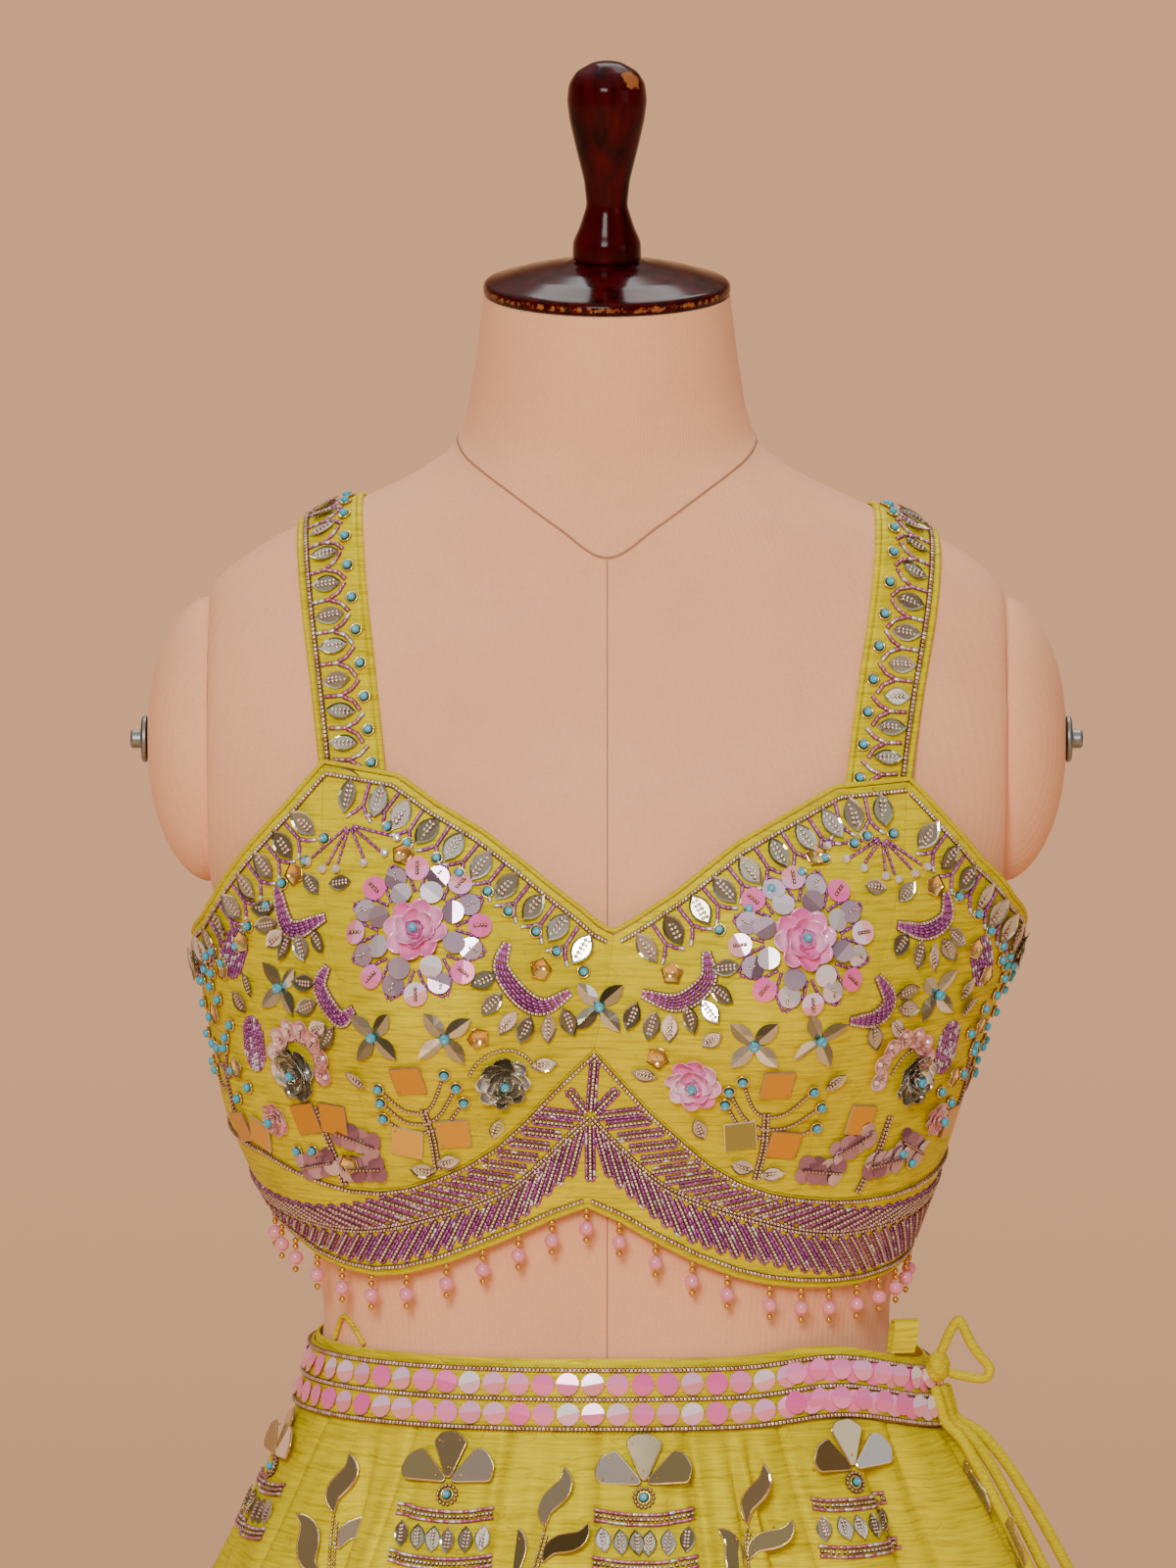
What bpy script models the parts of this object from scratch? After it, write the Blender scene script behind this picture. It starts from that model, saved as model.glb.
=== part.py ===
"""A lehenga set on a limbless dress form, in metres, +Z up.

A strappy beaded choli, a flared skirt of sixteen kalis with a tied belt, and the wood-capped form
that wears them on its stand. The front faces -Y and the floor is z = 0.
"""

import math
from collections import namedtuple

import bmesh
import bpy
import numpy as np

# Driving sizes.
GAP = 0.0003
SEAM_HALF = 0.0002
SKIRT_HEM = 0.030
SKIRT_CLOTH = 0.0012
KALIS = 16
KALI_START = -47.5
BELT_HALF = 0.0135
CHOLI_CLOTH = 0.0015
BACK_SEAM = 180.0
SIDE_SEAM = 95.0
STRAP_WIDTH = 0.0275
STRAP_CLOTH = 0.0013
STRAP_TUCK = 0.0054
PIPING_RADIUS = 0.0009
DROP_TAPE = 0.0010
DROP_SIDES = 4
TAIL_RADIUS = 0.0024

# The dress form.
ARM_PLANE = 0.1690
ARM_BULGE = 0.0275
ARM_CENTRE = 1.3120
NECK_TILT = math.radians(10.0)
NECK_TOP = 1.5025
NECK_AXIS_Y = -0.0110
BOLT_RADIUS = 0.0100
POLE_RADIUS = 0.0140
BASE_TOP = 0.0250

Section = namedtuple("Section", "height half_width front back square shift_x shift_y")
FORM = [
    Section(0.840, 0.1600, 0.0980, 0.1120, 2.25, 0, 0),
    Section(0.870, 0.1650, 0.1010, 0.1170, 2.25, 0, 0),
    Section(0.930, 0.1620, 0.0990, 0.1170, 2.25, 0, 0),
    Section(0.990, 0.1450, 0.0930, 0.1060, 2.20, 0, 0),
    Section(1.030, 0.1290, 0.0870, 0.0940, 2.15, 0, 0),
    Section(1.060, 0.1220, 0.0840, 0.0880, 2.15, 0, 0),
    Section(1.092, 0.1262, 0.0860, 0.0880, 2.20, 0, 0),
    Section(1.130, 0.1385, 0.0920, 0.0940, 2.30, 0, 0),
    Section(1.175, 0.1520, 0.0970, 0.1020, 2.35, 0, 0),
    Section(1.215, 0.1615, 0.1000, 0.1070, 2.40, 0, 0),
    Section(1.250, 0.1690, 0.0980, 0.1100, 2.45, 0, 0),
    Section(1.290, 0.1790, 0.0900, 0.1090, 2.50, 0, 0),
    Section(1.330, 0.1830, 0.0780, 0.1030, 2.45, 0, 0),
    Section(1.360, 0.1785, 0.0690, 0.0940, 2.35, 0, 0),
    Section(1.378, 0.1690, 0.0630, 0.0870, 2.25, 0, 0),
    Section(1.392, 0.1530, 0.0595, 0.0810, 2.15, 0, 0),
    Section(1.404, 0.1320, 0.0570, 0.0760, 2.05, 0, 0),
    Section(1.4155, 0.1050, 0.0550, 0.0710, 2.00, 0, 0),
    Section(1.4285, 0.0785, 0.0535, 0.0655, 2.00, 0, -0.0005),
    Section(1.4380, 0.0660, 0.0525, 0.0610, 2.00, 0, -0.0015),
    Section(1.4500, 0.0605, 0.0520, 0.0570, 2.00, 0, -0.0035),
    Section(1.4700, 0.0565, 0.0520, 0.0540, 2.00, 0, -0.0065),
    Section(1.5025, 0.0522, 0.0520, 0.0520, 2.00, 0, -0.0110),
]
TORSO_HEIGHTS = (
    0.840, 0.842, 0.875, 0.915, 0.955, 0.990, 1.015, 1.034, 1.052, 1.072, 1.095, 1.120, 1.148, 1.176,
    1.200, 1.223, 1.250, 1.272, 1.295, 1.318, 1.340, 1.360, 1.376, 1.390, 1.402, 1.413, 1.424, 1.434,
    1.448, 1.470, NECK_TOP,
)
# The choli's outer face.
CHOLI = [
    Section(1.060, 0.1245, 0.0905, 0.0925, 2.15, -0.003, 0),
    Section(1.080, 0.1295, 0.0915, 0.0925, 2.20, -0.003, 0),
    Section(1.105, 0.1375, 0.0945, 0.0945, 2.25, -0.003, 0),
    Section(1.130, 0.1490, 0.0985, 0.0985, 2.30, -0.005, 0),
    Section(1.152, 0.1570, 0.1020, 0.1020, 2.35, -0.006, 0),
    Section(1.187, 0.1660, 0.1060, 0.1075, 2.35, -0.004, 0),
    Section(1.226, 0.1770, 0.1070, 0.1135, 2.40, 0.000, 0),
    Section(1.265, 0.1860, 0.1030, 0.1160, 2.45, 0.002, 0),
    Section(1.305, 0.1900, 0.0935, 0.1145, 2.45, 0.003, 0),
    Section(1.340, 0.1900, 0.0810, 0.1060, 2.45, 0.003, 0),
]

Bust = namedtuple("Bust", "height across depth width rise fall")
FORM_BUST = Bust(1.208, 0.080, 0.027, 0.052, 0.066, 0.048)
CHOLI_BUST = Bust(1.206, 0.079, 0.029, 0.053, 0.066, 0.046)

# The choli's edges and seams: degrees from the front centre, towards +X, and heights.
Edge = namedtuple("Edge", "angle height")
TOP_EDGE = [
    Edge(-180, 1.2420), Edge(-165, 1.2460), Edge(-151, 1.2570), Edge(-136, 1.2560), Edge(-124, 1.2400),
    Edge(-110, 1.2290), Edge(-95, 1.2240), Edge(-84, 1.2300), Edge(-76, 1.2390), Edge(-72, 1.2489),
    Edge(-68, 1.2620), Edge(-63.5, 1.2786), Edge(-60.2, 1.2921), Edge(-57, 1.3080), Edge(-46, 1.3033),
    Edge(-38.5, 1.2922), Edge(-29.2, 1.2814), Edge(-20.3, 1.2688), Edge(-13.8, 1.2592), Edge(-7, 1.2499),
    Edge(-2.4, 1.2428), Edge(0.9, 1.2400), Edge(5, 1.2443), Edge(14.8, 1.2568), Edge(27.5, 1.2763),
    Edge(39.2, 1.2898), Edge(46.3, 1.2986), Edge(57, 1.3010), Edge(61.3, 1.2834), Edge(66, 1.2666),
    Edge(74, 1.2479), Edge(84, 1.2340), Edge(95, 1.2260), Edge(110, 1.2290), Edge(124, 1.2400),
    Edge(136, 1.2560), Edge(151, 1.2570), Edge(165, 1.2460), Edge(180, 1.2420),
]
BAND_EDGE = [
    Edge(-95, 1.1520), Edge(-84, 1.1485), Edge(-76, 1.1455), Edge(-69.3, 1.1425), Edge(-63.8, 1.1370),
    Edge(-58, 1.1329), Edge(-52.8, 1.1304), Edge(-47, 1.1303), Edge(-41, 1.1328), Edge(-34.8, 1.1377),
    Edge(-28.6, 1.1433), Edge(-22, 1.1516), Edge(-15.8, 1.1628), Edge(-8.3, 1.1787), Edge(-1, 1.1928),
    Edge(4.9, 1.1816), Edge(12.4, 1.1674), Edge(19.8, 1.1551), Edge(26.4, 1.1438), Edge(32.9, 1.1357),
    Edge(39.2, 1.1304), Edge(45.2, 1.1276), Edge(51.4, 1.1257), Edge(57.6, 1.1249), Edge(64.5, 1.1255),
    Edge(71, 1.1275), Edge(84, 1.1350), Edge(95, 1.1390),
]
HEM_EDGE = [
    Edge(-180, 1.1000), Edge(-150, 1.1010), Edge(-120, 1.1050), Edge(-95, 1.1110), Edge(-86, 1.1105),
    Edge(-79, 1.1075), Edge(-71, 1.1021), Edge(-67.2, 1.0982), Edge(-60, 1.0946), Edge(-53.2, 1.0935),
    Edge(-46.3, 1.0956), Edge(-37.5, 1.1010), Edge(-28.3, 1.1081), Edge(-19.9, 1.1144), Edge(-11, 1.1214),
    Edge(-2.1, 1.1268), Edge(5.6, 1.1206), Edge(12.3, 1.1133), Edge(22.9, 1.1033), Edge(33.7, 1.0953),
    Edge(40.9, 1.0916), Edge(47.8, 1.0894), Edge(55.1, 1.0880), Edge(62.8, 1.0879), Edge(72.4, 1.0897),
    Edge(84, 1.0935), Edge(95, 1.0960), Edge(120, 1.0980), Edge(150, 1.0995), Edge(180, 1.1000),
]
Seam = namedtuple("Seam", "height left centre right")
FRONT_SEAMS = [
    Seam(1.080, -45.0, -2.6, 44.0),
    Seam(1.130, -47.0, -2.0, 45.0),
    Seam(1.155, -46.6, -1.5, 46.0),
    Seam(1.193, -48.6, -1.0, 48.4),
    Seam(1.240, -52.5, 0.9, 52.5),
    Seam(1.308, -57.0, 0.9, 57.0),
]
Strap = namedtuple("Strap", "turn left right")
STRAPS = [
    Strap(0.00, -0.1045, 0.1110),
    Strap(0.18, -0.1100, 0.1180),
    Strap(0.40, -0.1170, 0.1270),
    Strap(0.62, -0.1130, 0.1200),
    Strap(1.00, -0.0880, 0.0900),
]
Drop = namedtuple("Drop", "angle")
DROPS = [
    Drop(-88), Drop(-80.5), Drop(-74.5), Drop(-68), Drop(-61.5), Drop(-54.5), Drop(-46.3), Drop(-37),
    Drop(-28.3), Drop(-19.5), Drop(-11), Drop(-2.3), Drop(5.5), Drop(14), Drop(22.8), Drop(31.2), Drop(41.2),
    Drop(48.5), Drop(55.2), Drop(62.4), Drop(69), Drop(75.6), Drop(82), Drop(88.5),
]
Bead = namedtuple("Bead", "down radius")
DROP_PROFILE = [
    Bead(-0.0002, 0.0008), Bead(0.0046, 0.0011), Bead(0.0080, 0.0036), Bead(0.0114, 0.0011),
    Bead(0.0134, 0.0008),
]
Rosette = namedtuple("Rosette", "name angle height radius rise")
ROSETTES = [
    Rosette("rosette_cup_left", -38.6, 1.2427, 0.0145, 0.0042),
    Rosette("rosette_cup_right", 38.6, 1.2388, 0.0145, 0.0042),
    Rosette("rosette_front_left", -20.5, 1.1802, 0.0130, 0.0036),
    Rosette("rosette_front_right", 21.3, 1.1794, 0.0128, 0.0036),
    Rosette("rosette_side_left", -58.0, 1.1796, 0.0130, 0.0036),
    Rosette("rosette_side_right", 62.1, 1.1760, 0.0130, 0.0036),
]

# The skirt: how far it stands out from its own waist, against the way down from waist to hem.
Flare = namedtuple("Flare", "down side front back")
FLARES = [
    Flare(0.00, 0.0000, 0.0000, 0.0000),
    Flare(0.03, 0.0138, 0.0128, 0.0138),
    Flare(0.06, 0.0282, 0.0268, 0.0282),
    Flare(0.12, 0.0570, 0.0575, 0.0600),
    Flare(0.20, 0.0940, 0.0980, 0.1000),
    Flare(0.35, 0.1560, 0.1640, 0.1660),
    Flare(0.50, 0.2120, 0.2230, 0.2260),
    Flare(0.70, 0.2740, 0.2900, 0.2940),
    Flare(0.85, 0.3140, 0.3320, 0.3360),
    Flare(1.00, 0.3460, 0.3640, 0.3680),
]
Fold = namedtuple("Fold", "angle width rise drift power")
FOLDS = [
    Fold(-173, 6.8, 0.052, 3, 1.15),
    Fold(-151, 6.2, 0.046, -2, 1.25),
    Fold(-130, 7.2, 0.056, 2, 1.10),
    Fold(-108, 6.0, 0.044, -3, 1.20),
    Fold(-90, 6.6, 0.050, 1, 1.05),
    Fold(-68, 6.4, 0.054, 3, 1.02),
    Fold(-49, 5.6, 0.040, -2, 1.20),
    Fold(-31, 6.6, 0.048, 3, 1.30),
    Fold(-9, 7.4, 0.044, -3, 1.45),
    Fold(11, 6.4, 0.046, 2, 1.40),
    Fold(30, 6.0, 0.042, 3, 1.30),
    Fold(50, 6.2, 0.052, -2, 1.10),
    Fold(73, 7.6, 0.058, 1, 1.02),
    Fold(92, 5.8, 0.044, 3, 1.15),
    Fold(112, 6.8, 0.052, -2, 1.20),
    Fold(133, 6.2, 0.044, 2, 1.15),
    Fold(153, 7.0, 0.054, 0, 1.10),
]
Tuck = namedtuple("Tuck", "angle width rise drift deepest")
TUCKS = [
    Tuck(61, 4.5, -0.0110, 2, 0.13),
    Tuck(72, 5.5, 0.0080, 2, 0.12),
    Tuck(86, 13.0, 0.0070, 0, 0.035),
    Tuck(-57, 4.5, -0.0070, 1, 0.15),
    Tuck(-66, 5.0, 0.0040, 1, 0.12),
    Tuck(-18, 5.0, -0.0040, 0, 0.16),
    Tuck(38, 5.0, -0.0050, 1, 0.16),
    Tuck(112, 5.0, -0.0080, 1, 0.15),
    Tuck(-118, 5.0, -0.0080, 1, 0.15),
    Tuck(165, 5.0, -0.0070, -1, 0.15),
]
KALI_ROWS = (0.0, 0.02, 0.055, 0.11, 0.20, 0.32, 0.47, 0.64, 0.82, 1.0)
KALI_COLUMNS = 6
ROSETTE_SIDES = 12
ARM_SIDES = 24
WAIST_COLUMNS = 52

Tail = namedtuple("Tail", "name top_angle low_angle length stand")
TAILS = [
    Tail("tie_tail_long", 83.0, 86.0, 0.36, 0.0140),
    Tail("tie_tail_middle", 79.8, 80.5, 0.30, 0.0055),
    Tail("tie_tail_short", 76.6, 73.5, 0.33, 0.0010),
]
RibbonTurn = namedtuple("RibbonTurn", "out up")
RIBBON_LOOP = [
    RibbonTurn(0.0022, 0.0000), RibbonTurn(0.0034, 0.0065), RibbonTurn(0.0030, 0.0115),
    RibbonTurn(0.0012, 0.0136), RibbonTurn(-0.0014, 0.0128), RibbonTurn(-0.0026, 0.0080),
    RibbonTurn(-0.0018, 0.0000),
]
CordTurn = namedtuple("CordTurn", "out up")
CORD_LOOP = [
    CordTurn(0.0014, 0.0064), CordTurn(0.0048, 0.0145), CordTurn(0.0080, 0.0198), CordTurn(0.0100, 0.0192),
    CordTurn(0.0150, 0.0095), CordTurn(0.0215, 0.0015), CordTurn(0.0222, -0.0015), CordTurn(0.0205, -0.0042),
    CordTurn(0.0150, -0.0042), CordTurn(0.0056, -0.0026),
]
Turned = namedtuple("Turned", "radius height")
NECK_CAP_PROFILE = [
    Turned(0, 0.0143), Turned(0.0160, 0.0143), Turned(0.0172, 0.0137), Turned(0.0260, 0.0122),
    Turned(0.0380, 0.0095), Turned(0.0470, 0.0068), Turned(0.0515, 0.0055), Turned(0.0525, 0.0044),
    Turned(0.0525, 0.0012), Turned(0.0517, 0.0003), Turned(0, 0.0003),
]
FINIAL_PROFILE = [
    Turned(0, 0.0851), Turned(0.0060, 0.0842), Turned(0.0130, 0.0802), Turned(0.0162, 0.0750),
    Turned(0.0169, 0.0680), Turned(0.0159, 0.0600), Turned(0.0134, 0.0490), Turned(0.0097, 0.0340),
    Turned(0.0086, 0.0235), Turned(0.0118, 0.0135), Turned(0.0144, 0.0080), Turned(0.0146, 0), Turned(0, 0),
]
BASE_PROFILE = [
    Turned(0, 0.0250), Turned(0.0300, 0.0250), Turned(0.0340, 0.0215), Turned(0.1500, 0.0150),
    Turned(0.1820, 0.0120), Turned(0.1890, 0.0085), Turned(0.1900, 0.0050), Turned(0.1885, 0), Turned(0, 0),
]
BOLT_PROFILE = [
    Turned(0, 0.0070), Turned(0.0034, 0.0070), Turned(0.0040, 0.0062), Turned(0.0040, 0.0024),
    Turned(0.0092, 0.0022), Turned(0.0100, 0.0014), Turned(0.0100, 0), Turned(0, 0),
]

Finish = namedtuple("Finish", "colour roughness metallic")
FINISHES = {
    "form_cover": Finish((0.74, 0.46, 0.32), 0.85, 0),
    "wood": Finish((0.045, 0.006, 0.004), 0.28, 0),
    "bolt": Finish((0.35, 0.33, 0.31), 0.40, 1),
    "stand": Finish((0.03, 0.03, 0.03), 0.45, 1),
    "silk": Finish((0.58, 0.52, 0.02), 0.50, 0),
    "belt": Finish((0.62, 0.33, 0.30), 0.35, 0),
    "bead": Finish((0.70, 0.22, 0.20), 0.25, 0),
    "rosette": Finish((0.68, 0.30, 0.33), 0.40, 0),
}


def smooth_table(rows):
    """A cubic curve through the rows of a table, as a function of its first column."""
    values = np.array(rows, float)
    stops, columns = values[:, 0], values[:, 1:]
    slopes = np.gradient(columns, stops, axis=0)

    def at(where):
        where = np.clip(np.asarray(where, float), stops[0], stops[-1])
        i = np.clip(np.searchsorted(stops, where, side="right") - 1, 0, len(stops) - 2)
        span = (stops[i + 1] - stops[i])[..., None]
        t = ((where - stops[i]) / span[..., 0])[..., None]
        return (
            (2 * t**3 - 3 * t**2 + 1) * columns[i]
            + (t**3 - 2 * t**2 + t) * span * slopes[i]
            + (3 * t**2 - 2 * t**3) * columns[i + 1]
            + (t**3 - t**2) * span * slopes[i + 1]
        )

    return at


def straight_table(rows, column):
    """A polyline through one column of a table, as a function of its first column."""
    stops = [row[0] for row in rows]
    values = [row[column] for row in rows]
    return lambda where: np.interp(where, stops, values)


def bust_depth(bust, x, height):
    """How far the two rounded fronts stand forward at this place."""
    reach = np.where(height > bust.height, bust.rise, bust.fall)
    up = np.exp(-(((height - bust.height) / reach) ** 2))
    right = np.exp(-(((x - bust.across) / bust.width) ** 2))
    left = np.exp(-(((x + bust.across) / bust.width) ** 2))
    return bust.depth * up * (right + left)


def rounded_tube(sections, bust):
    """A tube through the sections: the point at an angle (radians) from the front centre and a height."""
    table = smooth_table(sections)

    def at(angle, height):
        angle, height = np.broadcast_arrays(np.asarray(angle, float), np.asarray(height, float))
        half_width, front, back, square, shift_x, shift_y = np.moveaxis(table(height), -1, 0)
        across, ahead = np.sin(angle), np.cos(angle)
        depth = np.where(ahead >= 0, front, back)
        radius = (np.abs(across / half_width) ** square + np.abs(ahead / depth) ** square) ** (-1 / square)
        x = radius * across
        forward = bust_depth(bust, x, height) * np.sqrt(np.clip(ahead, 0, 1))
        return np.stack([x + shift_x, shift_y - radius * ahead - forward, height], axis=-1)

    return at


def depth_at(sections, bust, x, height):
    """The tube's front and back y at this x and height."""
    half_width, front, back, square, shift_x, shift_y = np.moveaxis(smooth_table(sections)(height), -1, 0)
    away = x - shift_x
    share = np.clip(1 - np.abs(away / half_width) ** square, 0, 1) ** (1 / square)
    ahead = front * share / np.sqrt(away**2 + (front * share) ** 2 + 1e-12)
    forward = bust_depth(bust, away, height) * np.sqrt(ahead)
    return shift_y - front * share - forward, shift_y + back * share


def lifted(surface, angle, height, lift):
    """The surface's point, moved out along its normal."""
    turn, climb = 1e-3, 2e-4
    along = surface(angle + turn, height) - surface(angle - turn, height)
    up = surface(angle, height + climb) - surface(angle, height - climb)
    normal = np.cross(along, up)
    normal /= np.linalg.norm(normal, axis=-1, keepdims=True)
    return surface(angle, height) + normal * np.asarray(lift, float)[..., None]


form_surface = rounded_tube(FORM, FORM_BUST)
choli_surface = rounded_tube(CHOLI, CHOLI_BUST)
top_edge = straight_table(TOP_EDGE, 1)
band_edge = straight_table(BAND_EDGE, 1)
hem_edge = straight_table(HEM_EDGE, 1)
left_seam = straight_table(FRONT_SEAMS, 1)
centre_seam = straight_table(FRONT_SEAMS, 2)
right_seam = straight_table(FRONT_SEAMS, 3)


def belt_middle(angle):
    """The belt's centre line: nearly level, bunched up and then pulled down where it is tied."""
    bunch = 0.0045 * np.exp(-(((angle - math.radians(56)) / math.radians(13)) ** 2))
    pull = 0.0085 * np.exp(-(((angle - math.radians(86)) / math.radians(24)) ** 2))
    return 1.0400 + 0.0025 * np.cos(angle) + bunch - pull


def waist_slack(angle):
    """The waist stands off the form where it is tied."""
    return 0.0014 + 0.0120 * np.exp(-(((angle - math.radians(80)) / math.radians(24)) ** 2))


def waist_point(angle, height, lift):
    """A point around the waist, out from the form by the slack and a lift."""
    on_form = form_surface(angle, height)
    out = np.stack([np.sin(angle), -np.cos(angle), np.zeros_like(angle)], axis=-1)
    return on_form + out * (waist_slack(angle) + lift)[..., None]


def fold_depth(angle, down):
    """The skirt's folds drift and grow on their way to the hem, and its tucks fade again under the waist."""
    degrees = np.degrees(angle)
    total = -0.012 * down
    for fold in FOLDS:
        apart = (degrees - fold.angle - fold.drift * down + 180) % 360 - 180
        total = total + fold.rise * down**fold.power * np.exp(-((apart / fold.width) ** 2))
    for tuck in TUCKS:
        apart = (degrees - tuck.angle - tuck.drift * down + 180) % 360 - 180
        growth = down / tuck.deepest * np.exp(1 - down / tuck.deepest)
        total = total + tuck.rise * growth * np.exp(-((apart / tuck.width) ** 2))
    return total


flare_table = smooth_table(FLARES)


def skirt_surface(angle, down):
    """The skirt's outer face at an angle, and at a share of the way down from its waist to its hem."""
    angle, down = np.broadcast_arrays(np.asarray(angle, float), np.asarray(down, float))
    reach = np.clip(down, 0, 1)
    side, front, back = np.moveaxis(flare_table(reach), -1, 0)
    ends = np.where(np.cos(angle) >= 0, front, back)
    flare = side * np.sin(angle) ** 2 + ends * np.cos(angle) ** 2
    height = belt_middle(angle) - BELT_HALF - 0.0002
    at_waist = waist_point(angle, height, np.full_like(angle, 0.0016))
    out = np.stack([np.sin(angle), -np.cos(angle), np.zeros_like(angle)], axis=-1)
    point = at_waist + out * (flare + fold_depth(angle, reach))[..., None]
    point[..., 2] = height + (SKIRT_HEM - height) * down
    return point


def skirt_lifted(angle, down, lift):
    """The skirt's point moved out along its normal: going down the skirt, the normal turns round."""
    flipped = lambda turn, climb: skirt_surface(turn, -climb)
    return lifted(flipped, angle, -np.asarray(down, float), lift)


def new_material(name, finish):
    material = bpy.data.materials.new(name)
    material.use_nodes = True
    principled = material.node_tree.nodes["Principled BSDF"]
    principled.inputs["Base Color"].default_value = (*finish.colour, 1)
    principled.inputs["Roughness"].default_value = finish.roughness
    principled.inputs["Metallic"].default_value = finish.metallic
    material.diffuse_color = (*finish.colour, 1)
    return material


def place(name, data, finish):
    """Link an object for this mesh or curve, with a material of its own."""
    piece = bpy.data.objects.new(name, data)
    bpy.data.collections["lehenga_set"].objects.link(piece)
    data.materials.append(new_material(name, FINISHES[finish]))
    return piece


def closed_mesh(name, points, faces, finish, angle=40):
    """A closed body from points and faces, its faces turned outwards."""
    mesh = bpy.data.meshes.new(name)
    mesh.from_pydata([tuple(point) for point in points], [], faces)
    shape = bmesh.new()
    shape.from_mesh(mesh)
    bmesh.ops.recalc_face_normals(shape, faces=shape.faces)
    shape.to_mesh(mesh)
    shape.free()
    mesh.shade_smooth()
    mesh.set_sharp_from_angle(angle=math.radians(angle))
    return place(name, mesh, finish)


def wall(name, inner, outer, finish, ring=False):
    """A cloth wall between two grids of points; ring joins the last column to the first."""
    rows, columns = outer.shape[:2]
    half = rows * columns
    across = columns if ring else columns - 1
    faces = []
    for row in range(rows - 1):
        for column in range(across):
            a = row * columns + column
            b = row * columns + (column + 1) % columns
            faces.append((a, b, b + columns, a + columns))
            faces.append((half + a, half + a + columns, half + b + columns, half + b))
    for column in range(across):
        for row in (0, rows - 1):
            a = row * columns + column
            b = row * columns + (column + 1) % columns
            faces.append((a, b, half + b, half + a))
    if not ring:
        for row in range(rows - 1):
            for column in (0, columns - 1):
                a = row * columns + column
                faces.append((a, a + columns, half + a + columns, half + a))
    points = np.concatenate([outer.reshape(-1, 3), inner.reshape(-1, 3)])
    return closed_mesh(name, points, faces, finish)


def turned(name, profile, finish, steps, location, rotation):
    """A turned solid: the profile runs down its outer side from the axis to the axis."""
    mesh = bpy.data.meshes.new(name)
    points = [(point.radius, 0, point.height) for point in profile]
    mesh.from_pydata(points, [(i, i + 1) for i in range(len(points) - 1)], [])
    piece = place(name, mesh, finish)
    screw = piece.modifiers.new("turn", "SCREW")
    screw.axis = "Z"
    screw.steps = steps
    screw.render_steps = steps
    screw.use_merge_vertices = True
    screw.merge_threshold = 0.00001
    screw.use_smooth_shade = True
    piece.location = location
    piece.rotation_euler = rotation
    return piece


def tube(name, path, radius, finish, ring=False, resolution=0):
    """A round cord, tape or piping along a path."""
    curve = bpy.data.curves.new(name, "CURVE")
    curve.dimensions = "3D"
    curve.bevel_depth = radius
    curve.bevel_resolution = resolution
    curve.use_fill_caps = True
    curve.twist_mode = "MINIMUM"
    spline = curve.splines.new("POLY")
    spline.points.add(len(path) - 1)
    for point, place_at in zip(spline.points, path):
        point.co = (*place_at, 1)
    spline.use_cyclic_u = ring
    return place(name, curve, finish)


def seam_share(degrees):
    """Half a seam's gap, as an angle on the choli."""
    return degrees * SEAM_HALF / 0.13 * 180 / math.pi


def panel(name, left, right, low, high, columns, rows):
    """One piece of the choli between two seam lines and two edges, all given in degrees and heights."""
    u, v = np.meshgrid(np.linspace(0, 1, columns + 1), np.linspace(0, 1, rows + 1))
    height = np.full_like(u, 1.18)
    for _ in range(12):
        a = left(height) + seam_share(1)
        b = right(height) - seam_share(1)
        angle = a + (b - a) * u
        height = low(angle) + (high(angle) - low(angle)) * v
    turn = np.radians(angle)
    outer = lifted(choli_surface, turn, height, np.zeros_like(turn))
    inner = lifted(choli_surface, turn, height, np.full_like(turn, -CHOLI_CLOTH))
    wall(name, inner, outer, "silk")
    return list(angle[-1])


def build_choli():
    above = lambda degrees: band_edge(degrees) + SEAM_HALF
    below = lambda degrees: band_edge(degrees) - SEAM_HALF
    side = lambda sign: lambda height: np.full_like(height, sign * SIDE_SEAM)
    middle = lambda sign: lambda height: np.full_like(height, sign * BACK_SEAM)
    top = panel("choli_back_left", middle(-1), side(-1), hem_edge, top_edge, 10, 6)
    top += panel("choli_side_left", side(-1), left_seam, above, top_edge, 8, 9)
    top += panel("choli_cup_left", left_seam, centre_seam, above, top_edge, 12, 9)
    top += panel("choli_cup_right", centre_seam, right_seam, above, top_edge, 12, 9)
    top += panel("choli_side_right", right_seam, side(1), above, top_edge, 8, 9)
    top += panel("choli_back_right", side(1), middle(1), hem_edge, top_edge, 10, 6)
    build_placket()
    build_piping(top)
    build_fringe(build_band(below))


def build_band(below):
    """The underbust band, its columns on the same lines as the cups' and sides' lower edges."""
    stops = []
    for a, b, count in ((-95, -47, 8), (-47, -1, 12), (-1, 45, 12), (45, 95, 8)):
        stops.extend(np.linspace(a, b, count + 1)[:-1])
    stops.append(95)
    degrees = np.array(stops)
    degrees[0] += seam_share(1)
    degrees[-1] -= seam_share(1)
    u, v = np.meshgrid(degrees, np.linspace(0, 1, 3))
    height = hem_edge(u) + (below(u) - hem_edge(u)) * v
    turn = np.radians(u)
    outer = lifted(choli_surface, turn, height, np.zeros_like(turn))
    inner = lifted(choli_surface, turn, height, np.full_like(turn, -CHOLI_CLOTH))
    wall("choli_band_front", inner, outer, "silk")
    return degrees


def build_placket():
    """A narrow strip over the closing at the centre back."""
    u, v = np.meshgrid(np.radians(np.linspace(176.2, 183.8, 4)), np.linspace(0, 1, 8))
    height = hem_edge(180) + 0.0005 + (top_edge(180) - 0.001 - hem_edge(180)) * v
    outer = lifted(choli_surface, u, height, np.full_like(u, GAP + 0.0013))
    inner = lifted(choli_surface, u, height, np.full_like(u, GAP))
    wall("choli_back_placket", inner, outer, "silk")


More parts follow.
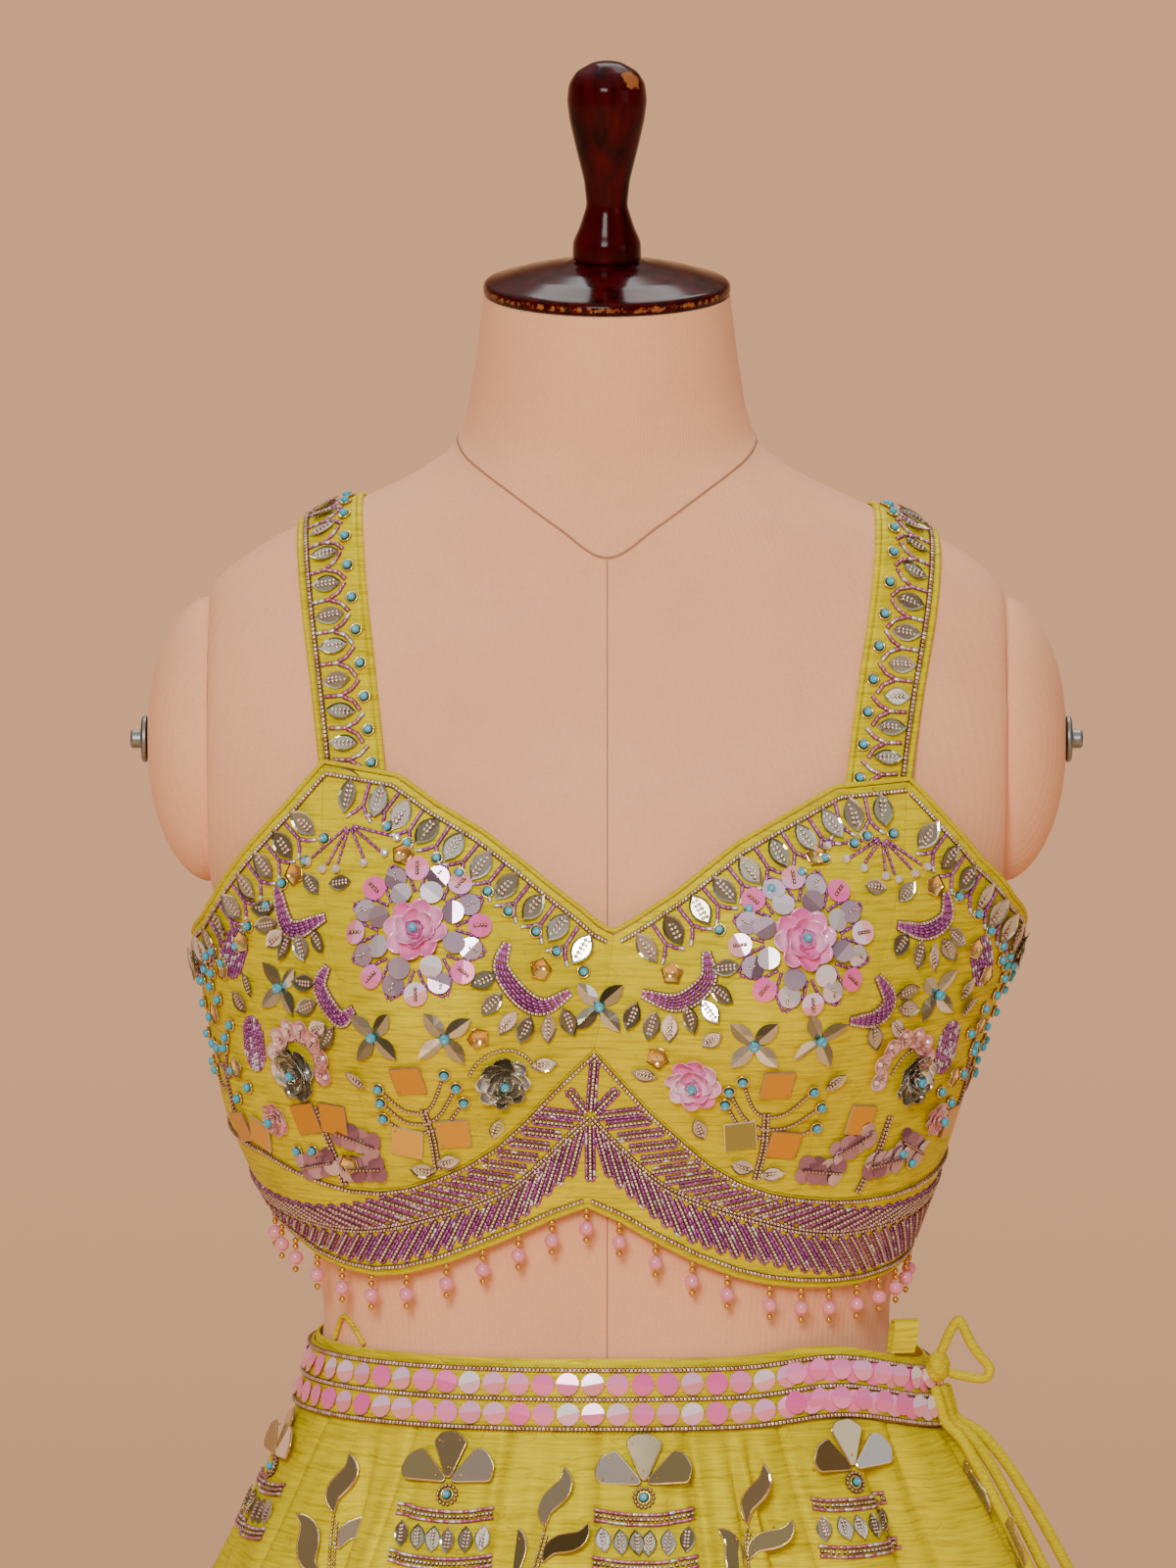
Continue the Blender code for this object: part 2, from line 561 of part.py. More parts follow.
def beside_edge(degrees, edge, away, up):
    """A path along a choli edge, square to it by a distance; up is 1 above the cloth and -1 below it."""
    turn = np.radians(degrees)
    line = lifted(choli_surface, turn, edge(degrees), np.full_like(turn, -CHOLI_CLOTH / 2))
    face = lifted(choli_surface, turn, edge(degrees), np.zeros_like(turn)) - line
    before, after = line - np.roll(line, 1, axis=0), np.roll(line, -1, axis=0) - line
    if degrees[-1] - degrees[0] < 300:
        before[0], after[-1] = after[0], before[-1]
    before /= np.linalg.norm(before, axis=1, keepdims=True)
    after /= np.linalg.norm(after, axis=1, keepdims=True)
    square = np.cross(face, before + after)
    square /= np.linalg.norm(square, axis=1, keepdims=True)
    square *= np.sign(square[:, 2:]) * up
    half_bend = np.sqrt(np.clip((1 + np.sum(before * after, axis=1, keepdims=True)) / 2, 0.35, 1))
    return line + square * away / half_bend


def build_piping(top):
    """Piping along the whole top edge, on the same stops as the panels."""
    degrees = [top[0]]
    for stop in top[1:]:
        if stop - degrees[-1] > 0.5:
            degrees.append(stop)
    path = beside_edge(np.array(degrees), top_edge, PIPING_RADIUS + 0.0005, 1)
    tube("choli_piping", path, PIPING_RADIUS, "silk", ring=True)


def strap_base():
    """The strap's lie in upright slices over the shoulder: inside the choli low down, on the form above."""
    form, choli = FORM, CHOLI

    def inside(x, y, height):
        on_form = smooth_table(form)(height)[..., 0] > np.abs(x)
        low = np.clip((height - 1.300) / 0.045, 0, 1)
        share = low * low * (3 - 2 * low)
        form_front, form_back = depth_at(form, FORM_BUST, x, height)
        choli_front, choli_back = depth_at(choli, CHOLI_BUST, x, np.minimum(height, 1.34))
        front = np.minimum(form_front, share * form_front + (1 - share) * (choli_front + STRAP_TUCK))
        low = np.clip((height - 1.262) / 0.05, 0, 1)
        share = low * low * (3 - 2 * low)
        back = np.maximum(form_back, share * form_back + (1 - share) * (choli_back - STRAP_TUCK))
        return on_form & (y > front) & (y < back)

    def at(turn, x):
        """The point reached from inside the shoulder, turning from the front over the top to the back."""
        turn, x = np.broadcast_arrays(turn, x)
        near, far = np.zeros_like(turn), np.full_like(turn, 0.25)
        for _ in range(34):
            middle = (near + far) / 2
            within = inside(x, -middle * np.cos(turn), 1.300 + middle * np.sin(turn))
            near, far = np.where(within, middle, near), np.where(within, far, middle)
        return np.stack([x, -near * np.cos(turn), 1.300 + near * np.sin(turn)], axis=-1)

    return at


def build_strap(name, column, front_turn, back_turn):
    line = smooth_table([(row.turn, row[column]) for row in STRAPS])
    share, across = np.meshgrid(np.linspace(0, 1, 35), np.linspace(-0.5, 0.5, 3), indexing="ij")
    turn = np.radians(front_turn + (back_turn - front_turn) * share)
    x = line(share)[..., 0] + across * STRAP_WIDTH
    base = strap_base()
    step_turn = base(turn + 0.01, x) - base(turn - 0.01, x)
    step_side = base(turn, x + 0.002) - base(turn, x - 0.002)
    normal = np.cross(step_side, step_turn)
    normal /= np.linalg.norm(normal, axis=-1, keepdims=True)
    centre = np.stack([x, np.zeros_like(x), np.full_like(x, 1.300)], axis=-1)
    point = base(turn, x)
    normal *= np.sign(np.sum(normal * (point - centre), axis=-1, keepdims=True))
    wall(name, point + normal * 0.0007, point + normal * (0.0007 + STRAP_CLOTH), "silk")


def build_fringe(degrees):
    """Beads in drops whose tops are fused into a narrow tape under the front hem."""
    path = beside_edge(degrees, hem_edge, DROP_TAPE + 0.0004, -1)
    tape = tube("choli_bead_fringe_tape", path, DROP_TAPE, "bead")
    depsgraph = bpy.context.evaluated_depsgraph_get()
    mesh = bpy.data.meshes.new_from_object(tape.evaluated_get(depsgraph))
    bpy.data.objects.remove(tape)
    shape = bmesh.new()
    shape.from_mesh(mesh)
    bmesh.ops.remove_doubles(shape, verts=shape.verts, dist=0.00001)
    shape.to_mesh(mesh)
    shape.free()
    fringe = place("choli_bead_fringe", mesh, "bead")
    drops = bpy.data.objects.new("fringe_drops", drop_mesh())
    bpy.data.collections["cutters"].objects.link(drops)
    drops.hide_render = True
    drops.display_type = "WIRE"
    join = fringe.modifiers.new("drops", "BOOLEAN")
    join.operation = "UNION"
    join.solver = "EXACT"
    join.object = drops


def drop_mesh():
    """Every drop as a string of beads with four sides, hanging straight down from the tape."""
    around = np.radians(np.arange(DROP_SIDES) * 360 / DROP_SIDES + 11)
    points, faces = [], []
    for drop in DROPS:
        turn = math.radians(drop.angle)
        top = lifted(choli_surface, turn, hem_edge(drop.angle) - DROP_TAPE - 0.0004, -CHOLI_CLOTH / 2)
        start = len(points)
        for bead in DROP_PROFILE:
            for a in around:
                offset = (bead.radius * math.cos(a), bead.radius * math.sin(a), -bead.down)
                points.append(tuple(top + offset))
        rings = len(DROP_PROFILE)
        for ring in range(rings - 1):
            for side in range(DROP_SIDES):
                a = start + ring * DROP_SIDES + side
                b = start + ring * DROP_SIDES + (side + 1) % DROP_SIDES
                faces.append((a, b, b + DROP_SIDES, a + DROP_SIDES))
        faces.append(tuple(start + side for side in reversed(range(DROP_SIDES))))
        faces.append(tuple(start + (rings - 1) * DROP_SIDES + side for side in range(DROP_SIDES)))
    mesh = bpy.data.meshes.new("fringe_drops")
    mesh.from_pydata(points, [], faces)
    shape = bmesh.new()
    shape.from_mesh(mesh)
    bmesh.ops.recalc_face_normals(shape, faces=shape.faces)
    shape.to_mesh(mesh)
    shape.free()
    return mesh


def build_rosette(row):
    """A padded round of ribbon on the cloth: domed rings around its centre over a thin base."""
    turn = math.radians(row.angle)
    step_side = choli_surface(turn + 0.005, row.height) - choli_surface(turn - 0.005, row.height)
    step_up = choli_surface(turn, row.height + 0.0005) - choli_surface(turn, row.height - 0.0005)
    wide = np.linalg.norm(step_side) / 0.01
    tall = np.linalg.norm(step_up) / 0.001
    sides = ROSETTE_SIDES
    around = np.arange(sides) * 2 * math.pi / sides
    rings = ((0.60, 0.95), (1.0, 0.35))
    points, faces = [], []
    for layer in (1, 0):
        points.append(lifted(choli_surface, turn, row.height, 0.0004 + (row.rise if layer else 0)))
        for share, rise in rings:
            reach = row.radius * share
            angles = turn + reach * np.cos(around) / wide
            heights = row.height + reach * np.sin(around) / tall
            lift = np.full_like(angles, 0.0004 + (row.rise * rise if layer else 0))
            points.extend(lifted(choli_surface, angles, heights, lift))
    half = 1 + sides * len(rings)
    for layer in (0, half):
        for side in range(sides):
            after = (side + 1) % sides
            faces.append((layer, layer + 1 + side, layer + 1 + after))
            for ring in range(len(rings) - 1):
                a = layer + 1 + ring * sides
                faces.append((a + side, a + sides + side, a + sides + after, a + after))
    last = 1 + sides * (len(rings) - 1)
    for side in range(sides):
        after = (side + 1) % sides
        faces.append((last + side, last + after, half + last + after, half + last + side))
    return closed_mesh(row.name, points, faces, "rosette")


def build_skirt():
    edges = [KALI_START + 360 / KALIS * i for i in range(KALIS + 1)]
    for i in range(KALIS):
        a, b = math.radians(edges[i]), math.radians(edges[i + 1])
        u, v = np.meshgrid(np.linspace(0, 1, KALI_COLUMNS + 1), np.array(KALI_ROWS))
        radius = np.linalg.norm(skirt_surface(np.full_like(v, (a + b) / 2), v)[..., :2], axis=-1)
        half = SEAM_HALF / radius
        turn = (a + half) + (b - a - 2 * half) * u
        outer = skirt_lifted(turn, v, np.zeros_like(v))
        inner = skirt_lifted(turn, v, np.full_like(v, -SKIRT_CLOTH))
        wall(f"skirt_kali_{i + 1:02d}", inner, outer, "silk")


def waist_ring(name, climbs, inner_lift, outer_lift, finish):
    turn = np.radians(np.arange(WAIST_COLUMNS) * 360 / WAIST_COLUMNS)
    angle = np.stack([turn] * len(climbs))
    height = belt_middle(angle) + np.array(climbs)[:, None]
    inner = waist_point(angle, height, np.full_like(angle, inner_lift))
    outer = waist_point(angle, height, np.full_like(angle, outer_lift))
    wall(name, inner, outer, finish, ring=True)


def build_waist():
    inside = (-BELT_HALF + 0.0002, 0, BELT_HALF, BELT_HALF + 0.0030)
    waist_ring("skirt_waistband", inside, 0.0001, 0.0015, "silk")
    waist_ring("belt", (-BELT_HALF + 0.0006, 0, BELT_HALF), 0.0020, 0.0035, "belt")
    build_hanger()
    build_tie()


def build_hanger():
    """A tape loop that stands up from the waistband."""
    corners = ((-73.5, 0.0010), (-71.5, 0.0080), (-69.5, 0.0115), (-67.0, 0.0085), (-63.5, 0.0010))
    degrees = np.array([corner[0] for corner in corners])
    climb = np.array([corner[1] for corner in corners])
    turn = np.radians(degrees)
    path = waist_point(turn, belt_middle(turn) + BELT_HALF + 0.0038 + climb, np.full_like(turn, 0.0010))
    tube("skirt_hanger_loop", path, 0.0010, "silk", resolution=1)


def build_tie():
    """The belt's tie: a knot at the belt's top edge, two loops beside it and three hanging cords."""
    turn = math.radians(78)
    out = np.array([math.sin(turn), -math.cos(turn), 0])
    height = belt_middle(turn) + BELT_HALF - 0.0010
    knot_at = waist_point(np.array(turn), np.array(height), np.array(0.0035 + GAP + 0.0049))
    bpy.ops.mesh.primitive_uv_sphere_add(segments=12, ring_count=8, radius=1)
    knot = bpy.context.object
    mesh = knot.data
    for vertex in mesh.vertices:
        vertex.co = (vertex.co.x * 0.0050, vertex.co.y * 0.0072, vertex.co.z * 0.0066)
    mesh.shade_smooth()
    bpy.data.objects.remove(knot)
    knot = place("tie_knot", mesh, "silk")
    knot.location = knot_at
    knot.rotation_euler = (0, 0, turn - math.pi / 2)
    path = [knot_at + out * row.out + np.array((0, 0, row.up)) for row in CORD_LOOP]
    tube("tie_loop_cord", path, 0.0021, "silk", resolution=1)
    build_ribbon_loop()
    for tail in TAILS:
        build_tail(tail)


def build_ribbon_loop():
    """A loop of flat ribbon that stands up from the waistband beside the knot."""
    turn = math.radians(71)
    foot = waist_point(np.array(turn), belt_middle(turn) + BELT_HALF + 0.0046, np.array(0.0022))
    away = np.array([0.30, -0.95, 0])
    side = np.array([0.95, 0.30, 0])
    line = []
    for row in RIBBON_LOOP:
        line.append(foot + away * row.out + np.array((side[0] * row.up * 0.15, 0, row.up)))
    line = np.array(line)
    along = np.gradient(line, axis=0)
    square = np.cross(along, side)
    square /= np.linalg.norm(square, axis=1, keepdims=True)
    across = np.linspace(-0.0055, 0.0055, 3)[None, :, None] * side
    inner = line[:, None] + across - square[:, None] * 0.0005
    outer = line[:, None] + across + square[:, None] * 0.0005
    wall("tie_loop_ribbon", inner, outer, "silk")


def build_tail(tail):
    """A cord that hangs from the knot, over the belt and down the skirt."""
    turn = np.full(3, math.radians(tail.top_angle))
    climb = belt_middle(turn) + np.array([0.0030, -0.0040, -0.0110])
    on_belt = waist_point(turn, climb, np.full(3, 0.0035 + TAIL_RADIUS + 0.0006))
    down = np.linspace(0.008, tail.length / 1.06, int(tail.length / 0.013))
    share = down / down[-1]
    turn = np.radians(tail.top_angle + (tail.low_angle - tail.top_angle) * share**0.7)
    clear = TAIL_RADIUS + 0.0006 + 0.0030 * np.exp(-((down / 0.030) ** 2))
    stand = tail.stand * np.sin(np.clip(down / 0.20, 0, 1) * math.pi) ** 0.8
    on_skirt = skirt_lifted(turn, down, clear + stand)
    tube(tail.name, np.concatenate([on_belt, on_skirt]), TAIL_RADIUS, "silk")


def neck_lean(points):
    """The neck's top leans forward with its cap."""
    share = np.clip((points[..., 2] - 1.425) / (NECK_TOP - 1.425), 0, 1)
    leaned = points.copy()
    leaned[..., 2] += (points[..., 1] - NECK_AXIS_Y) * math.tan(NECK_TILT) * share * share
    return leaned


def build_torso():
    heights = np.array(TORSO_HEIGHTS)
    columns = 38
    angle, height = np.meshgrid(np.arange(columns) * 2 * math.pi / columns, heights)
    points = form_surface(angle, height)
    points[..., 0] = np.clip(points[..., 0], -ARM_PLANE, ARM_PLANE)
    points[0, :, :2] *= 0.985
    points = neck_lean(points)
    faces = []
    for row in range(len(heights) - 1):
        for column in range(columns):
            a = row * columns + column
            b = row * columns + (column + 1) % columns
            faces.append((a, b, b + columns, a + columns))
    faces.append(tuple(range(columns)))
    faces.append(tuple(range((len(heights) - 1) * columns, len(heights) * columns)))
    closed_mesh("form_torso", points.reshape(-1, 3), faces, "form_cover")


def arm_outline(angle):
    """The shoulder's flat end: an oval, rounder at the back."""
    across, up = np.sin(angle), np.cos(angle)
    reach = np.where(across < 0, 0.0395, 0.0500)
    return across * reach, up * 0.0610


def build_arm_cap(name, sign):
    around = np.arange(ARM_SIDES) * 2 * math.pi / ARM_SIDES
    rings = (0.45, 0.75, 0.93, 1.0)
    y, z = arm_outline(around)
    points, faces = [], []
    for layer in (1, 0):
        bulge = lambda share: GAP + (0.0022 + (ARM_BULGE - 0.0022) * (1 - share**2.3) ** 0.62 if layer else 0)
        points.append((sign * (ARM_PLANE + bulge(0)), 0.004, ARM_CENTRE))
        for share in rings:
            for a, b in zip(y, z):
                points.append((sign * (ARM_PLANE + bulge(share)), 0.004 + a * share, ARM_CENTRE + b * share))
    half = 1 + ARM_SIDES * len(rings)
    for layer in (0, half):
        for side in range(ARM_SIDES):
            after = (side + 1) % ARM_SIDES
            faces.append((layer, layer + 1 + side, layer + 1 + after))
            for ring in range(len(rings) - 1):
                a = layer + 1 + ring * ARM_SIDES
                faces.append((a + side, a + ARM_SIDES + side, a + ARM_SIDES + after, a + after))
    last = 1 + ARM_SIDES * (len(rings) - 1)
    for side in range(ARM_SIDES):
        after = (side + 1) % ARM_SIDES
        faces.append((last + side, last + after, half + last + after, half + last + side))
    closed_mesh(name, points, faces, "form_cover")


def build_form():
    build_torso()
    for name, sign in (("left", -1), ("right", 1)):
        build_arm_cap(f"form_arm_cap_{name}", sign)
        seat = (sign * (ARM_PLANE + GAP + ARM_BULGE + GAP), 0.004, ARM_CENTRE)
        turned(f"form_arm_bolt_{name}", BOLT_PROFILE, "bolt", 12, seat, (0, sign * math.pi / 2, 0))
    axis = np.array((0, -math.sin(NECK_TILT), math.cos(NECK_TILT)))
    seat = np.array((0, NECK_AXIS_Y, NECK_TOP))
    turned("form_neck_cap", NECK_CAP_PROFILE, "wood", 28, tuple(seat), (NECK_TILT, 0, 0))
    finial_at = seat + axis * (0.0143 + GAP)
    turned("form_finial", FINIAL_PROFILE, "wood", 16, tuple(finial_at), (NECK_TILT, 0, 0))
    pole = [Turned(0, 0.8397), Turned(POLE_RADIUS, 0.8397), Turned(POLE_RADIUS, BASE_TOP + GAP),
            Turned(0, BASE_TOP + GAP)]
    turned("stand_pole", pole, "stand", 20, (0, 0, 0), (0, 0, 0))
    turned("stand_base", BASE_PROFILE, "stand", 36, (0, 0, 0), (0, 0, 0))


def main():
    for piece in list(bpy.data.objects):
        bpy.data.objects.remove(piece)
    for name in ("lehenga_set", "cutters"):
        bpy.context.scene.collection.children.link(bpy.data.collections.new(name))
    build_form()
    build_choli()
    build_strap("choli_strap_left", 1, -5, 204)
    build_strap("choli_strap_right", 2, -9, 204)
    for row in ROSETTES:
        build_rosette(row)
    build_skirt()
    build_waist()


main()
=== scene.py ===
"""Looks of a lehenga choli set on a limbless dress form. Metres, +Z up, front towards -Y, floor at z = 0."""

import math
from collections import defaultdict, namedtuple

import bpy
import numpy as np
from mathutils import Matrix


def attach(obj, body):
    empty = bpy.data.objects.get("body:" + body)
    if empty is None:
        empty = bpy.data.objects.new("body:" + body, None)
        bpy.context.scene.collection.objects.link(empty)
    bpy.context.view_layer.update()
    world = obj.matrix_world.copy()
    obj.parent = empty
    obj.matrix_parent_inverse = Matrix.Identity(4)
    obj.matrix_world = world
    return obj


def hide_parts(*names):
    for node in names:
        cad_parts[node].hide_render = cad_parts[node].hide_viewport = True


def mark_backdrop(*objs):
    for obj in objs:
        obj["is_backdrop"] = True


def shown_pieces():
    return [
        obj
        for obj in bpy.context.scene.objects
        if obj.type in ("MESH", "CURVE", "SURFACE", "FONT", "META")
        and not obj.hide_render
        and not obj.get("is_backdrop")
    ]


bl_info = {
    "name": "Lehenga set on a dress form",
    "version": (1, 0, 0),
    "blender": (4, 5, 0),
    "location": "3D View > Sidebar > Lehenga",
    "description": "Cloth, beadwork and stage for a lehenga choli set",
    "category": "Object",
}

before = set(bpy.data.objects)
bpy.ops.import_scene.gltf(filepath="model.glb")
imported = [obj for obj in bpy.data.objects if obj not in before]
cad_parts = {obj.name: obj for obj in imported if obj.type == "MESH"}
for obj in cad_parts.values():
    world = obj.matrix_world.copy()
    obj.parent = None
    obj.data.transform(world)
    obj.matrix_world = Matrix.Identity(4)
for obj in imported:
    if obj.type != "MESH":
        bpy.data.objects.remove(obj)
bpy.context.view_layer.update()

# Sizes that the solids use too.
MM = 0.001
GAP = 0.0003
SEAM_HALF = 0.0002
SKIRT_HEM = 0.030
SKIRT_TOP = 1.026
SKIRT_CLOTH = 0.0012
KALIS = 16
KALI_START = -47.5
BELT_HALF = 0.0135
BELT_FACE = 0.0035
CHOLI_CLOTH = 0.0015
CHOLI_RADIUS = 0.13
SIDE_SEAM = 95
STRAP_WIDTH = 0.0275
STRAP_TUCK = 0.0054
STRAP_THICK = 0.0020
SHOULDER = 1.300
PIPING_RADIUS = 0.0009
TAIL_RADIUS = 0.0024
FORM_LOW = 0.840
ARM_PLANE = 0.1690
ARM_BULGE = 0.0275
ARM_CENTRE = 1.3120
ARM_Y = 0.004
NECK_TILT = math.radians(10.0)
NECK_TOP = 1.5025
NECK_AXIS_Y = -0.0110
NECK_CAP_TOP = 0.0143
POLE_RADIUS = 0.0140
BASE_TOP = 0.0250
SILK_SLUB = 0.0011
SEED_PITCH = 0.0017
BUGLE_PITCH = 0.0030
# The column of a bead's row that holds its size, and the one that holds its tone.
SIZE, TONE = 6, 8

# Height, half width, depth in front and at the back, squareness, and how far the middle is off along x and y.
FORM = [
    (0.84, 0.16, 0.098, 0.112, 2.25, 0, 0), (0.87, 0.165, 0.101, 0.117, 2.25, 0, 0),
    (0.93, 0.162, 0.099, 0.117, 2.25, 0, 0), (0.99, 0.145, 0.093, 0.106, 2.2, 0, 0),
    (1.03, 0.129, 0.087, 0.094, 2.15, 0, 0), (1.06, 0.122, 0.084, 0.088, 2.15, 0, 0),
    (1.092, 0.1262, 0.086, 0.088, 2.2, 0, 0), (1.13, 0.1385, 0.092, 0.094, 2.3, 0, 0),
    (1.175, 0.152, 0.097, 0.102, 2.35, 0, 0), (1.215, 0.1615, 0.1, 0.107, 2.4, 0, 0),
    (1.25, 0.169, 0.098, 0.11, 2.45, 0, 0), (1.29, 0.179, 0.09, 0.109, 2.5, 0, 0),
    (1.33, 0.183, 0.078, 0.103, 2.45, 0, 0), (1.36, 0.1785, 0.069, 0.094, 2.35, 0, 0),
    (1.378, 0.169, 0.063, 0.087, 2.25, 0, 0), (1.392, 0.153, 0.0595, 0.081, 2.15, 0, 0),
    (1.404, 0.132, 0.057, 0.076, 2.05, 0, 0), (1.4155, 0.105, 0.055, 0.071, 2, 0, 0),
    (1.4285, 0.0785, 0.0535, 0.0655, 2, 0, -0.0005), (1.438, 0.066, 0.0525, 0.061, 2, 0, -0.0015),
    (1.45, 0.0605, 0.052, 0.057, 2, 0, -0.0035), (1.47, 0.0565, 0.052, 0.054, 2, 0, -0.0065),
    (1.5025, 0.0522, 0.052, 0.052, 2, 0, -0.011),
]
CHOLI = [
    (1.06, 0.1245, 0.0905, 0.0925, 2.15, -0.003, 0), (1.08, 0.1295, 0.0915, 0.0925, 2.2, -0.003, 0),
    (1.105, 0.1375, 0.0945, 0.0945, 2.25, -0.003, 0), (1.13, 0.149, 0.0985, 0.0985, 2.3, -0.005, 0),
    (1.152, 0.157, 0.102, 0.102, 2.35, -0.006, 0), (1.187, 0.166, 0.106, 0.1075, 2.35, -0.004, 0),
    (1.226, 0.177, 0.107, 0.1135, 2.4, 0, 0), (1.265, 0.186, 0.103, 0.116, 2.45, 0.002, 0),
    (1.305, 0.19, 0.0935, 0.1145, 2.45, 0.003, 0), (1.34, 0.19, 0.081, 0.106, 2.45, 0.003, 0),
]
Bust = namedtuple("Bust", "height across depth width rise fall")
FORM_BUST = Bust(1.208, 0.08, 0.027, 0.052, 0.066, 0.048)
CHOLI_BUST = Bust(1.206, 0.079, 0.029, 0.053, 0.066, 0.046)

# The choli's edges: degrees from the front centre, towards +X, and heights.
TOP_EDGE = [
    (-180, 1.242), (-165, 1.246), (-151, 1.257), (-136, 1.256), (-124, 1.24), (-110, 1.229), (-95, 1.224),
    (-84, 1.23), (-76, 1.239), (-72, 1.2489), (-68, 1.262), (-63.5, 1.2786), (-60.2, 1.2921), (-57, 1.308),
    (-46, 1.3033), (-38.5, 1.2922), (-29.2, 1.2814), (-20.3, 1.2688), (-13.8, 1.2592), (-7, 1.2499),
    (-2.4, 1.2428), (0.9, 1.24), (5, 1.2443), (14.8, 1.2568), (27.5, 1.2763), (39.2, 1.2898),
    (46.3, 1.2986), (57, 1.301), (61.3, 1.2834), (66, 1.2666), (74, 1.2479), (84, 1.234), (95, 1.226),
    (110, 1.229), (124, 1.24), (136, 1.256), (151, 1.257), (165, 1.246), (180, 1.242),
]
BAND_EDGE = [
    (-95, 1.152), (-84, 1.1485), (-76, 1.1455), (-69.3, 1.1425), (-63.8, 1.137), (-58, 1.1329),
    (-52.8, 1.1304), (-47, 1.1303), (-41, 1.1328), (-34.8, 1.1377), (-28.6, 1.1433), (-22, 1.1516),
    (-15.8, 1.1628), (-8.3, 1.1787), (-1, 1.1928), (4.9, 1.1816), (12.4, 1.1674), (19.8, 1.1551),
    (26.4, 1.1438), (32.9, 1.1357), (39.2, 1.1304), (45.2, 1.1276), (51.4, 1.1257), (57.6, 1.1249),
    (64.5, 1.1255), (71, 1.1275), (84, 1.135), (95, 1.139),
]
HEM_EDGE = [
    (-180, 1.1), (-150, 1.101), (-120, 1.105), (-95, 1.111), (-86, 1.1105), (-79, 1.1075), (-71, 1.1021),
    (-67.2, 1.0982), (-60, 1.0946), (-53.2, 1.0935), (-46.3, 1.0956), (-37.5, 1.101), (-28.3, 1.1081),
    (-19.9, 1.1144), (-11, 1.1214), (-2.1, 1.1268), (5.6, 1.1206), (12.3, 1.1133), (22.9, 1.1033),
    (33.7, 1.0953), (40.9, 1.0916), (47.8, 1.0894), (55.1, 1.088), (62.8, 1.0879), (72.4, 1.0897),
    (84, 1.0935), (95, 1.096), (120, 1.098), (150, 1.0995), (180, 1.1),
]
# The choli's seams: a height, and the degrees of the left, centre and right seams there.
FRONT_SEAMS = [
    (1.08, -45, -2.6, 44), (1.13, -47, -2, 45), (1.155, -46.6, -1.5, 46), (1.193, -48.6, -1, 48.4),
    (1.24, -52.5, 0.9, 52.5), (1.308, -57, 0.9, 57),
]
# The straps' middles: a share of the way up and over, and x on the left and on the right.
STRAPS = [
    (0, -0.1045, 0.111), (0.18, -0.11, 0.118), (0.4, -0.117, 0.127), (0.62, -0.113, 0.12),
    (1, -0.088, 0.09),
]
# The degrees where the fringe's drops hang.
DROPS = [
    -88, -80.5, -74.5, -68, -61.5, -54.5, -46.3, -37, -28.3, -19.5, -11, -2.3,
    5.5, 14, 22.8, 31.2, 41.2, 48.5, 55.2, 62.4, 69, 75.6, 82, 88.5,
]

# The skirt: how far it stands out from its waist at side, front and back, against the way down to its hem.
FLARES = [
    (0, 0, 0, 0), (0.03, 0.0138, 0.0128, 0.0138), (0.06, 0.0282, 0.0268, 0.0282),
    (0.12, 0.057, 0.0575, 0.06), (0.2, 0.094, 0.098, 0.1), (0.35, 0.156, 0.164, 0.166),
    (0.5, 0.212, 0.223, 0.226), (0.7, 0.274, 0.29, 0.294), (0.85, 0.314, 0.332, 0.336),
    (1, 0.346, 0.364, 0.368),
]
Fold = namedtuple("Fold", "angle width rise drift power")
FOLDS = [Fold(*row) for row in [
    (-173, 6.8, 0.052, 3, 1.15), (-151, 6.2, 0.046, -2, 1.25), (-130, 7.2, 0.056, 2, 1.1),
    (-108, 6, 0.044, -3, 1.2), (-90, 6.6, 0.05, 1, 1.05), (-68, 6.4, 0.054, 3, 1.02),
    (-49, 5.6, 0.04, -2, 1.2), (-31, 6.6, 0.048, 3, 1.3), (-9, 7.4, 0.044, -3, 1.45),
    (11, 6.4, 0.046, 2, 1.4), (30, 6, 0.042, 3, 1.3), (50, 6.2, 0.052, -2, 1.1), (73, 7.6, 0.058, 1, 1.02),
    (92, 5.8, 0.044, 3, 1.15), (112, 6.8, 0.052, -2, 1.2), (133, 6.2, 0.044, 2, 1.15),
    (153, 7, 0.054, 0, 1.1),
]]
Tuck = namedtuple("Tuck", "angle width rise drift deepest")
TUCKS = [Tuck(*row) for row in [
    (61, 4.5, -0.011, 2, 0.13), (72, 5.5, 0.008, 2, 0.12), (86, 13, 0.007, 0, 0.035),
    (-57, 4.5, -0.007, 1, 0.15), (-66, 5, 0.004, 1, 0.12), (-18, 5, -0.004, 0, 0.16),
    (38, 5, -0.005, 1, 0.16), (112, 5, -0.008, 1, 0.15), (-118, 5, -0.008, 1, 0.15),
    (165, 5, -0.007, -1, 0.15),
]]
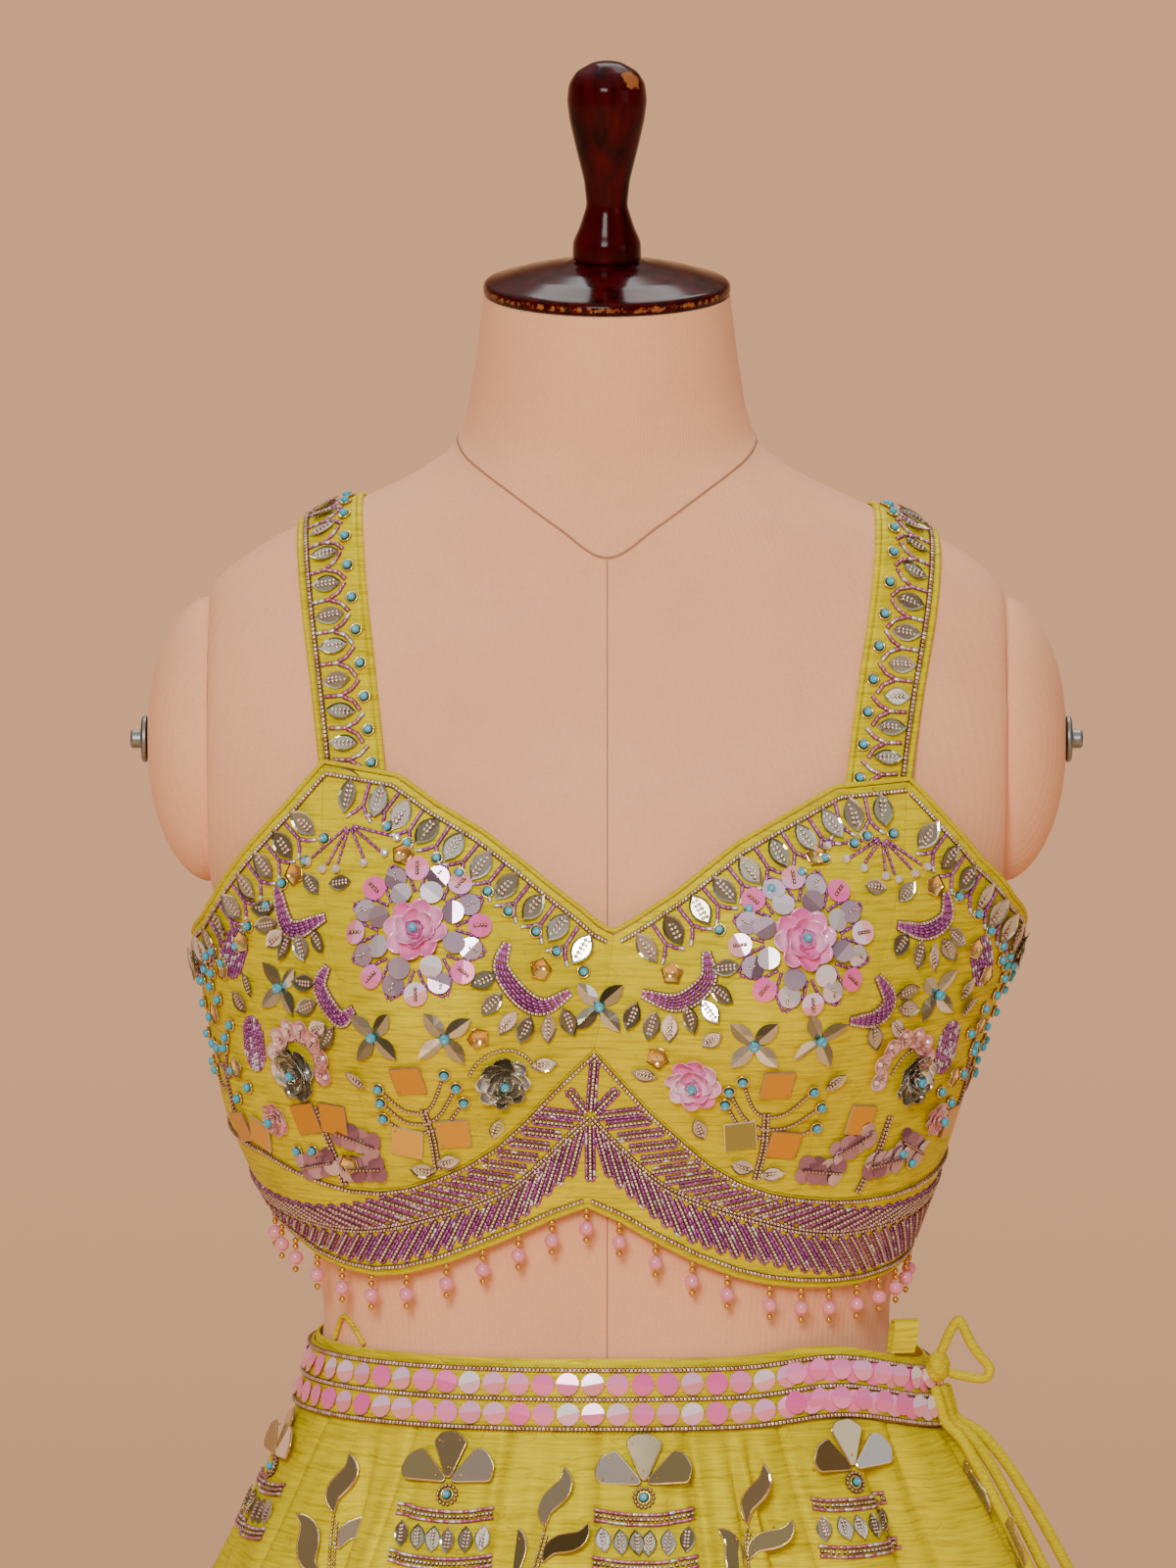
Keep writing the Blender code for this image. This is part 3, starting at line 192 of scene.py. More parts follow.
# Soft creases down from the belt: where, how wide, how deep, and how far down they are deepest and end.
Crease = namedtuple("Crease", "angle width depth drift deepest")
CREASES = [Crease(*row) for row in [
    (-44.5, 1.3, 0.0012, 0.5, 0.035), (-28, 1.6, 0.0009, -1, 0.03), (-9, 1.7, 0.0008, 1.5, 0.045),
    (-4.5, 1.2, 0.0007, 0.5, 0.03), (14.5, 1.8, 0.001, 2.5, 0.045), (19, 1.2, 0.0012, 1, 0.035),
    (25.5, 2, 0.0018, -3, 0.06), (29.5, 1.3, 0.001, 1.5, 0.04), (36, 1.5, 0.0013, 2, 0.05),
    (44.5, 1.3, 0.0014, 1, 0.045), (60, 1.3, 0.0062, -1, 0.05), (65.5, 1.2, 0.0016, -1, 0.045),
    (77, 1.6, 0.0018, 1, 0.05), (90, 1.4, 0.0015, -1, 0.045), (104, 1.6, 0.0014, 1, 0.05),
    (124, 1.5, 0.0011, -1.5, 0.045), (141, 1.7, 0.0013, 1, 0.055), (158, 1.4, 0.001, 1.5, 0.04),
    (176, 1.7, 0.0013, -1, 0.05), (-160, 1.5, 0.0012, 1, 0.045), (-142, 1.6, 0.001, -1.5, 0.05),
    (-124, 1.4, 0.0012, 1, 0.04), (-103, 1.6, 0.0014, 1, 0.055), (-84, 1.5, 0.0015, -1, 0.045),
    (-71, 1.3, 0.0014, 1, 0.04), (-61, 1.6, 0.0016, -1, 0.05), (31, 1.2, 0.0034, -2.5, 0.04),
    (36, 1.4, 0.004, -2, 0.05), (78.5, 1.5, 0.0038, -1, 0.05), (-57, 1.5, 0.004, 1.5, 0.05),
    (-52, 2.8, 0.003, -1.5, 0.08), (-66, 3, 0.0034, -1, 0.07), (7, 2.8, 0.0018, 1.5, 0.09),
    (-17, 2.6, 0.0018, -1.5, 0.085), (98, 3, 0.0034, 1, 0.07), (148, 2.8, 0.0028, -1, 0.075),
    (-150, 2.8, 0.0028, 1, 0.07), (-112, 3, 0.003, 1, 0.075),
]]

Cut = namedtuple("Cut", "width length area rests_on", defaults=("form_cover_cloth",))
CUTS = {
    "choli_cup_left_cloth": Cut(0.128, 0.180, 0.0153),
    "choli_cup_right_cloth": Cut(0.136, 0.176, 0.0149),
    "choli_side_left_cloth": Cut(0.140, 0.178, 0.0161),
    "choli_side_right_cloth": Cut(0.156, 0.177, 0.0182),
    "choli_back_left_cloth": Cut(0.215, 0.158, 0.0288),
    "choli_back_right_cloth": Cut(0.222, 0.162, 0.0300),
    "choli_band_front_cloth": Cut(0.400, 0.106, 0.0185),
    "placket_cloth": Cut(0.0170, 0.141, 0.0022, "choli_back_left_cloth"),
    "strap_cloth_left": Cut(0.0285, 0.400, 0.0112),
    "strap_cloth_right": Cut(0.0285, 0.400, 0.0112),
    "waistband_cloth": Cut(0.752, 0.0300, 0.0222),
    "belt_cloth": Cut(0.766, 0.0268, 0.0202, "waistband_cloth"),
}
Tail = namedtuple("Tail", "name top_angle low_angle length stand")
TAILS = [
    Tail("tie_tail_long", 83.0, 86.0, 0.36, 0.0140),
    Tail("tie_tail_middle", 79.8, 80.5, 0.30, 0.0055),
    Tail("tie_tail_short", 76.6, 73.5, 0.33, 0.0010),
]
# The ribbon loop and the cord loop of the tie: metres out and up from their foot.
RIBBON_LOOP = [
    (0.0022, 0), (0.0034, 0.0065), (0.003, 0.0115), (0.0012, 0.0136), (-0.0014, 0.0128), (-0.0026, 0.008),
    (-0.0018, 0),
]
CORD_LOOP = [
    (0.0014, 0.0064), (0.0048, 0.0145), (0.008, 0.0198), (0.01, 0.0192), (0.015, 0.0095), (0.0215, 0.0015),
    (0.0222, -0.0015), (0.0205, -0.0042), (0.015, -0.0042), (0.0056, -0.0026),
]
# Turned profiles from top to bottom: radius and height.
NECK_CAP_PROFILE = [
    (0, 0.0143), (0.016, 0.0143), (0.0172, 0.0137), (0.026, 0.0122), (0.038, 0.0095), (0.047, 0.0068),
    (0.0515, 0.0055), (0.0525, 0.0044), (0.0525, 0.0012), (0.0517, 0.0003), (0, 0.0003),
]
FINIAL_PROFILE = [
    (0, 0.0851), (0.006, 0.0842), (0.013, 0.0802), (0.0162, 0.075), (0.0169, 0.068), (0.0159, 0.06),
    (0.0134, 0.049), (0.0097, 0.034), (0.0086, 0.0235), (0.0118, 0.0135), (0.0144, 0.008), (0.0146, 0),
    (0, 0),
]
BASE_PROFILE = [
    (0, 0.025), (0.03, 0.025), (0.034, 0.0215), (0.15, 0.015), (0.182, 0.012), (0.189, 0.0085),
    (0.19, 0.005), (0.1885, 0), (0, 0),
]
BOLT_PROFILE = [
    (0, 0.007), (0.0034, 0.007), (0.004, 0.0062), (0.004, 0.0024), (0.0092, 0.0022), (0.01, 0.0014),
    (0.01, 0), (0, 0),
]


def linear(code):
    """An sRGB hex colour as linear red, green and blue."""
    value = np.array([int(code[i:i + 2], 16) for i in (0, 2, 4)]) / 255
    return tuple(np.where(value <= 0.04045, value / 12.92, ((value + 0.055) / 1.055) ** 2.4).tolist())


def solid(code):
    return (*linear(code), 1)


def colour_setting(name, description, code):
    return bpy.props.FloatVectorProperty(
        name=name, description=description, subtype="COLOR", size=3, min=0, max=1, default=linear(code))


def length_setting(name, description, metres):
    return bpy.props.FloatProperty(
        name=name, description=description, subtype="DISTANCE", unit="LENGTH", min=0, default=metres)


# Surfaces: each is a function of two parameters that takes and gives whole arrays.


def arrays(*values):
    return np.broadcast_arrays(*[np.asarray(value, float) for value in values])


def unit(vectors):
    return vectors / np.linalg.norm(vectors, axis=-1, keepdims=True)


def outward(angle):
    """The level way out at an angle from the front."""
    return np.stack([np.sin(angle), -np.cos(angle), np.zeros_like(angle)], axis=-1)


UPWARD = np.array((0.0, 0.0, 1.0))


def eased(value):
    """From zero to one, with no slope at either end."""
    share = np.clip(value, 0, 1)
    return share * share * (3 - 2 * share)


def smooth_table(rows):
    """A cubic Hermite curve through the rows of a table, against its first column."""
    values = np.array(rows, float)
    stops, columns = values[:, 0], values[:, 1:]
    slopes = np.gradient(columns, stops, axis=0)

    def at(where):
        where = np.clip(np.asarray(where, float), stops[0], stops[-1])
        i = np.clip(np.searchsorted(stops, where, side="right") - 1, 0, len(stops) - 2)
        span = (stops[i + 1] - stops[i])[..., None]
        t = (where - stops[i])[..., None] / span
        bend = span * t * (1 - t) * ((1 - t) * slopes[i] - t * slopes[i + 1])
        return columns[i] + eased(t) * (columns[i + 1] - columns[i]) + bend

    return at


def straight_table(rows, column=1):
    """A polyline through one column of a table, against its first column."""
    stops, values = np.array(rows)[:, [0, column]].T
    return lambda where: np.interp(where, stops, values)


def bump(value, middle, width):
    """A bell curve: one at the middle, and fading over the width."""
    return np.exp(-(((value - middle) / width) ** 2))


def bust_depth(bust, x, height):
    """Two bell-shaped fronts: a bell in height, with a longer rise than fall, times a bell on each side."""
    reach = np.where(height > bust.height, bust.rise, bust.fall)
    fronts = bump(x, bust.across, bust.width) + bump(x, -bust.across, bust.width)
    return bust.depth * bump(height, bust.height, reach) * fronts


def rounded_tube(sections, bust):
    """A superellipse in each section of a table, both fronts added ahead: angle and height give a point."""
    table = smooth_table(sections)

    def at(angle, height):
        angle, height = arrays(angle, height)
        half_width, front, back, square, shift_x, shift_y = np.moveaxis(table(height), -1, 0)
        across, ahead = np.sin(angle), np.cos(angle)
        depth = np.where(ahead >= 0, front, back)
        radius = (np.abs(across / half_width) ** square + np.abs(ahead / depth) ** square) ** (-1 / square)
        x = radius * across
        forward = bust_depth(bust, x, height) * np.sqrt(np.clip(ahead, 0, 1))
        return np.stack([x + shift_x, shift_y - radius * ahead - forward, height], axis=-1)

    return at


def depth_at(sections, bust, x, height):
    """The tube's front and back y at this x and height."""
    half_width, front, back, square, shift_x, shift_y = np.moveaxis(smooth_table(sections)(height), -1, 0)
    away = x - shift_x
    share = np.clip(1 - np.abs(away / half_width) ** square, 0, 1) ** (1 / square)
    ahead = front * share / np.sqrt(away**2 + (front * share) ** 2 + 1e-12)
    forward = bust_depth(bust, away, height) * np.sqrt(ahead)
    return shift_y - front * share - forward, shift_y + back * share


def directions(surface, a, b):
    """Unit vectors on a surface: along its first parameter, up it square to that, and out of it."""
    turn, climb = 1e-3, 2e-4
    along = surface(a + turn, b) - surface(a - turn, b)
    up = surface(a, b + climb) - surface(a, b - climb)
    along, out = unit(along), unit(np.cross(along, up))
    return along, np.cross(out, along), out


def lifted(surface, a, b, lift):
    """The surface's point, moved out along its normal."""
    return surface(a, b) + directions(surface, a, b)[2] * np.asarray(lift, float)[..., None]


form_surface = rounded_tube(FORM, FORM_BUST)
choli_surface = rounded_tube(CHOLI, CHOLI_BUST)
top_edge, band_edge, hem_edge = [straight_table(edge) for edge in (TOP_EDGE, BAND_EDGE, HEM_EDGE)]
left_seam, centre_seam, right_seam = [straight_table(FRONT_SEAMS, column) for column in (1, 2, 3)]
flare_table = smooth_table(FLARES)


def belt_middle(angle):
    """The belt's centre line: nearly level, bunched up and then pulled down where it is tied."""
    degrees = np.degrees(angle)
    return 1.0400 + 0.0025 * np.cos(angle) + 0.0045 * bump(degrees, 56, 13) - 0.0085 * bump(degrees, 86, 24)


def waist_point(angle, height, lift):
    """A point round the waist: out from the form by a lift and the slack where the belt is tied."""
    angle = np.asarray(angle, float)
    slack = 0.0014 + 0.0120 * bump(np.degrees(angle), 80, 24)
    return form_surface(angle, height) + outward(angle) * (slack + lift)[..., None]


def belt_face(angle, climb):
    """The belt's outer face at a distance above its centre line."""
    angle, climb = arrays(angle, climb)
    return waist_point(angle, belt_middle(angle) + climb, BELT_FACE)


def fold_depth(angle, down):
    """Folds grow as a power of the way down; tucks grow and fade; both are bells across, and drift."""
    degrees = np.degrees(angle)
    total = -0.012 * down
    for fold in FOLDS:
        apart = (degrees - fold.angle - fold.drift * down + 180) % 360 - 180
        total = total + fold.rise * down**fold.power * bump(apart, 0, fold.width)
    for tuck in TUCKS:
        apart = (degrees - tuck.angle - tuck.drift * down + 180) % 360 - 180
        growth = down / tuck.deepest * np.exp(1 - down / tuck.deepest)
        total = total + tuck.rise * growth * bump(apart, 0, tuck.width)
    return total


def skirt_surface(angle, down):
    """The skirt's outer face: the waist moved out by flare, an ellipse's share of side and end, and folds."""
    angle, down = arrays(angle, down)
    reach = np.clip(down, 0, 1)
    side, front, back = np.moveaxis(flare_table(reach), -1, 0)
    ends = np.where(np.cos(angle) >= 0, front, back)
    flare = side * np.sin(angle) ** 2 + ends * np.cos(angle) ** 2
    height = belt_middle(angle) - BELT_HALF - 0.0002
    point = (waist_point(angle, height, 0.0016)
             + outward(angle) * (flare + fold_depth(angle, reach))[..., None])
    point[..., 2] = height + (SKIRT_HEM - height) * down
    return point


def crease_depth(angle, down):
    """Troughs that start at the belt, are deepest a little below it, fade, and wander as they go."""
    degrees = np.degrees(angle)
    total = np.zeros_like(degrees)
    for row in CREASES:
        wander = row.drift * down / 0.08 + 0.4 * np.sin(down * 60 + row.angle)
        apart = (degrees - row.angle - wander + 180) % 360 - 180
        growth = (down / row.deepest) ** 0.8 * np.exp(0.8 * (1 - down / row.deepest))
        beside = 0.45 * bump(apart, 2.1 * row.width, row.width)
        total = total + row.depth * growth * (bump(apart, 0, row.width) - beside)
    return total


def skirt_face(angle, climb):
    """The skirt's outer face with its creases, going up from the hem side, so that its normal points out."""
    angle, climb = arrays(angle, climb)
    depth = crease_depth(angle, np.clip(-climb, 0, 1))
    return skirt_surface(angle, -climb) - outward(angle) * depth[..., None]


def strap_path(column, front_turn, back_turn):
    """The strap's lie: upright slices round a point inside the shoulder, to the choli low and the form above.

    The first parameter is metres across, towards +X; the second is metres up the strap and over to the back.
    """
    line = smooth_table([(row[0], row[column]) for row in STRAPS])
    span = math.radians(back_turn - front_turn)
    reach = 0.107 * span

    def inside(x, y, height):
        form_front, form_back = depth_at(FORM, FORM_BUST, x, height)
        choli_front, choli_back = depth_at(CHOLI, CHOLI_BUST, x, np.minimum(height, 1.34))
        share = eased((height - SHOULDER) / 0.045)
        front = np.minimum(form_front, share * form_front + (1 - share) * (choli_front + STRAP_TUCK))
        share = eased((height - 1.262) / 0.05)
        back = np.maximum(form_back, share * form_back + (1 - share) * (choli_back - STRAP_TUCK))
        return (smooth_table(FORM)(height)[..., 0] > np.abs(x)) & (y > front) & (y < back)

    def at(across, run):
        across, run = arrays(across, run)
        turn = math.radians(front_turn) + span * run / reach
        x = line(run / reach)[..., 0] + across
        near, far = np.zeros_like(turn), np.full_like(turn, 0.25)
        for _ in range(30):
            middle = (near + far) / 2
            within = inside(x, -middle * np.cos(turn), SHOULDER + middle * np.sin(turn))
            near, far = np.where(within, middle, near), np.where(within, far, middle)
        return np.stack([x, -near * np.cos(turn), SHOULDER + near * np.sin(turn)], axis=-1)

    return at, reach


def steady(grid, a, b):
    """A surface read off a fine grid of its own points by straight blends between them, so it is quick."""
    def at(u, v):
        u, v = arrays(u, v)
        column = np.clip((u - a[0]) / (a[-1] - a[0]) * (len(a) - 1), 0, len(a) - 1.001)
        row = np.clip((v - b[0]) / (b[-1] - b[0]) * (len(b) - 1), 0, len(b) - 1.001)
        i, j = row.astype(int), column.astype(int)
        s, t = (row - i)[..., None], (column - j)[..., None]
        low = grid[i, j] * (1 - t) + grid[i, j + 1] * t
        high = grid[i + 1, j] * (1 - t) + grid[i + 1, j + 1] * t
        return low * (1 - s) + high * s

    return at


# Meshes.


def piece_from(name, points, face_sets, finish, nodes=(), smooth=True, uv=None, values=None,
               sharp=None):
    """A piece that rides on the root body. face_sets is a list of arrays, one for each number of corners."""
    mesh = bpy.data.meshes.new(name)
    points = np.asarray(points, np.float32).reshape(-1, 3)
    mesh.vertices.add(len(points))
    mesh.vertices.foreach_set("co", points.ravel())
    corners = np.concatenate([faces.ravel() for faces in face_sets]).astype(np.int32)
    sizes = np.concatenate([np.full(len(faces), faces.shape[1]) for faces in face_sets])
    mesh.loops.add(len(corners))
    mesh.loops.foreach_set("vertex_index", corners)
    mesh.polygons.add(len(sizes))
    mesh.polygons.foreach_set("loop_start", (np.cumsum(sizes) - sizes).astype(np.int32))
    mesh.polygons.foreach_set("use_smooth", np.full(len(sizes), smooth))
    if uv is not None:
        mesh.uv_layers.new(name="cloth").data.foreach_set("uv", np.asarray(uv, np.float32).ravel())
    for key, (domain, data) in (values or {}).items():
        mesh.attributes.new(key, "FLOAT", domain).data.foreach_set("value", np.asarray(data, np.float32))
    mesh.update(calc_edges=True)
    mesh.materials.append(finish_from(finish, FINISHES[finish]))
    if sharp:
        mesh.set_sharp_from_angle(angle=math.radians(sharp))
    piece = bpy.data.objects.new(name, mesh)
    bpy.context.scene.collection.objects.link(piece)
    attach(piece, "root")
    if nodes:
        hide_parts(*nodes)
    return piece


def grid_faces(rows, columns, ring=False, loop=False):
    """Quads of a grid that face along first x second parameter; ring closes its columns, loop its rows."""
    row, column = np.meshgrid(np.arange(rows if loop else rows - 1),
                              np.arange(columns if ring else columns - 1),
                              indexing="ij")
    below, above, after = row * columns, (row + 1) % rows * columns, (column + 1) % columns
    return np.stack([below + column, below + after, above + after, above + column], axis=-1).reshape(-1, 4)


def flat_ends(rows, sides):
    """One face over each end of a tube."""
    side = np.arange(sides)
    return np.stack([side[::-1], (rows - 1) * sides + side])


def pointed_ends(count, sides):
    """Triangles from a tube's two ends, of this many points, to the next two points, its low and high one."""
    side = np.arange(sides)
    after, top = (side + 1) % sides, count - sides
    return np.concatenate([np.stack([np.full(sides, count), after, side], axis=1),
                           np.stack([top + side, top + after, np.full(sides, count + 1)], axis=1)])


def sheet_piece(name, outer, inner, slot, nodes=(), ring=False):
    """A wall of silk between two grids of points, closed round its edges."""
    rows, columns = outer.shape[:2]
    half, last = rows * columns, (rows - 1) * columns
    quads = grid_faces(rows, columns, ring)
    across = np.arange(columns if ring else columns - 1)
    after = (across + 1) % columns
    rims = [(after, across), (last + across, last + after)]
    if not ring:
        up = np.arange(rows - 1) * columns
        end = up + columns - 1
        rims += [(up, up + columns), (end + columns, end)]
    rims = [np.stack([a, b, half + b, half + a], axis=1) for a, b in rims]
    faces = np.concatenate([quads, half + quads[:, ::-1], *rims])
    piece = piece_from(name, np.stack([outer, inner]), [faces], "raw_silk", nodes, sharp=50)
    if name in CUTS:
        cut = CUTS[name]
    return piece


def tube_points(path, radius, sides, ring=False):
    """Rings round a path, carried along it with the least twist."""
    ahead = unit(np.roll(path, -1, axis=0) - np.roll(path, 1, axis=0) if ring else np.gradient(path, axis=0))
    side = np.zeros_like(path)
    side[0] = unit(np.cross(ahead[0], (0, 0, 1) if abs(ahead[0][2]) < 0.9 else (1, 0, 0)))
    for i in range(1, len(path)):
        side[i] = unit(side[i - 1] - ahead[i] * (side[i - 1] @ ahead[i]))
    around = np.arange(sides) * 2 * math.pi / sides
    spokes = (side[:, None] * np.cos(around)[:, None]
              + np.cross(ahead, side)[:, None] * np.sin(around)[:, None])
    return path[:, None] + np.broadcast_to(radius, len(path))[:, None, None] * spokes


def tube_piece(name, path, radius, finish, nodes=(), ring=False, sides=12):
    """A round cord along a path, with rounded ends unless it is a ring."""
    sizes = radius
    if not ring:
        start, end = unit(path[0] - path[1]) * radius / 2, unit(path[-1] - path[-2]) * radius / 2
        path = np.concatenate([[path[0] + start], path, [path[-1] + end]])
        sizes = np.full(len(path), radius)
        sizes[[0, -1]] *= 0.6
    sets = [grid_faces(len(path), sides, ring=True, loop=ring)]
    if not ring:
        sets.append(flat_ends(len(path), sides))
    return piece_from(name, tube_points(path, sizes, sides, ring), sets, finish, nodes)


def round_piece(name, grid, finish, nodes, wear=None):
    """A round solid from rings of points; its first ring's points are all one, and so are its last ring's."""
    rows, sides = grid.shape[:2]
    points = np.concatenate([grid[1:-1].reshape(-1, 3), grid[[0, -1], 0]])
    sets = [grid_faces(rows - 2, sides, ring=True), pointed_ends(len(points) - 2, sides)]
    values = {"wear": ("POINT", wear(points))} if wear else None
    return piece_from(name, points, sets, finish, nodes, values=values)


def turned_piece(name, node, profile, step, passes, finish, sides, place, tilt_x=0.0, tilt_y=0.0,
                 wear=None):
    """A profile of radius and height, from top to bottom, turned round its tilted axis and set at a place.

    It has even steps along it, and its corners are eased by averaging neighbours.
    """
    rows = np.array(profile, float)
    run = np.concatenate([[0], np.cumsum(np.linalg.norm(np.diff(rows, axis=0), axis=1))])
    at = np.linspace(0, run[-1], int(run[-1] / step) + 2)
    fine = np.stack([np.interp(at, run, rows[:, k]) for k in (0, 1)], axis=1)
    for _ in range(passes):
        fine[1:-1] = (fine[:-2] + 2 * fine[1:-1] + fine[2:]) / 4
    radius, height = fine[::-1, :, None].swapaxes(0, 1)
    around = np.arange(sides) * 2 * math.pi / sides
    grid = np.stack(arrays(radius * np.cos(around), radius * np.sin(around), height), axis=-1)
    cx, sx, cy, sy = math.cos(tilt_x), math.sin(tilt_x), math.cos(tilt_y), math.sin(tilt_y)
    about_x = np.array([[1, 0, 0], [0, cx, -sx], [0, sx, cx]])
    about_y = np.array([[cy, 0, sy], [0, 1, 0], [-sy, 0, cy]])
    round_piece(name, grid @ (about_y @ about_x).T + np.asarray(place), finish, [node], wear)


# Beads and sequins: small shapes that are stamped many times. Their sizes are in mm.

Shape = namedtuple("Shape", "points faces shade")


def turned_shape(rows, sides, threaded=False):
    """A bead: rings at radius, height and, where it isn't zero, shade; its ends are at radius zero.

    A threaded one has its axis along x. All but its top faces take the shade colours: painted shade, as from a
    light above.
    """
    radius, height, shade = np.array([(*row, 0)[:3] for row in rows], float).T[..., None]
    around = np.arange(sides) * 2 * math.pi / sides
    rings = np.stack(arrays(radius * np.cos(around), radius * np.sin(around), height), axis=-1)
    points = np.concatenate([rings[1:-1].reshape(-1, 3), rings[[0, -1], 0]])
    faces = [pointed_ends(len(points) - 2, sides), grid_faces(len(rows) - 2, sides, ring=True)]
    shades = [np.repeat(shade[[0, -1]], sides), np.repeat((shade[1:-2] + shade[2:-1]) / 2, sides)]
    if threaded:
        points = points[:, [2, 0, 1]]
        # Painted shade: the ends and all but the upward side faces take the shade colours.
        shades = [np.ones(2 * sides), np.where(np.sin(around + math.pi / sides) > 0.6, 0.0, 1.0)]
    return Shape(points * MM, faces, shades)


def dished_shape(sides, reach, rise, rings=(0.55, 1.0)):
    """A sequin: reach gives its radius at an angle, and rise its height at a share of that."""
    around = np.arange(sides) * 2 * math.pi / sides
    share = np.array(rings)[:, None]
    radius = reach(around) * share
    discs = np.stack(arrays(radius * np.cos(around), radius * np.sin(around), rise(share, around)), axis=-1)
    rim = discs[-1] - (0, 0, 0.3)
    side = np.arange(sides)
    fan = np.stack([np.zeros(sides, int), 1 + side, 1 + (side + 1) % sides], axis=1)
    quads = 1 + grid_faces(len(rings) + 1, sides, ring=True)[:, [0, 3, 2, 1]]
    floor = (1 + len(rings) * sides + side[::-1])[None]
    # The faces on one side of each sequin's crease take the shade colours: painted light on that half, darker
    # on most finishes and paler on the pink ones.
    half = (np.sin(around + math.pi / sides) > 0).astype(float)
    points = np.concatenate([[(0, 0, rise(0.0, 0.0))], discs.reshape(-1, 3), rim])
    return Shape(points * MM, [fan, quads, floor], [half, np.tile(half, len(rings)), np.zeros(1)])


def plate_shape(outline, thick, bevel):
    """A cut piece of mirror: a flat top inside a bevelled rim, over its own outline."""
    count = len(outline)
    edge = np.roll(outline, -1, axis=0) - np.roll(outline, 1, axis=0)
    inward = unit(np.stack([-edge[:, 1], edge[:, 0]], axis=1))
    points = [np.column_stack([flat, np.full(count, height)]) for flat, height in (
        (outline + inward * bevel, thick), (outline, thick - bevel * 0.6), (outline, 0.1))]
    side = np.arange(count)
    rims = grid_faces(3, count, ring=True)[:, [1, 0, 3, 2]]
    tops = np.stack([side, 2 * count + side[::-1]])
    return Shape(np.concatenate(points) * MM, [tops, rims], [np.zeros(2), np.ones(2 * count)])


def wire_shape(outline, radius, height):
    """A wire round an outline."""
    path = np.column_stack([outline, np.full(len(outline), height)])
    quads = grid_faces(len(path), 4, ring=True, loop=True)
    return Shape(tube_points(path, radius, 4, ring=True).reshape(-1, 3) * MM, [quads], [np.zeros(len(quads))])


def pointed(length, width):
    """The reach of a pointed oval, y = w (1 - (x / l)^2), solved along each angle."""
    def reach(angle):
        c, s = np.maximum(np.abs(np.cos(angle)), 1e-6), np.abs(np.sin(angle))
        return (-s + np.sqrt(s**2 + 4 * width**2 * c**2 / length**2)) * length**2 / (2 * width * c**2)
    return reach


def leaf_outline(length, width, sway):
    """An S-shaped leaf: a half sine of width either side of a sine centre line."""
    t = np.linspace(0, 1, 14)
    middle = np.stack([t * length, sway * np.sin(2 * math.pi * t)], axis=1)
    ahead = unit(np.gradient(middle, axis=0))
    half = np.stack([-ahead[:, 1], ahead[:, 0]], axis=1) * (width / 2 * np.sin(math.pi * t) ** 0.75)[:, None]
    return np.concatenate([(middle - half)[:-1], (middle + half)[:0:-1]])


def rounded_outline(corners, radius):
    """A polygon with rounded corners, as a quadratic curve across each one."""
    corners = np.array(corners, float)
    points = []
    for corner, before, after in zip(corners, np.roll(corners, 1, axis=0), np.roll(corners, -1, axis=0)):
        start, end = [corner + way * min(radius / np.linalg.norm(way), 0.42)
                      for way in (before - corner, after - corner)]
        points += [(1 - t) ** 2 * start + 2 * t * (1 - t) * corner + t**2 * end for t in (0, 0.5, 1)]
    return np.array(points)


SQUARE = rounded_outline([(-6.8, -6.8), (6.8, -6.8), (6.8, 6.8), (-6.8, 6.8)], 0.7)
FAN = rounded_outline([(2.0, -1.1), (17.5, -8.0), (21.8, -2.6), (21.4, 4.6), (17.8, 7.6), (2.0, 1.1)], 1.6)
LEAF = leaf_outline(26.0, 8.4, 2.6)
ROUND = dished_shape(14, lambda a: 4.9, lambda s, a: 1.05 - 0.55 * s * np.abs(np.sin(a)))
PETAL = dished_shape(14, lambda a: 6.0 + 0.35 * np.sin(3 * a + 1),
                     lambda s, a: 0.5 + 1.5 * s**2 + 0.35 * s * np.sin(4 * a), rings=(0.4, 0.75, 1.0))
BUGLE = turned_shape([(0, -1.36), (0.74, -1.24), (0.74, 1.24), (0, 1.36)], 6, threaded=True)
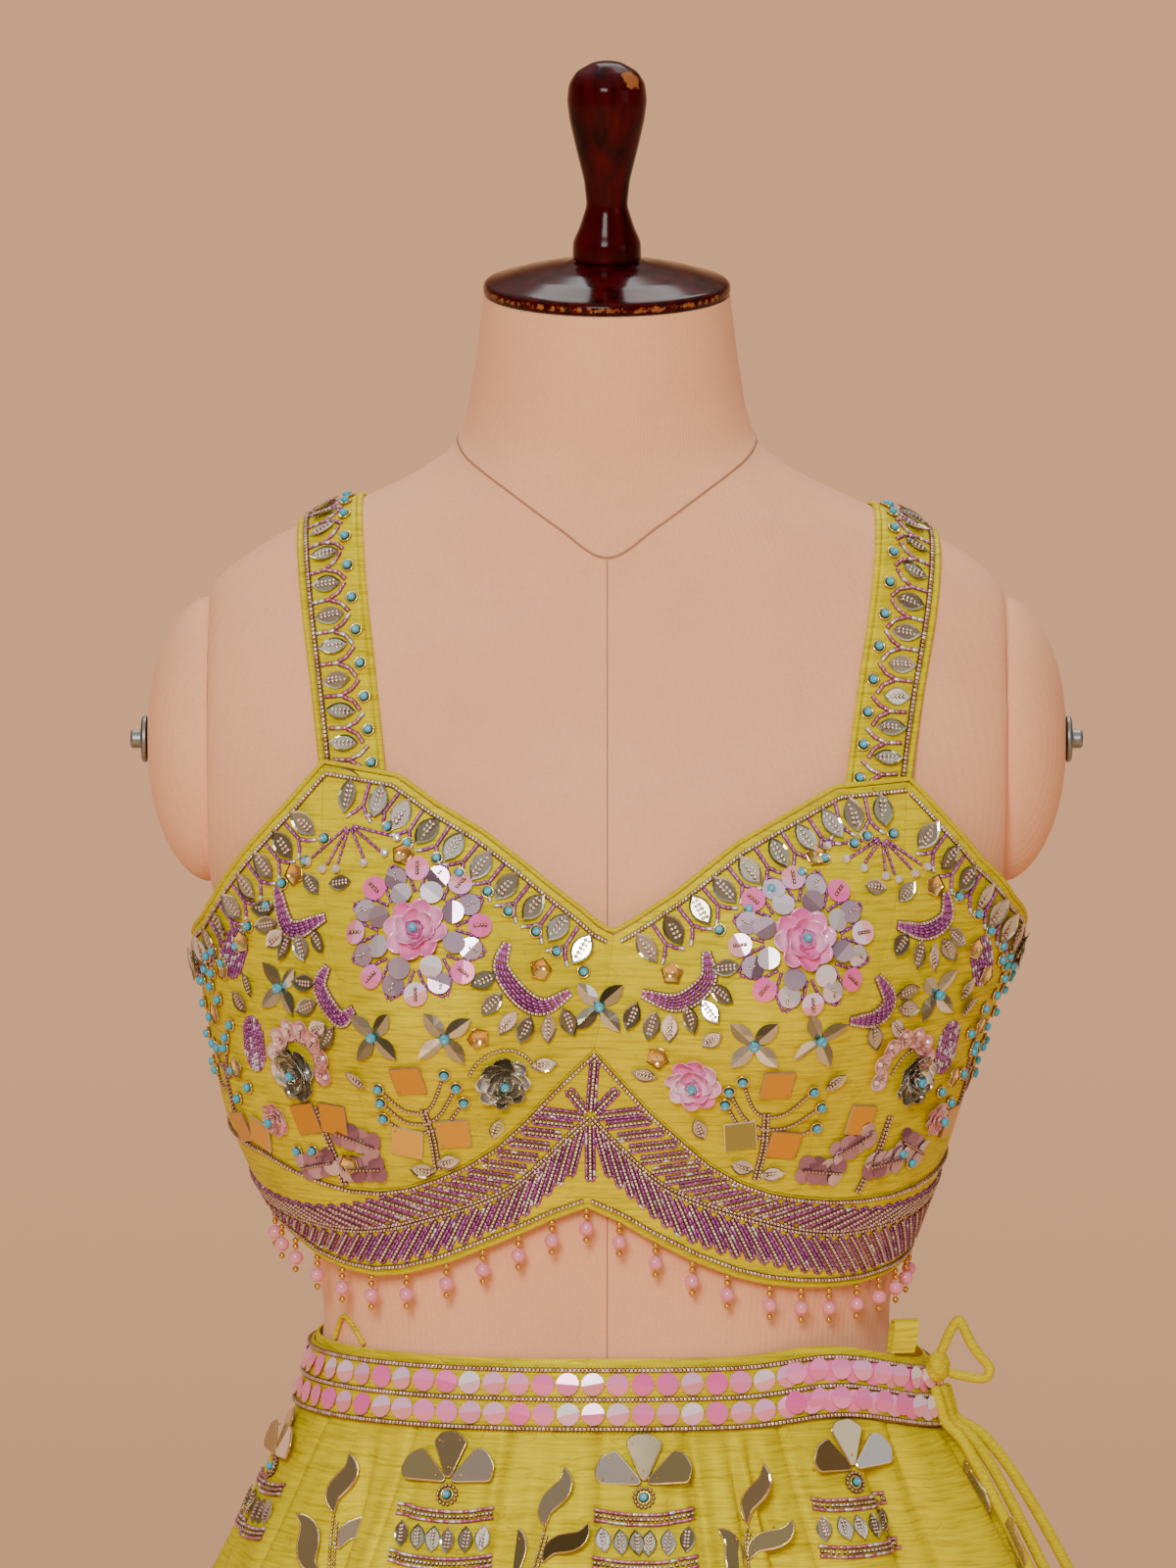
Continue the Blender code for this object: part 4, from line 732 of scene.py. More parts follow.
SHAPES = {
    "seed": turned_shape([(0, -0.72), (0.74, -0.5), (0.74, 0.5), (0, 0.72)], 6, threaded=True),
    "bugle": BUGLE, "pink_bugle": BUGLE,
    # The thread hole's faces carry shade 1: the hole is painted dark as shade.
    "turquoise": turned_shape([(0, 0.2), (1.5, 0.3), (1.95, 0.9), (1.95, 2.2), (1.6, 2.7), (0.8, 2.9),
                               (0.6, 2.3, 1), (0, 2.2, 1)], 10),
    # The cup's underside, outer wall and hollow carry shade: painted shade, leaving the top of its rim bright.
    "gold_cup": turned_shape([(0, 0, 1), (2.3, 0, 1), (2.95, 0.7, 1), (2.9, 1.3), (2.35, 1.3),
                              (1.9, 0.7, 0.5), (0, 0.5, 1)], 12),
    "faceted": turned_shape([(0, 0.1), (1.3, 0.3), (1.9, 1.5), (1.3, 2.8), (0, 3.1)], 8),
    "marquise": dished_shape(12, pointed(5.7, 3.3), lambda s, a: 0.4 + 1.1 * s**2),
    "mirror_petal": dished_shape(12, pointed(6.2, 3.1),
                                 lambda s, a: 1.4 - 0.75 * s * np.abs(np.sin(a)) - 0.3 * s),
    "silver_round": ROUND, "pink_round": ROUND, "mauve_round": ROUND,
    "petal": PETAL, "dark_petal": PETAL, "salmon_petal": PETAL,
    "gold_flower": dished_shape(15, lambda a: 3.8 + 0.55 * np.cos(5 * a), lambda s, a: 0.5 + 1.6 * s**2),
    "square": plate_shape(SQUARE, 1.1, 0.35),
    "fan": plate_shape(FAN, 1.2, 0.3), "fan_wire": wire_shape(FAN, 0.42, 0.7),
    "leaf": plate_shape(LEAF, 1.1, 0.4), "leaf_wire": wire_shape(LEAF, 0.40, 0.7),
    "stud": turned_shape([(0, 0.9), (0.5, 0.95), (0.55, 1.3), (0, 1.5)], 6),
    "pearl": turned_shape([(0, -3.2), (1.9, -2.6), (3.05, -1), (3.05, 1), (1.9, 2.6), (0, 3.2)], 12),
    "small": turned_shape([(0, -1.1), (0.9, -0.75), (1.25, 0), (0.9, 0.75), (0, 1.1)], 8),
}


def spread(seed, count, low=0.0, high=1.0):
    """Uneven numbers that are the same on each run."""
    return np.random.default_rng(seed).uniform(low, high, count)


def places(a, b, heading=0.0, lift=0.0, pitch=0.0, roll=0.0, size=1.0, width=1.0, tone=0.5):
    """A row for each bead: where on a surface it is, how it lies and tilts, its size and its colour's tone."""
    return np.stack([part.ravel() for part in arrays(a, b, heading, lift, pitch, roll, size, width, tone)],
                    axis=1)


def shaded(rows, seed, low, high):
    """Rows of beads with uneven tones."""
    rows[:, TONE] = spread(seed, len(rows), low, high)
    return rows


def chart(surface, a0, b0, u, v):
    """Walk from a place on a surface by metres along it (u) and up it (v), in short steps."""
    u, v, a, b = arrays(u, v, a0, b0)
    steps = 5
    for _ in range(steps):
        along = (surface(a + 1e-3, b) - surface(a - 1e-3, b)) / 2e-3
        up = (surface(a, b + 2e-4) - surface(a, b - 2e-4)) / 4e-4
        wide = np.linalg.norm(along, axis=-1)
        lean = np.sum(up * along, axis=-1) / wide
        climb = v / steps / np.sqrt(np.maximum(np.sum(up * up, axis=-1) - lean**2, 1e-9))
        a, b = a + (u / steps - climb * lean) / wide, b + climb
    return a, b


def smooth_line(stops, steps=14):
    """A cubic curve through stops, as an array of places."""
    table = smooth_table(np.column_stack([np.arange(len(stops)), stops]))
    return table(np.linspace(0, len(stops) - 1, (len(stops) - 1) * steps + 1))


def even_places(line, path, pitch, near, phase=0.5):
    """A line's places at even steps along its path's length, and those a little ahead of and behind each."""
    run = np.concatenate([[0], np.cumsum(np.linalg.norm(np.diff(path, axis=0), axis=1))])
    count = max(1, int(round(run[-1] / pitch)))
    at = (np.arange(count) + phase) / count * run[-1]
    return [[np.interp(at + shift, run, column) for column in line.T] for shift in (0, near, -near)]


def threaded(surface, line, pitch, phase=0.5, **more):
    """Beads at even steps of length along a line of places on a surface, each lying along it."""
    place, ahead, behind = even_places(line, surface(*line.T), pitch, 0.4 * pitch, phase)
    step = surface(*ahead) - surface(*behind)
    along, up, _ = directions(surface, *place)
    return places(*place, np.arctan2(np.sum(step * up, axis=-1), np.sum(step * along, axis=-1)), **more)


def flat_line(stops, pitch, **more):
    """Beads at even steps along a flat line, in mm."""
    line = np.array(stops, float)
    place, ahead, behind = even_places(line, line, pitch, 0.3)
    return places(*place, np.arctan2(ahead[1] - behind[1], ahead[0] - behind[0]), **more)


def beside(surface, line, away):
    """A line of places moved sideways, to its left, by metres."""
    step = np.gradient(surface(*line.T), axis=0)
    along, up, _ = directions(surface, *line.T)
    u, v = np.sum(step * along, axis=-1), np.sum(step * up, axis=-1)
    size = np.hypot(u, v)
    return np.stack(chart(surface, *line.T, -v / size * away, u / size * away), axis=1)


def in_radians(rows):
    """A table of degrees and heights as places."""
    return np.array(rows, float).reshape(-1, 2) * (math.pi / 180, 1)


def merge(*motifs):
    rows = defaultdict(list)
    for motif in motifs:
        for kind, more in motif.items():
            rows[kind].append(np.atleast_2d(more))
    return {kind: np.concatenate(more) for kind, more in rows.items()}


def moved(motif, x, y, turn=0.0, scale=1.0):
    """A motif turned and set at another place in its plane."""
    c, s = math.cos(turn), math.sin(turn)
    made = {}
    for kind, rows in motif.items():
        rows = made[kind] = np.array(rows, float)
        rows[:, [0, 1]] = rows[:, [0, 1]] * scale @ np.array([[c, s], [-s, c]]) + (x, y)
        rows[:, 2] += turn
        rows[:, SIZE] *= scale
    return made


def spun(motif, turn):
    return moved(motif, 0, 0, turn)


class Work:
    """Beadwork gathered by kind, each with the surface it lies on, then stamped as one mesh for each kind."""

    def __init__(self):
        self.rows = defaultdict(list)

    def lay(self, kind, rows, surface=choli_surface):
        self.rows[kind].append((surface, np.atleast_2d(rows)))

    def lay_motif(self, a, b, turn, motif, scale=1.0, surface=choli_surface):
        """Lay a flat motif, in mm, round a place on a surface."""
        for kind, rows in moved(motif, 0, 0, turn, scale).items():
            rows[:, 0], rows[:, 1] = chart(surface, a, b, rows[:, 0] * MM, rows[:, 1] * MM)
            self.lay(kind, rows, surface)

    def lay_at(self, degrees, height, motif, heading=0.0, scale=1.0):
        """Lay a motif at a place on the choli; its heading is in degrees too."""
        self.lay_motif(math.radians(degrees), height, math.radians(heading), motif, scale)

    def stamp(self, kind, name):
        """Every bead's points are its place plus the shape's x, y and z along its own three directions."""
        shape = SHAPES[kind]
        spots, frames, tones = [], [], []
        for surface, rows in self.rows[kind]:
            a, b = rows.T[:2]
            heading, lift, pitch, roll, size, width = rows.T[2:TONE, :, None]
            along, up, out = directions(surface, a, b)
            x = along * np.cos(heading) + up * np.sin(heading)
            y = up * np.cos(heading) - along * np.sin(heading)
            x, z = x * np.cos(pitch) + out * np.sin(pitch), out * np.cos(pitch) - x * np.sin(pitch)
            y, z = y * np.cos(roll) + z * np.sin(roll), z * np.cos(roll) - y * np.sin(roll)
            spots.append(surface(a, b) + out * lift)
            frames.append(np.stack([x * size, y * (size * width), z * size], axis=1))
            tones.append(rows[:, TONE])
        spots, frames, tones = np.concatenate(spots), np.concatenate(frames), np.concatenate(tones)
        points = spots[:, None] + np.einsum("vk,nkd->nvd", shape.points, frames)
        starts = np.arange(len(spots))[:, None, None] * len(shape.points)
        sets = [(faces + starts).reshape(-1, faces.shape[1]) for faces in shape.faces]
        shade = np.concatenate([np.tile(values, len(spots)) for values in shape.shade])
        tone = np.concatenate([np.repeat(tones, len(faces)) for faces in shape.faces])
        piece_from(name, points, sets, BEADS[kind], REPLACED.get(name, ()), kind not in FLAT_SHADED,
                   values={"tone": ("FACE", tone), "shade": ("FACE", shade)})


# Finishes.


def add_node(tree, kind, inputs=None, stops=(), **settings):
    """A node with its settings; inputs give sockets a value or another node's output; stops fill a ramp."""
    made = tree.nodes.new(kind)
    for key, value in settings.items():
        setattr(made, key, value)
    for socket, value in (inputs or {}).items():
        if isinstance(value, bpy.types.NodeSocket):
            tree.links.new(value, made.inputs[socket])
        else:
            made.inputs[socket].default_value = value
    if stops:
        ramp = made.color_ramp.elements
        while len(ramp) < len(stops):
            ramp.new(0.5)
        for element, (position, colour) in zip(ramp, stops):
            element.position = position
            element.color = solid(colour) if isinstance(colour, str) else (*colour, 1)
    return made


def finish_from(name, build):
    """The finish of this name, built once: the function fills its node tree and gives the shader's inputs."""
    if name in bpy.data.materials:
        return bpy.data.materials[name]
    material = bpy.data.materials.new(name)
    material.use_nodes = True
    tree = material.node_tree
    tree.nodes.clear()
    shader = add_node(tree, "ShaderNodeBsdfPrincipled", build(tree))
    add_node(tree, "ShaderNodeOutputMaterial", {"Surface": shader.outputs[0]})
    return material


def object_place(tree):
    return add_node(tree, "ShaderNodeTexCoord").outputs["Object"]


def attribute(tree, name):
    return add_node(tree, "ShaderNodeAttribute", attribute_name=name).outputs["Fac"]


def noise(tree, place, scale, detail, roughness=0.5, turn=(0, 0, 0)):
    """A noise's value; its scale, per metre, is one number or one along each of x, y and z."""
    if isinstance(scale, tuple):
        place = add_node(tree, "ShaderNodeMapping",
                         {"Vector": place, "Rotation": turn, "Scale": scale}).outputs[0]
        scale = 1.0
    return add_node(tree, "ShaderNodeTexNoise", {"Vector": place, "Scale": scale, "Detail": detail,
                                                 "Roughness": roughness}).outputs["Fac"]


def ramp(tree, value, *stops):
    return add_node(tree, "ShaderNodeValToRGB", {"Fac": value}, stops).outputs[0]


def mix(tree, share, first, second, blend="MIX"):
    return add_node(tree, "ShaderNodeMix", {"Factor": share, "A": first, "B": second}, data_type="RGBA",
                    blend_type=blend).outputs["Result"]


def ranged(tree, value, low=0.0, high=1.0, to_low=0.0, to_high=1.0):
    return add_node(tree, "ShaderNodeMapRange",
                    {"Value": value, "From Min": low, "From Max": high, "To Min": to_low,
                                                 "To Max": to_high}).outputs[0]


def maths(tree, operation, *values):
    return add_node(tree, "ShaderNodeMath", dict(enumerate(values)), operation=operation).outputs[0]


def raised(tree, height, strength, distance, **more):
    return add_node(tree, "ShaderNodeBump", {"Height": height, "Strength": strength, "Distance": distance,
                                             **more}).outputs[0]


def raw_silk(tree):
    """Dupion raw silk: plain weave with thick uneven weft threads that show as short, level, shiny slubs.

    The slubs are about 1 mm thick and 20 mm long; they lighten and darken the cloth and stand up a little.
    """
    cloth, place = bpy.context.scene.lehenga_cloth, object_place(tree)
    slubs = noise(tree, place, (55, 55, 1 / cloth.slub), 4.0, 0.62)
    warp = noise(tree, place, (900, 900, 45), 2.0)
    cloud = noise(tree, place, 17.0, 3.0)
    press = noise(tree, place, (26, 26, 105), 2.0)
    line = ranged(tree, maths(tree, "ABSOLUTE", maths(tree, "SUBTRACT", press, 0.5)), high=0.016)
    colour = ramp(tree, slubs, (0.30, cloth.silk_dark), (0.50, cloth.silk), (0.72, cloth.silk_light))
    colour = mix(tree, 1.0, colour, ramp(tree, cloud, (0.35, "F0F0EA"), (0.65, "FFFFFF")), "MULTIPLY")
    # Painted shade: the cloth is darkened a little along its pressed crinkle lines, which are bumped too.
    colour = mix(tree, 1.0, colour, ranged(tree, line, to_low=0.93), "MULTIPLY")
    weave = raised(tree, maths(tree, "ADD", slubs, warp), 0.4, 0.00025)
    return {"Base Color": colour, "Roughness": 0.5, "IOR": 1.5, "Specular IOR Level": 0.15, "Metallic": 0.08,
            "Specular Tint": solid("FFEE3C"), "Normal": raised(tree, line, 0.4, 0.0005, Normal=weave)}


def silk_cord(tree):
    """The same silk cut on the bias and rolled round a cord: fine slanting threads, a little darker."""
    cloth = bpy.context.scene.lehenga_cloth
    threads = noise(tree, object_place(tree), (420, 420, 2200), 3.0, turn=(0.7, 0.5, 0.2))
    return {"Base Color": ramp(tree, threads, (0.3, cloth.silk_dark), (0.65, cloth.silk)), "Roughness": 0.48,
            "IOR": 1.5, "Specular IOR Level": 0.3, "Specular Tint": solid("FFEE3C"),
            "Normal": raised(tree, threads, 0.25, 0.0002)}


def knit_cover(tree):
    """Cotton jersey stretched over the form: fine upright ribs, matt, with faint grey smudges from handling.

    The ribs are about 1.5 mm apart, a little coarser than real ones so that they show.
    """
    form, place = bpy.context.scene.lehenga_form, object_place(tree)
    spot = add_node(tree, "ShaderNodeUVMap", uv_map="cloth").outputs[0]
    ribs = add_node(tree, "ShaderNodeTexWave",
                    {"Vector": spot, "Scale": 105.0, "Distortion": 0.8, "Detail": 1.0},
                    wave_type="BANDS", bands_direction="X", wave_profile="SIN").outputs["Fac"]
    fuzz = noise(tree, place, 900.0, 2.0)
    cloud = noise(tree, place, 7.0, 4.0, 0.6)
    colour = mix(tree, 1.0, ramp(tree, cloud, (0.28, form.cover_dark), (0.62, form.cover)),
                 ramp(tree, fuzz, (0.30, "F8F4F2"), (0.62, "FFFFFF")), "MULTIPLY")
    return {"Base Color": colour, "Roughness": 0.82, "IOR": 1.46, "Sheen Weight": 0.15,
            "Sheen Roughness": 0.5, "Sheen Tint": solid("FFD8BE"), "Specular IOR Level": 0.3,
            "Normal": raised(tree, maths(tree, "ADD", ribs, fuzz), 0.35, 0.0002)}


def lacquered_wood(tree):
    """Turned rosewood under dark red lacquer: deep, glossy, faintly grained, bare brown wood where worn."""
    place = object_place(tree)
    grain = noise(tree, place, (160, 160, 22), 5.0)
    chips = noise(tree, place, 330.0, 4.0, 0.7)
    bare = ranged(tree, maths(tree, "ADD", attribute(tree, "wear"), chips), 1.02, 1.12)
    lacquer = ramp(tree, grain, (0.3, "140102"), (0.7, bpy.context.scene.lehenga_form.lacquer))
    return {"Base Color": mix(tree, bare, lacquer, solid("9A5A2C")), "IOR": 1.48, "Specular IOR Level": 0.1,
            "Roughness": ranged(tree, bare, to_low=0.14, to_high=0.6)}


def dull_steel(tree):
    """Zinc-plated steel, dulled: grey metal with a cloudy roughness."""
    cloud = noise(tree, object_place(tree), 400.0, 3.0)
    return {"Base Color": solid("8A8A88"), "Metallic": 1.0,
            "Roughness": ranged(tree, cloud, to_low=0.3, to_high=0.55)}


def black_paint(tree):
    """Cast iron and tube under black paint: satin, with a faint orange-peel surface."""
    peel = noise(tree, object_place(tree), 700.0, 2.0)
    return {"Base Color": solid("1C1B1B"), "Roughness": 0.38, "Coat Weight": 0.3,
            "Normal": raised(tree, peel, 0.2, 0.0002)}


def toned(stops, metallic, roughness, shade=None, coat=(0.0, 0.03)):
    """A bead or sequin finish: its colour goes by each one's own tone, and shade paints light and shade onto a
    part, or colours a mirror plate's rim.

    A coat is its weight and roughness.
    """
    def build(tree):
        tone = attribute(tree, "tone")
        colour = ramp(tree, tone, *stops.items())
        if shade:
            colour = mix(tree, attribute(tree, "shade"), colour, ramp(tree, tone, *shade.items()))
        return {"Base Color": colour, "Metallic": metallic, "Roughness": roughness, "Coat Weight": coat[0],
                "Coat Roughness": coat[1]}
    return build


FINISHES = {
    "raw_silk": raw_silk,
    "silk_cord": silk_cord,
    "knit_cover": knit_cover,
    # Cotton sewing thread.
    "cover_thread": lambda tree: {"Base Color": solid("B07C5E"), "Roughness": 0.8, "IOR": 1.46},
    "lacquered_wood": lacquered_wood,
    "dull_steel": dull_steel,
    "black_paint": black_paint,
    # Silver-lined and rose-lined glass seed beads: bright metal through thin glass; their shade colours are
    # painted shade on their sides and ends.
    "lined_seed_glass": toned({0: "A0704C", 0.4: "D2A886", 0.7: "F2DCC6", 1: "FFFFFF"}, 0.5, 0.15,
                              {0: "5A3226", 1: "A07260"}),
    # Dyed glass bugles with a pearl coat: purple to mauve, and some silver ones; their shade colours are
    # painted shade on their sides and ends.
    "dyed_bugle_glass": toned({0: "9A3A90", 0.45: "BC5CAE", 0.8: "D48CC8", 0.86: "ECE4F4", 1: "FFFFFF"}, 0.35,
                              0.2, {0: "6A2064", 0.8: "9A5494", 0.86: "A89AB0"}, (0.5, 0.08)),
    # Pink glass bugles of the skirt and straps; their shade colours are painted shade on their sides and ends.
    "pink_bugle_glass": toned({0: "A84466", 0.5: "CC6E8E", 0.8: "E4A4B8", 0.86: "F4E8EC", 1: "FFFFFF"}, 0.35,
                              0.2, {0: "702440", 0.8: "A25A72", 0.86: "A08890"}, (0.5, 0.08)),
    # Dyed howlite beads; the shade colour paints their thread hole dark as shade.
    "turquoise_stone": toned({0: "1690B4", 1: "3CBEDA"}, 0.0, 0.3, {0: "0E3A4A"}, (0.3, 0.03)),
    # Gilt brass findings and wire. The shade colours are painted shade on the cups' undersides and hollows,
    # and on one half of each gold flower.
    "gilt_brass": toned({0: "8E6A40", 0.3: "B88E54", 0.6: "F0B450", 1: "FFDF8C"}, 0.8, 0.18,
                        {0: "6E4A22", 1: "A8702C"}),
    # Thin gilt wire, worn pale.
    "pale_gilt": toned({0: "CCA864", 1: "F0D48C"}, 0.9, 0.22),
    # Plastic mirror film behind a smoky olive skin. Its tone, from olive to near white, is a painted
    # reflection, and its shade colours are painted shade on one half of each creased sequin.
    "smoky_sequin": toned({0: "8A8266", 0.45: "BAB498", 0.75: "DCD8C8", 1: "FCFAF6"}, 0.85, 0.14,
                          {0: "5A543C", 0.5: "8E886C", 1: "C4C0AC"}),
    # Acrylic mirror; its tone is a painted reflection: tan, brown, amber or white.
    "acrylic_mirror": toned({0: "4A3C22", 0.25: "7E6C42", 0.5: "B8A678", 0.75: "DCD2B8", 1: "FFFFFF"}, 0.85,
                            0.07, {0: "C9A56A", 1: "F4E6C8"}),
    # The same mirror dyed amber.
    "amber_mirror": toned({0: "CC8604", 0.4: "DE9E18", 0.75: "E8B640", 1: "98904A"}, 0.55, 0.1,
                          {0: "8A5A1C", 1: "F4E6C8"}),
    # Iridescent pink plastic film; its shade colours paint one half of each creased sequin paler, as painted
    # light.
    "iridescent_pink": toned({0: "FA6EAC", 0.5: "FB8AB2", 0.8: "F79C9E", 1: "FEBCD0"}, 0.12, 0.16,
                             {0: "FA62B2", 0.45: "FC8ECA", 0.8: "F2BCE4", 1: "FFFFFF"}, (0.6, 0.05)),
    # Silvered film with a mauve cast; its shade colours are painted shade on one side of its crease.
    "silver_mauve": toned({0: "AC94A4", 0.5: "D4BCCC", 1: "FFF4FA"}, 0.5, 0.14,
                          {0: "80687A", 0.5: "C4ACBE", 1: "FFFFFF"}),
    # Pearl film petals.
    "pearl_pink": toned({0: "FF5EB4", 0.5: "FF98D0", 1: "FFE0F2"}, 0.0, 0.16, coat=(0.9, 0.06)),
    "salmon_pearl": toned({0: "DA8488", 0.5: "EBA6A4", 1: "F6CFC8"}, 0.2, 0.28, coat=(0.5, 0.1)),
    # Pewter film petals.
    "pewter": toned({0: "8A836C", 0.5: "B0A890", 0.8: "D6D0C2", 1: "FFFFFF"}, 0.75, 0.14),
    # Thin mauve film, overlapped.
    "mauve_film": toned({0: "8A5D6E", 0.5: "AE8090", 1: "D9BCC4"}, 0.6, 0.2),
    # Pink quartz glass.
    "pink_glass": toned({0: "EE7A90", 1: "F9A6B4"}, 0.0, 0.1, coat=(0.6, 0.03)),
}


# Pieces of cloth.


def skirt_grid(per_kali, rows):
    """Sixteen kalis' places: columns at fixed distances beside each seam, rows closer near the waist."""
    near = np.array([0.0, 0.0007, 0.0016, 0.0040])
    middle = np.linspace(0, 1, per_kali - 2 * len(near) + 3)[1:-1]
    down = np.linspace(0, 1, rows) ** 1.5
    start, span = math.radians(KALI_START), 2 * math.pi / KALIS
    radius = np.linalg.norm(skirt_surface(start + span / 2, down)[:, :2], axis=-1)[:, None]
    left, right = near / radius, span - near[:0:-1] / radius
    inner = left[:, -1:] + (right[:, :1] - left[:, -1:]) * middle
    local = np.concatenate([left, inner, right], axis=1)
    angle = start + np.concatenate([local + span * i for i in range(KALIS)], axis=1)
    apart = np.tile(np.minimum(local, span - local) * radius, (1, KALIS))
    return angle, np.broadcast_to(down[:, None], angle.shape), apart


def build_skirt():
    """The skirt's cloth: the solids' skirt with creases, pressed seams as narrow troughs, a stitched hem."""
    cloth = bpy.context.scene.lehenga_cloth
    angle, down, apart = skirt_grid(cloth.skirt_columns, cloth.skirt_rows)
    seam = (-0.0013 * bump(apart, 0, 0.0009) - 0.0005 * bump(apart, 0, 0.0035)
            + 0.0003 * bump(apart, 0.0040, 0.0020))
    height = SKIRT_HEM + (SKIRT_TOP - SKIRT_HEM) * (1 - down)
    trough = seam - 0.0007 * bump(height, 0.058, 0.0022)
    outer = lifted(skirt_face, angle, -down, trough)[::-1]
    inner = lifted(skirt_face, angle, -down, trough - SKIRT_CLOTH)[::-1]
    nodes = [f"skirt_kali_{i + 1:02d}" for i in range(KALIS)]
    skirt = sheet_piece("skirt_cloth", outer, inner, "silk", nodes, ring=True)


def panel_cloth(name, left, right, low, high, columns, rows):
    """One piece of the choli, finer than its solid, its edges turned in a little along the seams."""
    u, v = np.meshgrid(np.linspace(0, 1, columns + 1), np.linspace(0, 1, rows + 1))
    height = np.full_like(u, 1.18)
    half_gap = math.degrees(0.00005 / CHOLI_RADIUS)
    for _ in range(12):
        a, b = left(height) + half_gap, right(height) - half_gap
        angle = a + (b - a) * u
        bottom, top = low(angle), high(angle)
        height = bottom + (top - bottom) * v
    side = np.minimum(u, 1 - u) * np.radians(b - a) * CHOLI_RADIUS
    end = np.minimum(v, 1 - v) * (top - bottom)
    ease = -0.00025 * bump(side, 0, 0.0016) - 0.0002 * bump(end, 0, 0.0016)
    faces = [lifted(choli_surface, np.radians(angle), height, ease - depth) for depth in (0, CHOLI_CLOTH)]
    sheet_piece(f"choli_{name}_cloth", *faces, "silk", [f"choli_{name}"])


def build_choli():
    """The seven panels, each between its side lines and its edges, and the hook placket at centre back."""
    upright = lambda degrees: lambda height: np.full_like(height, degrees)
    back_left, side_left, side_right, back_right = map(upright, (-180, -SIDE_SEAM, SIDE_SEAM, 180))
    above = lambda degrees: band_edge(degrees) + SEAM_HALF
    below = lambda degrees: band_edge(degrees) - SEAM_HALF
    panel_cloth("back_left", back_left, side_left, hem_edge, top_edge, 56, 40)
    panel_cloth("side_left", side_left, left_seam, above, top_edge, 44, 44)
    panel_cloth("cup_left", left_seam, centre_seam, above, top_edge, 60, 48)
    panel_cloth("cup_right", centre_seam, right_seam, above, top_edge, 60, 48)
    panel_cloth("side_right", right_seam, side_right, above, top_edge, 44, 44)
    panel_cloth("back_right", side_right, back_right, hem_edge, top_edge, 56, 40)
    panel_cloth("band_front", side_left, side_right, hem_edge, below, 190, 14)
    degrees, share = np.meshgrid(np.linspace(176.2, 183.8, 9), np.linspace(0, 1, 50))
    height = hem_edge(180) + 0.0005 + (top_edge(180) - 0.001 - hem_edge(180)) * share
    lift = 0.0016 - 0.0004 * bump(degrees, 177.4, 0.5) - 0.0004 * bump(degrees, 182.6, 0.5)
    outer, inner = [lifted(choli_surface, np.radians(degrees), height, away) for away in (lift, GAP)]
    sheet_piece("placket_cloth", outer, inner, "silk", ["choli_back_placket"])


def beside_edge(degrees, edge, away, up):
    """A path along a choli edge, square to it by a distance; up is 1 above the cloth and -1 below it."""
    turn = np.radians(degrees)
    line = lifted(choli_surface, turn, edge(degrees), -CHOLI_CLOTH / 2)
    face = choli_surface(turn, edge(degrees)) - line
    before, after = line - np.roll(line, 1, axis=0), np.roll(line, -1, axis=0) - line
    if degrees[-1] - degrees[0] < 300:
        before[0], after[-1] = after[0], before[-1]
    before, after = unit(before), unit(after)
    square = unit(np.cross(face, before + after))
    square *= np.sign(square[:, 2:]) * up
    half_bend = np.sqrt(np.clip((1 + np.sum(before * after, axis=1, keepdims=True)) / 2, 0.35, 1))
    return line + square * away / half_bend


def build_piping():
    """Rolled silk piping along the top edge all round, and under the front hem."""
    path = beside_edge(np.arange(-180, 180, 1.5), top_edge, PIPING_RADIUS + 0.0005, 1)
    tube_piece("top_piping_cord", path, 0.0011, "silk_cord", ["choli_piping"], ring=True, sides=10)
    path = beside_edge(np.linspace(-94.8, 94.8, 150), hem_edge, 0.0012, -1)
    tube_piece("hem_piping_cord", path, 0.0012, "silk_cord", sides=10)


def strap_faces():
    """For each strap its outer face, its foot, its way out and its reach, read off fine grids.

    The two parameters are metres across, towards +X, and metres up and over.
    """
    faces = []
    for column, front_turn in ((1, -5), (2, -9)):
        at, reach = strap_path(column, front_turn, 204)
        across, run = np.linspace(-0.016, 0.016, 9), np.linspace(0, reach, 150)
        u, v = np.meshgrid(across, run)
        square = unit(np.cross(at(u + 0.002, v) - at(u - 0.002, v), at(u, v + 0.001) - at(u, v - 0.001)))
        base, out = steady(at(u, v), across, run), steady(square, across, run)
        faces.append((lambda a, b, base=base, out=out: base(a, b) + STRAP_THICK * out(a, b), base, out,
                      reach))
    return faces


def build_straps():
    """Each strap: a flat band with rolled edges, a groove inside each roll."""
    for name, (_, base, out, reach) in zip(("left", "right"), strap_faces()):
        u, v = np.meshgrid(np.linspace(-0.5, 0.5, 61) * STRAP_WIDTH, np.linspace(0, reach, 90))
        edge = STRAP_WIDTH / 2 - np.abs(u)
        roll = 0.0005 * bump(edge, 0.0012, 0.0010) - 0.0007 * bump(edge, 0.0027, 0.0005)
        lift = STRAP_THICK + roll - 0.0006 * bump(edge, 0, 0.0006)
        outer = base(u, v) + out(u, v) * lift[..., None]
        inner = base(u, v) + out(u, v) * 0.0007
        sheet_piece(f"strap_cloth_{name}", outer, inner, "silk", [f"choli_strap_{name}"])


def waist_ring(name, node, slot, climbs, inner_lift, outer_lift):
    """A band round the waist, its rows at these heights over the belt's middle and its edges rounded off."""
    columns = 360
    angle = np.stack([np.arange(columns) * 2 * math.pi / columns] * len(climbs))
    height = belt_middle(angle) + np.array(climbs)[:, None]
    lift = np.full_like(angle, outer_lift)
    lift[[0, -1]] -= 0.0005
    outer, inner = waist_point(angle, height, lift), waist_point(angle, height, inner_lift)
    sheet_piece(name, outer, inner, slot, [node], ring=True)


